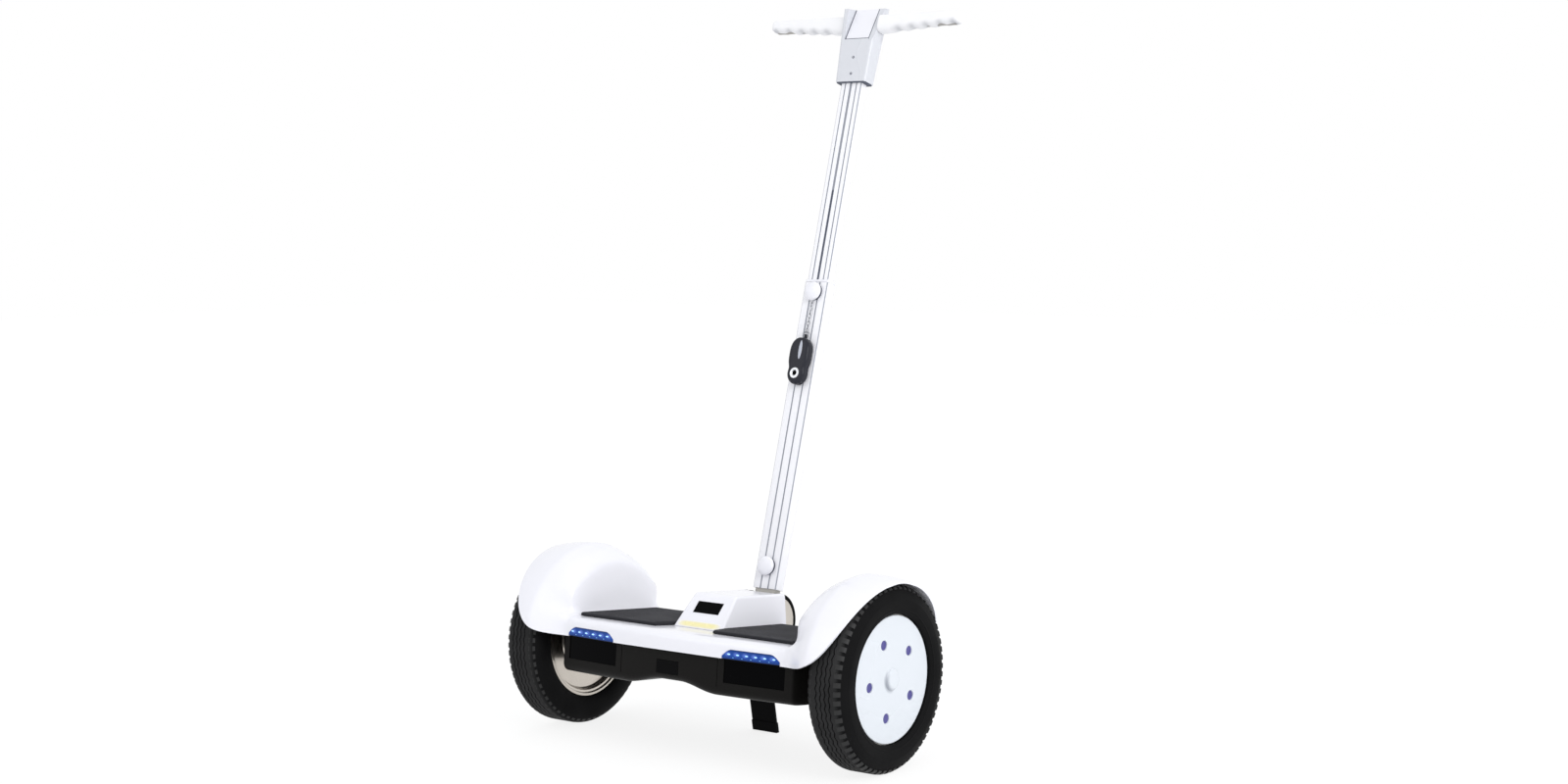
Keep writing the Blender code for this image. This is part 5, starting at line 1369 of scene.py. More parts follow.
def lens_ring(x, grow):
    side = abs(x)
    inset = min(side - LENS_INNER_X, LENS_OUTER_X - side)
    share = limited(inset / LENS_SHOULDER)
    foot = SKIRT_EDGE_Z - grow * LENS_CUT_REACH
    top = mix(SKIRT_EDGE_Z + LENS_END_HEIGHT, LENS_TOP, sin(share * pi / 2)) + grow
    face = -half_depth(side) - LENS_PROUD - grow * LENS_CUT_REACH
    back = -half_depth(side) + LENS_THICK + grow
    return [(x, face, foot), (x, back, foot), (x, back, top), (x, face, top)]


def lens_shape(side, grow):
    inner = refined([LENS_INNER_X + LENS_SHOULDER * share for share in (0, 0.25, 0.6, 1)], 3)
    outer = refined([LENS_OUTER_X - LENS_SHOULDER * share for share in (1, 0.6, 0.25, 0)], 3)
    stations = inner + refined([inner[-1], outer[0]], 8)[1:-1] + outer
    rings = [lens_ring(side * x, grow) for x in stations]
    if grow:
        rings = [[(x - side * grow, y, z) for x, y, z in rings[0]]] + rings
        rings += [[(x + side * grow, y, z) for x, y, z in rings[-1]]]
    return loft(rings)


def make_cover():
    stations = cover_stations()
    shape = walled([cover_row(x, 0) for x in stations], [cover_row(x, WALL) for x in stations])
    low = (-DECK_NOTCH_HALF, DECK_NOTCH_REAR, -DECK_TOP)
    notch = box(low, (DECK_NOTCH_HALF, DECK_HALF_DEPTH * 1.2, DECK_TOP * 1.5))
    cuts = [notch] + [lens_shape(side, GAP) for side, _ in SIDES]
    piece("top_cover_moulding", shape, DECK, "white", "deck", "top_cover", cuts=cuts, sharp=42)


def make_dots(side, word):
    """The rows of bright emissive dots on the face of one lens, which paint glints."""
    pitch = sizes().dot_pitch
    face = -DECK_HALF_DEPTH - LENS_PROUD
    for row, (share, half_wide, half_high, shift) in enumerate(DOT_ROWS):
        first = LENS_INNER_X + (0.8 + shift) * pitch
        count = int((LENS_OUTER_X - 0.6 * pitch - first) / pitch) + 1
        unit = ball((half_wide, DOT_RISE, half_high), 16, 8)
        values = {"Count": count, "Start": (side * first, face, mix(SKIRT_EDGE_Z, LENS_TOP, share)),
                  "Step": (side * pitch, 0, 0), "Turn": (0, 0, 0), "Bow": DECK_BOW / PAD_OUTER_X ** 2}
        repeated(f"lens_{word}_dots_{row}", unit, row_pattern, values, DECK, "glow", "deck")


def make_lights():
    for side, word in SIDES:
        piece(f"lens_{word}_glass", lens_shape(side, 0), DECK, "lens", "deck", f"lens_{word}",
              edge=0.5 * MM, sharp=40)
        make_dots(side, word)


# Lower shell

def belly_depth(x):
    side = abs(x)
    share = limited((side - ARCH_INNER_X) / (ARCH_OUTER_X - ARCH_INNER_X))
    depth = mix(BELLY_CENTRE, BELLY_SIDE, (1 - cos(pi * share)) / 2)
    out = limited((side - TUB_END_X) / (NECK_END_X - TUB_END_X))
    return depth + (BELLY_NECK - BELLY_SIDE) * ease(out)


def tub_half_depth(x):
    side = abs(x)
    deep = SHELL_HALF_DEPTH - DECK_BOW * (min(side, TUB_END_X) / PAD_OUTER_X) ** 2
    out = limited((side - TUB_END_X) / (NECK_END_X - TUB_END_X))
    return mix(deep, NECK_HALF_DEPTH, sin(out * pi / 2) ** 1.5)


def tub_ring(x, inset, top):
    deep = tub_half_depth(x) - inset
    low = -belly_depth(x) + inset
    radius = SHELL_CORNER - inset
    front = arc((deep - radius, low + radius), radius, 0, -90, 9)
    rear = [(-y, z) for y, z in front[::-1]]
    return [(x, y, z) for y, z in [(deep, top)] + front + rear + [(-deep, top)]]


def rear_band(first, last, low, high, inner, outer, parts=12):
    """A slab that follows the bowed rear wall, between two distances in from its face."""
    rings = []
    for x in refined([first, last], parts):
        face = -tub_half_depth(x)
        corners = ((outer, low), (inner, low), (inner, high), (outer, high))
        rings.append([(x, face + depth, z) for depth, z in corners])
    return loft(rings)


def shell_stations():
    """Places along the shell, closer together where its outline turns."""
    arch = [mix(ARCH_INNER_X, ARCH_OUTER_X, share) for share in (0, 0.2, 0.4, 0.6, 0.8, 1)]
    plain = [mix(ARCH_OUTER_X, TUB_END_X, share) for share in (1 / 3, 2 / 3, 1)]
    neck = [mix(TUB_END_X, NECK_END_X, share) for share in (0.12, 0.3, 0.55, 0.8, 1)]
    return both_sides(refined([0] + arch + plain + neck, 3))


def panel_band(side, inset, inner, outer):
    """A slab over the panel under one light, set in from the panel's edges."""
    low, high = ordered(side, *PANEL_X)
    foot, top = PANEL_Z
    return rear_band(low + inset, high - inset, foot + inset, top - inset, inner, outer)


def shell_cuts(side):
    """What one side of the shell loses: shaft hole, ear of the stand, light panel and seam."""
    shaft = rod((0, 0), SHAFT_HOLE, "X", *ordered(side, END_WALL_X - WALL, NECK_END_X + WALL))
    low, high = ordered(side, *STAND_EAR_X)
    ear = box((low, STAND_Y - STAND_EAR_REACH, -BELLY_SIDE - WALL),
              (high, STAND_Y + STAND_EAR_REACH, CHASSIS_FOOT))
    seam = rear_band(*ordered(side, SEAM_X, SEAM_X + SEAM_WIDTH), -BELLY_SIDE + SHELL_CORNER,
                     SHELL_TOP + WALL, SEAM_DEPTH, -WALL, parts=1)
    return [shaft, ear, panel_band(side, 0, PANEL_DEPTH, -WALL), seam]


def end_wall(side):
    """The wall that closes the cover's end, with sloped shoulders."""
    wide = half_depth(CAVITY_END_X) - 4 * WALL
    high = DECK_TOP - WALL - 3 * GAP
    foot = SHELL_TOP - WALL
    shoulder = 3 * WALL
    outline = [(-wide, foot), (wide, foot), (wide, high - shoulder), (wide - shoulder, high),
               (shoulder - wide, high), (-wide, high - shoulder)]
    return prism(outline, "X", *ordered(side, END_WALL_X, END_WALL_X + WALL))


def make_lower_shell():
    stations = shell_stations()
    inside = [-CAVITY_END_X] + [x for x in stations if abs(x) < CAVITY_END_X] + [CAVITY_END_X]
    hollow = loft([tub_ring(x, WALL, SHELL_TOP + 2 * WALL) for x in inside])
    flap = box((-FLAP_HALF_WIDTH - GAP, -SHELL_HALF_DEPTH * 1.1, FLAP_FOOT - GAP),
               (FLAP_HALF_WIDTH + GAP, -SHELL_HALF_DEPTH * 0.9, FLAP_TOP + GAP))
    front = tub_half_depth(BUTTON_X)
    button = rod((BUTTON_X, BUTTON_Z), BUTTON_RADIUS + GAP, "Y", front - 3 * WALL, front + WALL)
    name = "lower_shell_moulding"
    shell = linked(name, mesh_of(name, loft([tub_ring(x, 0, SHELL_TOP) for x in stations])))
    cut(shell, [hollow])
    cut(shell, [end_wall(side) for side, _ in SIDES], "UNION")
    cut(shell, [shape for side, _ in SIDES for shape in shell_cuts(side)] + [flap, button])
    rounded_edges(shell, 0.4 * MM, 40)
    finished(shell, DECK, "black", "deck", "lower_shell")
    for side, word in SIDES:
        panel = panel_band(side, GAP, PANEL_DEPTH - 0.05 * MM, PANEL_DEPTH - 0.6 * MM)
        piece(f"light_panel_{word}", panel, DECK, "gloss_black", "deck", edge=0.2 * MM, sharp=40)


def make_ports():
    dressed("port_plate", DECK, "gloss_black", 0.3 * MM)
    dressed("charge_socket", DECK, "black", 0.3 * MM)
    dressed("charge_flap", DECK, "rubber", 0.4 * MM)
    button = DECK @ at(BUTTON_X, tub_half_depth(BUTTON_X), BUTTON_Z)
    dressed("power_button", button, "gloss_black", 0.3 * MM)


# Foot pads

def make_pads():
    low = DECK_TOP + GAP
    rib_height = sizes().rib_height
    plate_top = low + PAD_THICK - rib_height
    half = sizes().rib_width / 2
    crest = half * 0.45
    section = [(-half, -RIB_SUNK), (half, -RIB_SUNK), (crest, rib_height), (-crest, rib_height)]
    unit = prism(section, "X", -0.5, 0.5)
    count = int((PAD_FRONT - PAD_REAR - 2 * RIB_MARGIN) / sizes().rib_pitch) + 1
    corners = [(PAD_CHAMFER_X, PAD_REAR), (PAD_OUTER_X, PAD_REAR), (PAD_OUTER_X, PAD_FRONT),
               (PAD_INNER_X, PAD_FRONT), (PAD_INNER_X, PAD_CHAMFER_Y)]
    for side, word in SIDES:
        plate = prism([(side * x, y) for x, y in corners], "Z", low, plate_top)
        piece(f"footpad_{word}_plate", plate, DECK, "pad", "deck", f"footpad_{word}", edge=0.7 * MM, sharp=30)
        values = {"Count": count, "Rear": PAD_REAR + RIB_MARGIN, "Pitch": sizes().rib_pitch,
                  "Height": plate_top, "Inner": PAD_INNER_X + RIB_MARGIN, "Outer": PAD_OUTER_X - RIB_MARGIN,
                  "Chamfer": PAD_CHAMFER_X + RIB_MARGIN, "Chamfer end": PAD_CHAMFER_Y, "Side": float(side)}
        repeated(f"footpad_{word}_ribs", unit, rib_pattern, values, DECK, "pad", "deck", sharp=60)


# Console hood

def hood_ring(z, inset, front):
    share = (z - DECK_TOP - GAP) / (HOOD_TOP - DECK_TOP - GAP)
    half = mix(HOOD_FOOT_HALF, HOOD_TOP_HALF, share) - inset
    rear = mix(HOOD_FOOT_REAR, HOOD_TOP_REAR, share) + inset / sin(HOOD_SLOPE)
    radius = max(HOOD_ROUND - inset, 0.5 * MM)
    left = arc((radius - half, rear + radius), radius, 180, 270, 8)
    right = [(-x, y) for x, y in left[::-1]]
    return [(x, y, z) for x, y in [(-half, front)] + left + right + [(half, front)]]


def window_box(inset, low, high):
    """A block over the hood's window, set in from its edges."""
    half = WINDOW_HALF_WIDTH - inset
    return box((-half, WINDOW_LOW + inset, low), (half, WINDOW_HIGH - inset, high))


def plaque(half_width, low, high, grow, radius):
    """A rounded rectangle on the hood's slope, grown past its edges."""
    middle = (high + low) / 2
    return [(x, y + middle) for x, y in rounded(half_width + grow, (high - low) / 2 + grow, radius)]


def make_hood():
    foot = DECK_TOP + GAP
    rings = [hood_ring(foot, 0, HOOD_FRONT)]
    for step in range(9):
        turn = pi / 2 * step / 8
        height = HOOD_TOP - HOOD_ROUND * (1 - sin(turn))
        rings.append(hood_ring(height, HOOD_ROUND * (1 - cos(turn)), HOOD_FRONT))
    ahead = HOOD_FRONT + HOOD_WALL
    hollow = loft([hood_ring(z, HOOD_WALL, ahead) for z in (foot - HOOD_WALL, HOOD_TOP - HOOD_WALL)])
    side = EAR_INNER_X + EAR_THICK + 4 * GAP
    notch = box((-side, HOOD_NOTCH_REAR, HOOD_TOP - 3 * HOOD_WALL), (side, ahead, HOOD_TOP + HOOD_WALL))
    opening = moved(window_box(0, -2 * HOOD_WALL, HOOD_WALL), DECK.inverted() @ SLOPE)
    piece("console_hood_moulding", loft(rings), DECK, "white", "deck", "console_hood",
          cuts=(hollow, notch, opening), edge=0.4 * MM, sharp=40)


def make_window():
    """The dark glass, with a narrow white border round it."""
    piece("display_window_glass", window_box(GAP, -HOOD_WALL, -GAP), SLOPE, "gloss_black", "deck",
          "display_window", edge=0.25 * MM)
    border = plaque(WINDOW_HALF_WIDTH, WINDOW_LOW, WINDOW_HIGH, WINDOW_BORDER, 1.2 * MM)
    piece("window_border", prism(border, "Z", -0.1 * MM, 0.35 * MM), SLOPE, "white", "deck",
          cuts=(window_box(0.5 * MM, -WALL, WALL),), edge=0.15 * MM)


def make_strip():
    strip = plaque(STRIP_HALF_WIDTH, STRIP_LOW, STRIP_HIGH, 0, 4 * MM)
    piece("hood_strip", prism(strip, "Z", -0.1 * MM, 0.12 * MM), SLOPE, "strip", "deck")


# Fold hinge

def make_ear(side, word):
    """The bright disc on one ear of the hinge, and the guard round it."""
    outer = EAR_INNER_X + EAR_THICK
    hole = BOLT_HEAD_RADIUS + 1 * MM
    rim = EAR_RADIUS - 1.2 * MM
    disc = [(outer + 0.05 * MM, hole), (outer + 0.05 * MM, rim), (outer + 0.5 * MM, rim),
            (outer + 0.8 * MM, EAR_RADIUS - 1.8 * MM), (outer + 0.8 * MM, BOLT_HEAD_RADIUS + 2.6 * MM),
            (outer + 0.4 * MM, hole)]
    piece(f"hinge_disc_{word}", turned(mirrored(disc, side), "X", 96), HINGE, "disc", "deck")
    inner = EAR_RADIUS + GAP
    guard = arc((0, 0), inner + GUARD_WIDTH, -30, 210, 60) + arc((0, 0), inner, 210, -30, 60)
    guard = prism(guard, "X", *ordered(side, EAR_INNER_X, outer + 0.6 * MM))
    piece(f"hinge_guard_{word}_rounded", guard, HINGE, "rubber", "deck", f"hinge_guard_{word}",
          edge=1.2 * MM)


def make_bolt():
    """The hinge's bolt, with a head and a six-sided socket at both ends."""
    head = EAR_INNER_X + EAR_THICK + GAP
    tip = head + BOLT_HEAD_THICK
    edge = 0.8 * MM
    shaft = [(-tip, 0), (-tip, BOLT_HEAD_RADIUS - edge), (edge - tip, BOLT_HEAD_RADIUS),
             (-head, BOLT_HEAD_RADIUS), (-head, BOLT_RADIUS)]
    profile = shaft + mirrored(shaft[::-1], -1)
    hexagon = circle((0, 0), 4 * MM, 6)
    sockets = [prism(hexagon, "X", *ordered(side, tip - 2.4 * MM, tip + WALL)) for side, _ in SIDES]
    piece("hinge_bolt_turned", turned(profile, "X", 48), HINGE, "bolt", "deck", "hinge_bolt",
          cuts=sockets, edge=0.2 * MM)


def make_hinge():
    dressed("hinge_bracket", HINGE, "disc", 0.5 * MM)
    for side, word in SIDES:
        make_ear(side, word)
    make_bolt()
    dressed("fold_hub", POLE, "steel", 0.4 * MM)
    dressed("lean_pin", POLE, "bolt", 0.2 * MM)


# Wheels

def tyre_side(bead, bulge, tread, foot, top, steps, slim=1.0):
    """Half of the tyre's section, from its bead to its tread. A slim above 1 flattens the shoulder."""
    middle = mix(foot, top, TYRE_WIDEST)
    points = []
    for step in range(steps + 1):
        turn = pi / 2 * step / steps
        points.append((mix(bead, bulge, sin(turn)), mix(foot, middle, 1 - cos(turn))))
    for step in range(1, steps + 1):
        turn = pi / 2 * step / steps
        points.append((mix(tread, bulge, max(cos(turn), 0) ** slim),
                       mix(middle, top, sin(turn) ** slim)))
    return points


def ridged(points, radii, rise):
    """The section with a thin raised line at each of the radii."""
    near = [min(abs(r - radius) for radius in radii) / TYRE_LINE_HALF for _, r in points]
    return [(u + rise * max(0, 1 - share), r) for (u, r), share in zip(points, near)]


def tread_points():
    """The tread's section with its grooves, as (along, radius, share of the sway)."""
    half = sizes().groove_width / 2
    floor = WHEEL_RADIUS - sizes().groove_depth
    points = []
    for centre in GROOVE_PLACES:
        points += [(centre - half, WHEEL_RADIUS, 1), (centre - half * 0.7, floor, 1),
                   (centre + half * 0.7, floor, 1), (centre + half, WHEEL_RADIUS, 1)]
    return points


def make_tyre(side, word, place):
    """A hollow tyre, with zigzag grooves in its tread."""
    inboard = tyre_side(BEAD_HALF_WIDTH, TYRE_HALF_WIDTH, TREAD_HALF_WIDTH, BEAD_RADIUS, WHEEL_RADIUS, 9)
    outer = tyre_side(BEAD_HALF_WIDTH, TYRE_HALF_WIDTH - TYRE_SLIM, TREAD_HALF_WIDTH - TYRE_SLIM,
                      BEAD_RADIUS, WHEEL_RADIUS, 24, 1.2)
    outer = ridged(outer, TYRE_LINES, 0.6 * MM)
    inner = tyre_side(BEAD_HALF_WIDTH - TYRE_WALL, TYRE_HALF_WIDTH - TYRE_WALL,
                      TREAD_HALF_WIDTH - TYRE_WALL / 2, BEAD_RADIUS, WHEEL_RADIUS - TYRE_WALL - GAP, 4)
    profile = [(-u, r, 0) for u, r in inboard] + tread_points() + [(u, r, 0) for u, r in outer[::-1]]
    profile += [(u, r, 0) for u, r in inner] + [(-u, r, 0) for u, r in inner[::-1]]
    steps = 4 * sizes().groove_turns
    rings = []
    for step in range(steps):
        angle = TAU * (step + 0.5) / steps
        zigzag = (1, 0, -1, 0)[step % 4] * sizes().groove_sway
        rings.append([(side * (u + sway * zigzag), r * cos(angle), r * sin(angle))
                      for u, r, sway in profile])
    piece(f"tyre_{word}_rubber", looped(rings), place, "tyre", f"wheel_{word}", f"tyre_{word}", sharp=38)


def lug_section(sign, slim):
    """A block's outline on one shoulder: its face, and its foot sunk into the tyre."""
    middle = mix(BEAD_RADIUS, WHEEL_RADIUS, TYRE_WIDEST)
    high = LUG_HEIGHT
    start = TREAD_HALF_WIDTH - slim
    bulge = TYRE_HALF_WIDTH - TREAD_HALF_WIDTH
    section = []
    for reach, lift in ((84, 0.2), (80, 1), (56, 1), (48, 0.2)):
        turn = radians(reach)
        radius = middle + (WHEEL_RADIUS - middle - 0.15 * MM + high * lift * 0.15) * sin(turn)
        section.append((sign * (start + (bulge + high * lift) * cos(turn)), radius))
    for reach in (48, 84):
        turn = radians(reach)
        radius = middle + (WHEEL_RADIUS - middle - 2 * high) * sin(turn)
        section.append((sign * (start + (bulge - 2 * high) * cos(turn)), radius))
    return section


def make_lugs(side, word, place):
    """Raised blocks on the tyre's outer and inner shoulders."""
    half = pi * WHEEL_RADIUS / sizes().lug_count * 0.55
    unit = []
    for sign, slim in ((side, TYRE_SLIM), (-side, 0)):
        section = lug_section(sign, slim)
        rings = [[(along, radius, across) for along, radius in section] for across in (-half, half)]
        unit.append(loft(rings))
    values = {"Count": sizes().lug_count, "Radius": 0.0, "First angle": 0.0}
    # The blocks take a lighter copy of the tyre rubber, as a painted highlight.
    repeated(f"tyre_{word}_lugs", together(*unit), ring_pattern, values, place, "lug", f"wheel_{word}",
             sharp=30)


def rim_profile():
    """The rim's section, from its rolled inboard lip over the web to the drum round the motor."""
    seat = BEAD_RADIUS - GAP
    inboard = -RIM_INBOARD
    web = -RIM_WEB_FACE
    lip = [(inboard + 1.2 * MM, seat), (inboard + 0.3 * MM, seat - 0.4 * MM), (inboard, seat - 1.2 * MM),
           (inboard, seat - 3.6 * MM), (inboard + 0.6 * MM, seat - 4.6 * MM),
           (inboard + 2.6 * MM, seat - 5.4 * MM), (inboard + 3 * MM, seat - 8 * MM),
           (inboard + 4.6 * MM, seat - 8.6 * MM), (web - 1.5 * MM, seat - 10.4 * MM), (web, seat - 12 * MM)]
    ridge = [(web, 52 * MM), (web - 1.6 * MM, 50 * MM), (web - 1.6 * MM, 30 * MM), (web, 28 * MM)]
    drum = [(web, BEARING_HOLE), (-RIM_WEB_INNER, BEARING_HOLE), (-RIM_WEB_INNER, RIM_DRUM_RADIUS),
            (MOTOR_FACE, RIM_DRUM_RADIUS), (MOTOR_FACE, seat)]
    return lip + ridge + drum


def hubcap_profile(face):
    """The hubcap's section, with a soft edge and a domed boss."""
    edge = 1.4 * MM
    rise = 2.2 * MM
    soft = 4 * MM
    cap = [(HUB_FACE, 0), (HUB_FACE, HUBCAP_RADIUS)]
    cap += [(face - edge + edge * sin(turn), HUBCAP_RADIUS - edge + edge * cos(turn))
            for turn in (0, 0.4, 0.8, 1.2, pi / 2)]
    cap += [(face, HUBCAP_BOSS_RADIUS + 1.2 * MM), (face + 0.2 * MM, HUBCAP_BOSS_RADIUS + 0.4 * MM)]
    for step in range(8):
        turn = pi / 2 * step / 7
        cap.append((face + HUBCAP_BOSS_RISE - rise + rise * sin(turn),
                    HUBCAP_BOSS_RADIUS - soft + soft * cos(turn)))
    return cap + [(face + HUBCAP_BOSS_RISE, 0)]


def make_hubcap(side, word, place):
    """The white cap, and the coloured dishes in its recesses."""
    body = f"wheel_{word}"
    face = HUB_FACE + HUBCAP_THICK
    cuts = []
    for number in range(RECESS_COUNT):
        turn = RECESS_FIRST_ANGLE + TAU * number / RECESS_COUNT
        centre = (RECESS_PITCH_RADIUS * cos(turn), RECESS_PITCH_RADIUS * sin(turn))
        cuts.append(rod(centre, RECESS_RADIUS, "X", *ordered(side, face - RECESS_DEPTH, face + RECESS_DEPTH)))
    cap = turned(mirrored(hubcap_profile(face), side), "X", 96)
    piece(f"hubcap_{word}_moulding", cap, place, "hubcap", body, f"hubcap_{word}", cuts=cuts,
          edge=0.35 * MM, sharp=40)
    floor = face - RECESS_DEPTH + 0.05 * MM
    dish = [(floor, 0), (floor, RECESS_RADIUS - 0.4 * MM), (floor + 0.5 * MM, RECESS_RADIUS - 0.9 * MM),
            (floor + 0.3 * MM, RECESS_RADIUS * 0.5), (floor + 0.25 * MM, 0)]
    values = {"Count": RECESS_COUNT, "Radius": RECESS_PITCH_RADIUS, "First angle": RECESS_FIRST_ANGLE}
    repeated(f"hubcap_{word}_recesses", turned(mirrored(dish, side), "X", 32), ring_pattern, values, place,
             "recess", body)


def make_valve(side, word, place):
    """The tyre's valve, on the rim's inboard side."""
    angle = Matrix.Rotation(VALVE_ANGLE, 4, "X")
    spot = at(-side * VALVE_X, 0, 0) @ angle @ at(0, 0, VALVE_FOOT)
    piece(f"tyre_valve_{word}", moved(turned(VALVE_PROFILE, "Z", 20), spot), place, "rubber", f"wheel_{word}")


def make_wheels():
    for side, word in SIDES:
        place = at(side * HUB.x, HUB.y, HUB.z)
        make_tyre(side, word, place)
        make_lugs(side, word, place)
        piece(f"rim_{word}_turned", turned(mirrored(rim_profile(), side), "X", 128), place, "rim",
              f"wheel_{word}", f"rim_{word}", sharp=28)
        dressed(f"motor_cover_{word}", place, "steel", 0.4 * MM, sharp=40)
        make_hubcap(side, word, place)
        make_valve(side, word, place)


# Pole

def grooved(half_width, half_thick, grooves):
    """A rounded rectangle with grooves, each (x, width, depth), in its rear and front faces."""
    outline = []
    for quarter, (across, along) in enumerate(QUARTERS):
        corner = (across * (half_width - TUBE_CORNER), along * (half_thick - TUBE_CORNER))
        outline += arc(corner, TUBE_CORNER, 90 * quarter, 90 * quarter + 90, 8)
        if quarter in (0, 2):
            for x, width, depth in sorted(grooves, reverse=across > 0):
                near, far = x + across * width / 2, x - across * width / 2
                face = along * half_thick
                floor = along * (half_thick - depth)
                outline += [(near, face), (near, floor), (far, floor), (far, face)]
    return outline


def tube_block(half, grow, low, high):
    """A block with a tube's section, grown on all four sides."""
    return box((-half[0] - grow, -half[1] - grow, low), (half[0] + grow, half[1] + grow, high))


def make_pole():
    rear = -LOWER_HALF[1]
    cuts = [tube_block(LOWER_HALF, -LOWER_WALL, LOWER_FOOT - WALL, LOWER_TOP + WALL)]
    for height in KNOB_HEIGHTS.values():
        cuts.append(rod((0, height), KNOB_SHANK_RADIUS + GAP, "Y", rear - WALL, rear + LOWER_WALL + WALL / 2))
    grooves = [(x, GROOVE_WIDTH, GROOVE_DEPTH) for x in (LOWER_WIDTH / 6, -LOWER_WIDTH / 6)]
    piece("lower_tube_drawn", prism(grooved(*LOWER_HALF, grooves), "Z", LOWER_FOOT, LOWER_TOP), POLE,
          "lower_paint", "pole", "lower_tube", cuts=cuts)
    grooves = [(x, UPPER_GROOVE_WIDTH, GROOVE_DEPTH) for x in (UPPER_GROOVE_X, -UPPER_GROOVE_X)]
    grooves.append((0, SLOT_WIDTH, SLOT_DEPTH))
    bore = tube_block(UPPER_HALF, -UPPER_WALL, UPPER_FOOT - WALL, UPPER_TOP + WALL)
    piece("upper_tube_drawn", prism(grooved(*UPPER_HALF, grooves), "Z", UPPER_FOOT, UPPER_TOP), POLE,
          "upper_paint", "upper_pole", "upper_tube", cuts=(bore,))
    # A dark strip on the slot's floor: painted shade in the slot.
    half = SLOT_WIDTH / 2 - 0.3 * MM
    face = -UPPER_HALF[1] + SLOT_DEPTH
    slot = box((-half, face - 0.25 * MM, UPPER_FOOT + WALL), (half, face, SLOT_TOP))
    piece("slot_liner", slot, POLE, "seam", "upper_pole", edge=0.08 * MM)
    foot = LOWER_TOP + GAP
    top = foot + COLLAR_LENGTH
    piece("guide_bush_moulding", prism(rounded(*LOWER_HALF, TUBE_CORNER, 8), "Z", foot, top), POLE, "white",
          "pole", "guide_bush", cuts=(tube_block(UPPER_HALF, GAP, foot - WALL, top + WALL),),
          edge=0.4 * MM, sharp=40)
    dressed("pole_root", POLE, "steel", 0.4 * MM)
    dressed("centring_bush", POLE, "rubber", 0.2 * MM)


def knob_profile():
    """A thin shank, then a domed knob with a soft edge, outward against the Y axis."""
    inner = -KNOB_STANDOFF
    outer = inner - KNOB_THICK
    dome = KNOB_THICK - 2 * MM
    profile = [(KNOB_SHANK_REACH, 0), (KNOB_SHANK_REACH, KNOB_SHANK_RADIUS), (inner, KNOB_SHANK_RADIUS),
               (inner, KNOB_RADIUS - 1.4 * MM), (inner - 0.3 * MM, KNOB_RADIUS - 0.5 * MM),
               (inner - 1.1 * MM, KNOB_RADIUS)]
    for step in range(12):
        turn = pi / 2 * step / 12
        profile.append((outer + dome * (1 - sin(turn)), KNOB_RADIUS * cos(turn) ** 0.8))
    return profile + [(outer, 0)]


def make_knobs():
    radius = KNOB_RADIUS - 1 * MM
    # A dark disc on the tube behind each knob: a painted shadow.
    shadow_disc = [(0.05 * MM, 0), (0.05 * MM, radius), (-0.35 * MM, radius), (-0.35 * MM, 0)]
    for word, height in KNOB_HEIGHTS.items():
        place = POLE @ at(0, TUBE_FACE, height)
        piece(f"clamp_knob_{word}_moulding", turned(knob_profile(), "Y", 64), place, "white",
              f"knob_{word}", f"clamp_knob_{word}", sharp=40)
        shank = rod((0, 0), KNOB_SHANK_RADIUS + GAP, "Y", -WALL, WALL)
        piece(f"knob_{word}_washer", turned(shadow_disc, "Y", 48), place, "seam", "pole", cuts=(shank,))


# Key fob

def fob_half(share):
    """The fob's half width, by its share of the way down: round top, waist, round bulb."""
    top = max(1 - abs((share - 0.37) / 0.372) ** 3, 0) ** 0.5
    bulb = 0.87 * sqrt(max(1 - ((share - 0.77) / 0.2301) ** 2, 0))
    power = 7
    return FOB_WIDTH / 2 * (top ** power + bulb ** power) ** (1 / power)


def wire_ring(centre, radius, wire):
    """A closed ring that faces along Y."""
    profile = [(centre[1] + along, radius + across) for across, along in circle((0, 0), wire, 10)]
    return turned(profile, "Y", 40, (centre[0], centre[2]))


def link_shape():
    """One oval link of round wire, upright in the XZ plane."""
    half = LINK_LENGTH / 2 - LINK_WIDTH / 2
    radius = LINK_WIDTH / 2 - LINK_WIRE
    path = [(x, z + half) for x, z in arc((0, 0), radius, 0, 180, 6)]
    path += [(x, z - half) for x, z in arc((0, 0), radius, 180, 360, 6)]
    rings = []
    for x, z in path:
        out = Vector((x, 0, z - copysign(half, z))).normalized()
        ring = []
        for step in range(6):
            angle = TAU * step / 6
            ring.append((x + out.x * LINK_WIRE * cos(angle), LINK_WIRE * sin(angle),
                         z + out.z * LINK_WIRE * cos(angle)))
        rings.append(ring)
    return looped(rings)


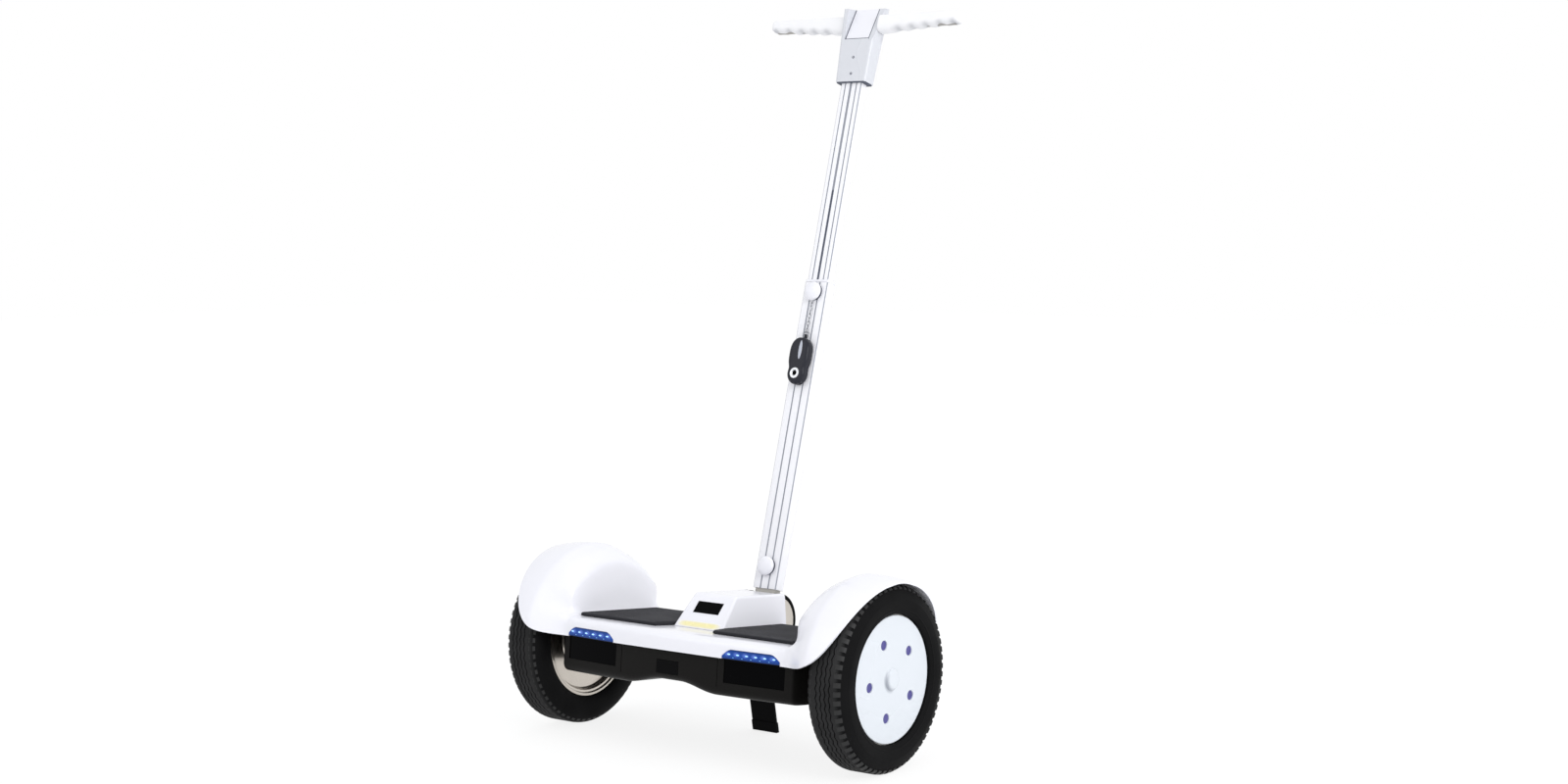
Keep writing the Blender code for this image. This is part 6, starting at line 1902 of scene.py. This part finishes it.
def make_fob_case():
    """The case with its eye, and a bright ridge across it, a painted highlight streak."""
    shares = [0.5 - 0.498 * cos(pi * step / 40) for step in range(41)]
    rings = []
    for depth, inset in FOB_SECTIONS:
        along = TUBE_FACE - FOB_REST - FOB_THICK * depth
        right = []
        for share in shares:
            height = FOB_TOP - FOB_LENGTH * (0.5 + (share - 0.5) * (1 - (1 - inset) * 0.45))
            right.append((min(fob_half(share), FOB_WIDTH / 2) * inset, height))
        rings.append([(x, along, z) for x, z in right + [(-x, z) for x, z in right[::-1]]])
    pocket = rod((0, FOB_BUTTON_Z), FOB_BUTTON_RADIUS + GAP, "Y", FOB_REAR - WALL, FOB_REAR + FOB_POCKET)
    half = FOB_TAB_HALF
    tab = box((-FOB_TAB_HALF_THICK, FOB_LOOP_Y - half, FOB_TOP - half),
              (FOB_TAB_HALF_THICK, FOB_LOOP_Y + half, FOB_EYE + half))
    hole = rod((FOB_LOOP_Y, FOB_EYE), CHAIN_LOOP_WIRE + 2 * GAP, "X", -WALL, WALL, steps=16)
    piece("fob_case_moulding", loft(rings), FOB, "fob_case", "fob", "fob_case", adds=(tab,),
          cuts=(pocket, hole), edge=0.3 * MM, sharp=45)
    # A bright bump that stands for a highlight streak on the case: a painted highlight.
    points, faces = ball((14.5 * MM, 1.7 * MM, 3 * MM), 20, 16)
    spot = Vector((3.2 * MM, FOB_REAR + 0.5 * MM, FOB_TOP - FOB_LENGTH * 0.28))
    ridge = ([(spot.x - z, spot.y + y, spot.z + x) for x, y, z in points], faces)
    piece("fob_ridge", ridge, FOB, "streak", "fob", sharp=60)


def make_fob_button():
    """A bright ring that can be pressed, with a dark centre."""
    key = FOB @ at(0, FOB_REAR, FOB_BUTTON_Z)
    inner = FOB_POCKET - 1.3 * MM
    outer = FOB_BUTTON_RADIUS
    proud = -FOB_BUTTON_PROUD
    ring = [(inner, 0), (inner, outer), (proud * 0.4, outer), (proud, outer - 0.8 * MM),
            (proud, outer * 0.6), (proud * 0.2, outer * 0.5), (0, 0)]
    piece("fob_button_ring", turned(ring, "Y", 48), key, "chrome", "fob_key", "fob_button", sharp=30)
    centre = [(0.1 * MM, 0), (0.1 * MM, outer * 0.52), (-0.25 * MM, outer * 0.46), (-0.5 * MM, 0)]
    piece("fob_button_centre", turned(centre, "Y", 32), key, "gloss_black", "fob_key")


def make_fob_chain():
    """A ring round the knob's shank, one in the case's eye, and the links between them."""
    plane = TUBE_FACE - KNOB_STANDOFF / 2
    sag = CHAIN_RING_RADIUS - CHAIN_WIRE - KNOB_SHANK_RADIUS - GAP
    loop = FOB_EYE + CHAIN_LOOP_RADIUS
    rings = together(wire_ring((0, plane, -sag), CHAIN_RING_RADIUS, CHAIN_WIRE),
                     wire_ring((0, FOB_LOOP_Y, loop), CHAIN_LOOP_RADIUS, CHAIN_LOOP_WIRE))
    piece("fob_rings", rings, FOB, "chain", "fob", "fob_chain", sharp=60)
    start = Vector((0, plane, -sag - CHAIN_RING_RADIUS - CHAIN_WIRE))
    end = Vector((0, FOB_LOOP_Y, loop + CHAIN_LOOP_RADIUS + CHAIN_LOOP_WIRE))
    count = sizes().link_count
    values = {"Count": count, "Start": start, "Step": (end - start) / (count - 1), "Turn": (0, 0, LINK_TURN)}
    repeated("fob_links", link_shape(), row_pattern, values, FOB, "chain", "fob", sharp=60)


def make_fob():
    make_fob_case()
    make_fob_button()
    make_fob_chain()


# Head and handle

def head_half_depth(share):
    return mix(HEAD_FOOT_HALF[1], HEAD_TOP_HALF[1], share)


def head_ring(share):
    """A rounded section of the head, with its top plane tilted to lie level."""
    ring = []
    half_width = mix(HEAD_FOOT_HALF[0], HEAD_TOP_HALF[0], share)
    for x, y in rounded(half_width, head_half_depth(share), HEAD_ROUND, 8):
        top = mix(HEAD_TOP_REAR, HEAD_TOP_FRONT, (y / HEAD_TOP_HALF[1] + 1) / 2)
        ring.append((x, y, mix(HEAD_FOOT, top, share)))
    return ring


def badge_outline(back, front, ends):
    """A band along the badge's slope, by its distances in from the outer face."""
    run = (BADGE_HEAD[0] - BADGE_FOOT[0], BADGE_HEAD[1] - BADGE_FOOT[1])
    length = hypot(*run)
    along = (run[0] / length, run[1] / length)
    inward = (along[1], -along[0])
    corners = []
    for end, depth in ((-ends, back), (length + ends, back), (length + ends, front), (-ends, front)):
        corners.append((BADGE_FOOT[0] + along[0] * end + inward[0] * depth,
                        BADGE_FOOT[1] + along[1] * end + inward[1] * depth))
    return corners


def head_hollows():
    """What both shells of the head lose: two pockets, the tube's hole and the handle's bore."""
    ledge = BADGE_CHEEK - BADGE_LEDGE
    shelf = BADGE_FOOT[1] - HEAD_SHELF
    deep = HEAD_FOOT_HALF[1] - HEAD_WALL
    out = 2 * HEAD_TOP_HALF[0]
    return [box((-HEAD_POCKET_HALF, -deep, HEAD_FOOT + HEAD_WALL), (HEAD_POCKET_HALF, deep, shelf)),
            box((-ledge, -deep, shelf - HEAD_SHELF / 2),
                (ledge, HEAD_TOP_HALF[1] - HEAD_WALL, HEAD_TOP_REAR + HEAD_SHELF / 2)),
            tube_block(UPPER_HALF, GAP, HEAD_FOOT - WALL, HEAD_FOOT + 2 * HEAD_WALL),
            rod((HANDLE_AHEAD, HANDLE_HEIGHT), HANDLE_TUBE_RADIUS + GAP, "X", -out, out)]


def badge_cuts():
    """The seat of the badge, and the right cheek cut down flush with it."""
    above = -2 * HEAD_TOP_HALF[1]
    wide = badge_outline(above, BADGE_THICK + GAP, 2 * WALL)
    start = badge_outline(above, BADGE_THICK + GAP, 0)
    return [prism([start[0], wide[1], wide[2], start[3]], "X", -BADGE_CHEEK, BADGE_CHEEK),
            prism(badge_outline(above, 0, WALL), "X", BADGE_CHEEK - GAP, 2 * HEAD_TOP_HALF[0])]


def make_head_shells():
    out = 2 * HEAD_TOP_HALF[0]
    high = HEAD_TOP_FRONT + WALL
    for word, kept in (("rear", -1), ("front", 1)):
        seam = HEAD_SPLIT + kept * GAP / 2
        spare = sorted((seam, seam - kept * out))
        cuts = [box((-out, spare[0], HEAD_FOOT - WALL), (out, spare[1], high))] + head_hollows()
        if kept < 0:
            cuts += badge_cuts()
        # The head's shells take the darker copy of the white, as painted shade.
        piece(f"head_{word}_moulding", loft([head_ring(0), head_ring(1)]), POLE, "head_white", "upper_pole",
              f"head_{word}_shell", cuts=cuts, edge=0.5 * MM, sharp=40)


def make_badge():
    """The bare badge panel, with dark liners at both sides and at its foot that paint the shade in its gaps
    and under its ledge.
    """
    half = BADGE_HALF_WIDTH - BADGE_SEAM
    badge = badge_outline(0, BADGE_THICK, -GAP)
    piece("badge_panel_plain", prism(badge, "X", -half, half), POLE, "white", "upper_pole", "badge_panel",
          edge=0.3 * MM)
    # The liners beside the panel are painted shade in the gaps.
    liner = badge_outline(BADGE_THICK * 0.1, BADGE_THICK * 0.9, -GAP)
    for side, word in SIDES:
        ends = ordered(side, half + 0.02 * MM, BADGE_CHEEK + 0.2 * MM)
        piece(f"badge_seam_{word}", prism(liner, "X", *ends), POLE, "seam", "upper_pole")
    # The line under the panel's foot is a painted shadow of its ledge.
    low, above_low, above_high, high = badge_outline(-0.15 * MM, BADGE_THICK * 0.9, -GAP)
    ends = [tuple(a + (b - a) * BADGE_SEAM / 34 / MM for a, b in zip(start, end))
            for start, end in ((low, above_low), (high, above_high))]
    piece("badge_seam_foot", prism([low, *ends, high], "X", -half, half), POLE, "seam", "upper_pole")


def make_foot_shadow():
    """A painted shadow: the dark line at the head's foot, round the tube."""
    outline = rounded(HEAD_FOOT_HALF[0] - 1.2 * MM, HEAD_FOOT_HALF[1] - 1 * MM, HEAD_ROUND)
    piece("head_gasket", prism(outline, "Z", HEAD_FOOT - 1.1 * MM, HEAD_FOOT + 0.2 * MM), POLE, "seam",
          "upper_pole", cuts=(tube_block(UPPER_HALF, 0, HEAD_FOOT - WALL, HEAD_FOOT + WALL),))


def make_head_screws():
    for height in HEAD_SCREW_HEIGHTS:
        face = -head_half_depth((height - HEAD_FOOT) / (HEAD_TOP_REAR - HEAD_FOOT))
        screw = [(face + 1 * MM, 0), (face + 1 * MM, 2 * MM), (face - 0.15 * MM, 2 * MM),
                 (face - 0.45 * MM, 1.4 * MM), (face - 0.5 * MM, 0)]
        socket = prism(circle((0, height), 1.3 * MM, 6), "Y", face - 1 * MM, face + 0.8 * MM)
        piece(f"head_screw_{round(height / MM)}", turned(screw, "Y", 24, (0, height)), POLE, "seam",
              "upper_pole", cuts=(socket,), sharp=30)


def make_head():
    make_head_shells()
    make_badge()
    make_foot_shadow()
    make_head_screws()


def grip_ring(x):
    """The grip's section: flat on top, scalloped below, smaller at its tip."""
    side = abs(x)
    root = HEAD_TOP_HALF[0]
    share = (side - root) / (GRIP_TIP_X - root)
    height = mix(GRIP_ROOT_HEIGHT, GRIP_TIP_HEIGHT, share)
    turns = (side - SCALLOP_FIRST_X) / SCALLOP_PITCH
    if -0.5 < turns < SCALLOP_COUNT - 0.5:
        height -= SCALLOP_DEPTH * (1 + cos(TAU * turns)) / 2
    thick = GRIP_THICK * (1 - 0.12 * share)
    top = HANDLE_HEIGHT + GRIP_ROOT_HEIGHT / 2
    end = limited((GRIP_TIP_X - side) / GRIP_NOSE)
    tuck = 1 - 0.25 * (1 - sqrt(end * (2 - end)))
    middle = top - height / 2
    ring = []
    for step in range(36):
        turn = TAU * (step + 0.5) / 36
        across = copysign(abs(cos(turn)) ** GRIP_SQUARENESS, cos(turn))
        up = copysign(abs(sin(turn)) ** GRIP_SQUARENESS, sin(turn))
        ring.append((x, GRIP_CENTRE_AHEAD + thick / 2 * tuck * across, middle + height / 2 * tuck * up))
    return ring


def make_handle():
    root = HEAD_TOP_HALF[0] - GAP
    body = GRIP_TIP_X - GRIP_NOSE - root
    stations = [root + body * step / GRIP_STEPS for step in range(GRIP_STEPS + 1)]
    stations += [GRIP_TIP_X - GRIP_NOSE * share for share in (0.75, 0.5, 0.32, 0.17, 0.07, 0.02, 0)]
    for side, word in SIDES:
        ends = ordered(side, root - WALL, GRIP_TIP_X - GRIP_END_WALL)
        bore = rod((HANDLE_AHEAD, HANDLE_HEIGHT), HANDLE_TUBE_RADIUS + GAP, "X", *ends)
        piece(f"grip_{word}_moulding", loft([grip_ring(side * x) for x in stations]), POLE, "grip",
              "upper_pole", f"grip_{word}", cuts=(bore,), sharp=45)


# Stand, and what shows of the rest

def make_stand():
    dressed("stand_leg", STAND, "rubber", 0.6 * MM)
    lean = atan2(-STAND.translation.y, STAND.translation.z)
    floor = -STAND.translation.z
    thick = STAND_THICK / 2 + FOOT_COVER
    top = floor + FOOT_HEIGHT
    outline = [(ahead / cos(lean) - height * tan(lean), height)
               for height, ahead in ((floor, thick), (top, thick), (top, -thick), (floor, -thick))]
    wide = STAND_HALF_WIDTH + FOOT_COVER
    piece("stand_foot_moulding", prism(outline, "X", -wide, wide), STAND, "rubber", "stand", "stand_foot",
          edge=0.4 * MM)
    dressed("stand_pin", DECK, "steel", 0.3 * MM)


def make_screws():
    """Screws that hold the lower shell, sunk a little into its belly."""
    unit = turned(SCREW_PROFILE, "Z", 16)
    for side, word in SIDES:
        for ahead, end in ((-SCREW_Y, "rear"), (SCREW_Y, "front")):
            values = {"Count": 3, "Start": (side * SCREW_FIRST_X, ahead, -BELLY_SIDE),
                      "Step": (side * SCREW_STEP, 0, 0), "Turn": (0, 0, 1)}
            repeated(f"belly_screws_{end}_{word}", unit, row_pattern, values, DECK, "steel", "deck", sharp=30)


def finish_internals():
    """Gives the pieces that keep their own shapes the materials they are made of."""
    kept = {"steel": ["chassis", "handle_tube"], "battery": ["battery_pack"], "copper": [],
            "board": ["control_board", "foot_switch_sheet", "display_board"]}
    for _, word in SIDES:
        kept["steel"] += [f"axle_clamp_{word}", f"bearing_{word}_inner", f"bearing_{word}_outer"]
        kept["copper"].append(f"motor_core_{word}")
        kept["board"].append(f"light_board_{word}")
    for finish, nodes in kept.items():
        for node in nodes:
            painted(frame["nodes"][node].data, finish)


# Stage

def lamp(name, place, aim, size, power):
    """A square area lamp turned towards a point."""
    light = bpy.data.lights.new(name, "AREA")
    light.shape = "RECTANGLE"
    light.size = size
    light.size_y = size
    light.energy = power
    made = linked(name, light)
    made.location = place
    made.rotation_euler = (Vector(aim) - Vector(place)).to_track_quat("-Z", "Y").to_euler()


def seen_share(graph):
    """1 for rays from the camera, mirrors and glass, and 0 for the rays that only carry light."""
    rays = graph.tree.nodes.new("ShaderNodeLightPath")
    camera, glossy, glass = [Term(graph, rays.outputs[f"Is {kind} Ray"])
                             for kind in ("Camera", "Glossy", "Transmission")]
    return camera.maths("MAXIMUM", glossy).maths("MAXIMUM", glass)


def make_camera():
    camera = bpy.data.cameras.new("camera")
    camera.sensor_width = SENSOR_WIDTH
    camera.lens = PHOTO_FOCAL / PHOTO_WIDTH * SENSOR_WIDTH
    camera.clip_end = 60
    viewer = linked("camera", camera)
    viewer.location = CAMERA_PLACE
    viewer.rotation_euler = (radians(90 - CAMERA_DOWN), 0, radians(CAMERA_AZIMUTH))
    bpy.context.scene.camera = viewer


def make_floor():
    """A white floor that the camera sees almost without shadows."""
    floor = linked("floor", mesh_of("floor", box((-12, -12, -0.02), (12, 12, -0.0002))))
    mat = Finish("floor")
    cloud = mat.shade(mat.noise(3), (0.88, 0.88, 0.88), (0.92, 0.92, 0.92))
    mat.set(base_color=cloud, roughness=0.9)
    white = mat.add("ShaderNodeEmission", {}, {"Color": (1, 1, 1, 1), "Strength": FLOOR_GLOW})
    lit = Term(mat, mat.shader.outputs[0])
    share = seen_share(mat) * FLOOR_GLOW_SHARE
    mixed = mat.add("ShaderNodeMixShader", {}, {0: share, 1: lit, 2: white})
    mat.tree.links.new(mixed.socket, mat.tree.nodes["Material Output"].inputs["Surface"])
    floor.data.materials.append(mat.material)


def make_world():
    """White where the camera sees it, and a soft cool light on the pieces."""
    world = bpy.data.worlds.new("studio")
    world.use_nodes = True
    bpy.context.scene.world = world
    sky = Graph(world.node_tree)
    shown = sky.add("ShaderNodeBackground", {}, {"Color": (1, 1, 1, 1), "Strength": 1.0})
    soft = sky.add("ShaderNodeBackground", {}, {"Color": (0.97, 0.98, 1, 1), "Strength": SKY_STRENGTH})
    mixed = sky.add("ShaderNodeMixShader", {}, {0: seen_share(sky), 1: soft, 2: shown})
    sky.tree.links.new(mixed.socket, sky.tree.nodes["World Output"].inputs["Surface"])


def make_stage():
    make_camera()
    make_floor()
    make_world()
    for values in LAMPS:
        lamp(*values)
    bpy.context.scene.view_settings.view_transform = "Standard"


# Operators, one for each piece or group of like pieces

DONE = {"FINISHED"}


class SCOOTER_OT_stage(Operator):
    """Makes the camera, floor, world and lamps."""

    bl_idname = "scooter.stage"
    bl_label = "Stage"

    def execute(self, context):
        make_stage()
        return DONE


class SCOOTER_OT_cover(Operator):
    """Makes the one-piece top cover with its fenders."""

    bl_idname = "scooter.cover"
    bl_label = "Top cover"

    def execute(self, context):
        make_cover()
        return DONE


class SCOOTER_OT_lights(Operator):
    """Makes the two blue lights in the rear skirt."""

    bl_idname = "scooter.lights"
    bl_label = "Lights"

    def execute(self, context):
        make_lights()
        return DONE


class SCOOTER_OT_lower_shell(Operator):
    """Makes the black lower shell with its recessed panels."""

    bl_idname = "scooter.lower_shell"
    bl_label = "Lower shell"

    def execute(self, context):
        make_lower_shell()
        return DONE


class SCOOTER_OT_ports(Operator):
    """Makes the charge port with its flap, and the power button."""

    bl_idname = "scooter.ports"
    bl_label = "Ports and button"

    def execute(self, context):
        make_ports()
        return DONE


class SCOOTER_OT_pads(Operator):
    """Makes the two ribbed foot pads."""

    bl_idname = "scooter.pads"
    bl_label = "Foot pads"

    def execute(self, context):
        make_pads()
        return DONE


class SCOOTER_OT_hood(Operator):
    """Makes the console hood with its window and strip."""

    bl_idname = "scooter.hood"
    bl_label = "Console hood"

    def execute(self, context):
        make_hood()
        make_window()
        make_strip()
        return DONE


class SCOOTER_OT_hinge(Operator):
    """Makes the fold hinge with its discs, guards, bolt and hub."""

    bl_idname = "scooter.hinge"
    bl_label = "Fold hinge"

    def execute(self, context):
        make_hinge()
        return DONE


class SCOOTER_OT_wheels(Operator):
    """Makes both wheels: tyres, lugs, rims, valves and hubcaps."""

    bl_idname = "scooter.wheels"
    bl_label = "Wheels"

    def execute(self, context):
        make_wheels()
        return DONE


class SCOOTER_OT_pole(Operator):
    """Makes the two tubes of the pole, with the collar and the root."""

    bl_idname = "scooter.pole"
    bl_label = "Pole"

    def execute(self, context):
        make_pole()
        return DONE


class SCOOTER_OT_knobs(Operator):
    """Makes the two clamp knobs."""

    bl_idname = "scooter.knobs"
    bl_label = "Clamp knobs"

    def execute(self, context):
        make_knobs()
        return DONE


class SCOOTER_OT_fob(Operator):
    """Makes the key fob with its button, rings and chain."""

    bl_idname = "scooter.fob"
    bl_label = "Key fob"

    def execute(self, context):
        make_fob()
        return DONE


class SCOOTER_OT_head(Operator):
    """Makes the head's two shells, its bare badge panel and its screws."""

    bl_idname = "scooter.head"
    bl_label = "Head"

    def execute(self, context):
        make_head()
        return DONE


class SCOOTER_OT_handle(Operator):
    """Makes the two grips."""

    bl_idname = "scooter.handle"
    bl_label = "Grips"

    def execute(self, context):
        make_handle()
        return DONE


class SCOOTER_OT_stand(Operator):
    """Makes the parking stand and its pin."""

    bl_idname = "scooter.stand"
    bl_label = "Parking stand"

    def execute(self, context):
        make_stand()
        return DONE


class SCOOTER_OT_internals(Operator):
    """Gives the inner pieces their materials, and adds the belly's screws."""

    bl_idname = "scooter.internals"
    bl_label = "Internals"

    def execute(self, context):
        finish_internals()
        make_screws()
        return DONE


OPERATORS = (SCOOTER_OT_stage, SCOOTER_OT_cover, SCOOTER_OT_lights, SCOOTER_OT_lower_shell, SCOOTER_OT_ports,
             SCOOTER_OT_pads, SCOOTER_OT_hood, SCOOTER_OT_hinge, SCOOTER_OT_wheels, SCOOTER_OT_pole,
             SCOOTER_OT_knobs, SCOOTER_OT_fob, SCOOTER_OT_head, SCOOTER_OT_handle, SCOOTER_OT_stand,
             SCOOTER_OT_internals)


class SCOOTER_PT_pieces(bpy.types.Panel):
    """Lists the pieces and the values that they are made from."""

    bl_label = "Self-balancing scooter"
    bl_idname = "SCOOTER_PT_pieces"
    bl_space_type = "VIEW_3D"
    bl_region_type = "UI"
    bl_category = "Scooter"

    def draw(self, context):
        for group in (context.scene.scooter_sizes, context.scene.scooter_colours):
            for name in group.bl_rna.properties.keys():
                if name not in ("rna_type", "name"):
                    self.layout.prop(group, name)
        for operator in OPERATORS:
            self.layout.operator(operator.bl_idname)


CLASSES = (ScooterColours, ScooterSizes, *OPERATORS, SCOOTER_PT_pieces)


def register():
    for kind in CLASSES:
        bpy.utils.register_class(kind)
    bpy.types.Scene.scooter_colours = bpy.props.PointerProperty(type=ScooterColours)
    bpy.types.Scene.scooter_sizes = bpy.props.PointerProperty(type=ScooterSizes)


def unregister():
    del bpy.types.Scene.scooter_sizes
    del bpy.types.Scene.scooter_colours
    for kind in reversed(CLASSES):
        bpy.utils.unregister_class(kind)


def main():
    register()
    for operator in OPERATORS:
        group, name = operator.bl_idname.split(".")
        getattr(getattr(bpy.ops, group), name)()


if __name__ == "__main__":
    main()
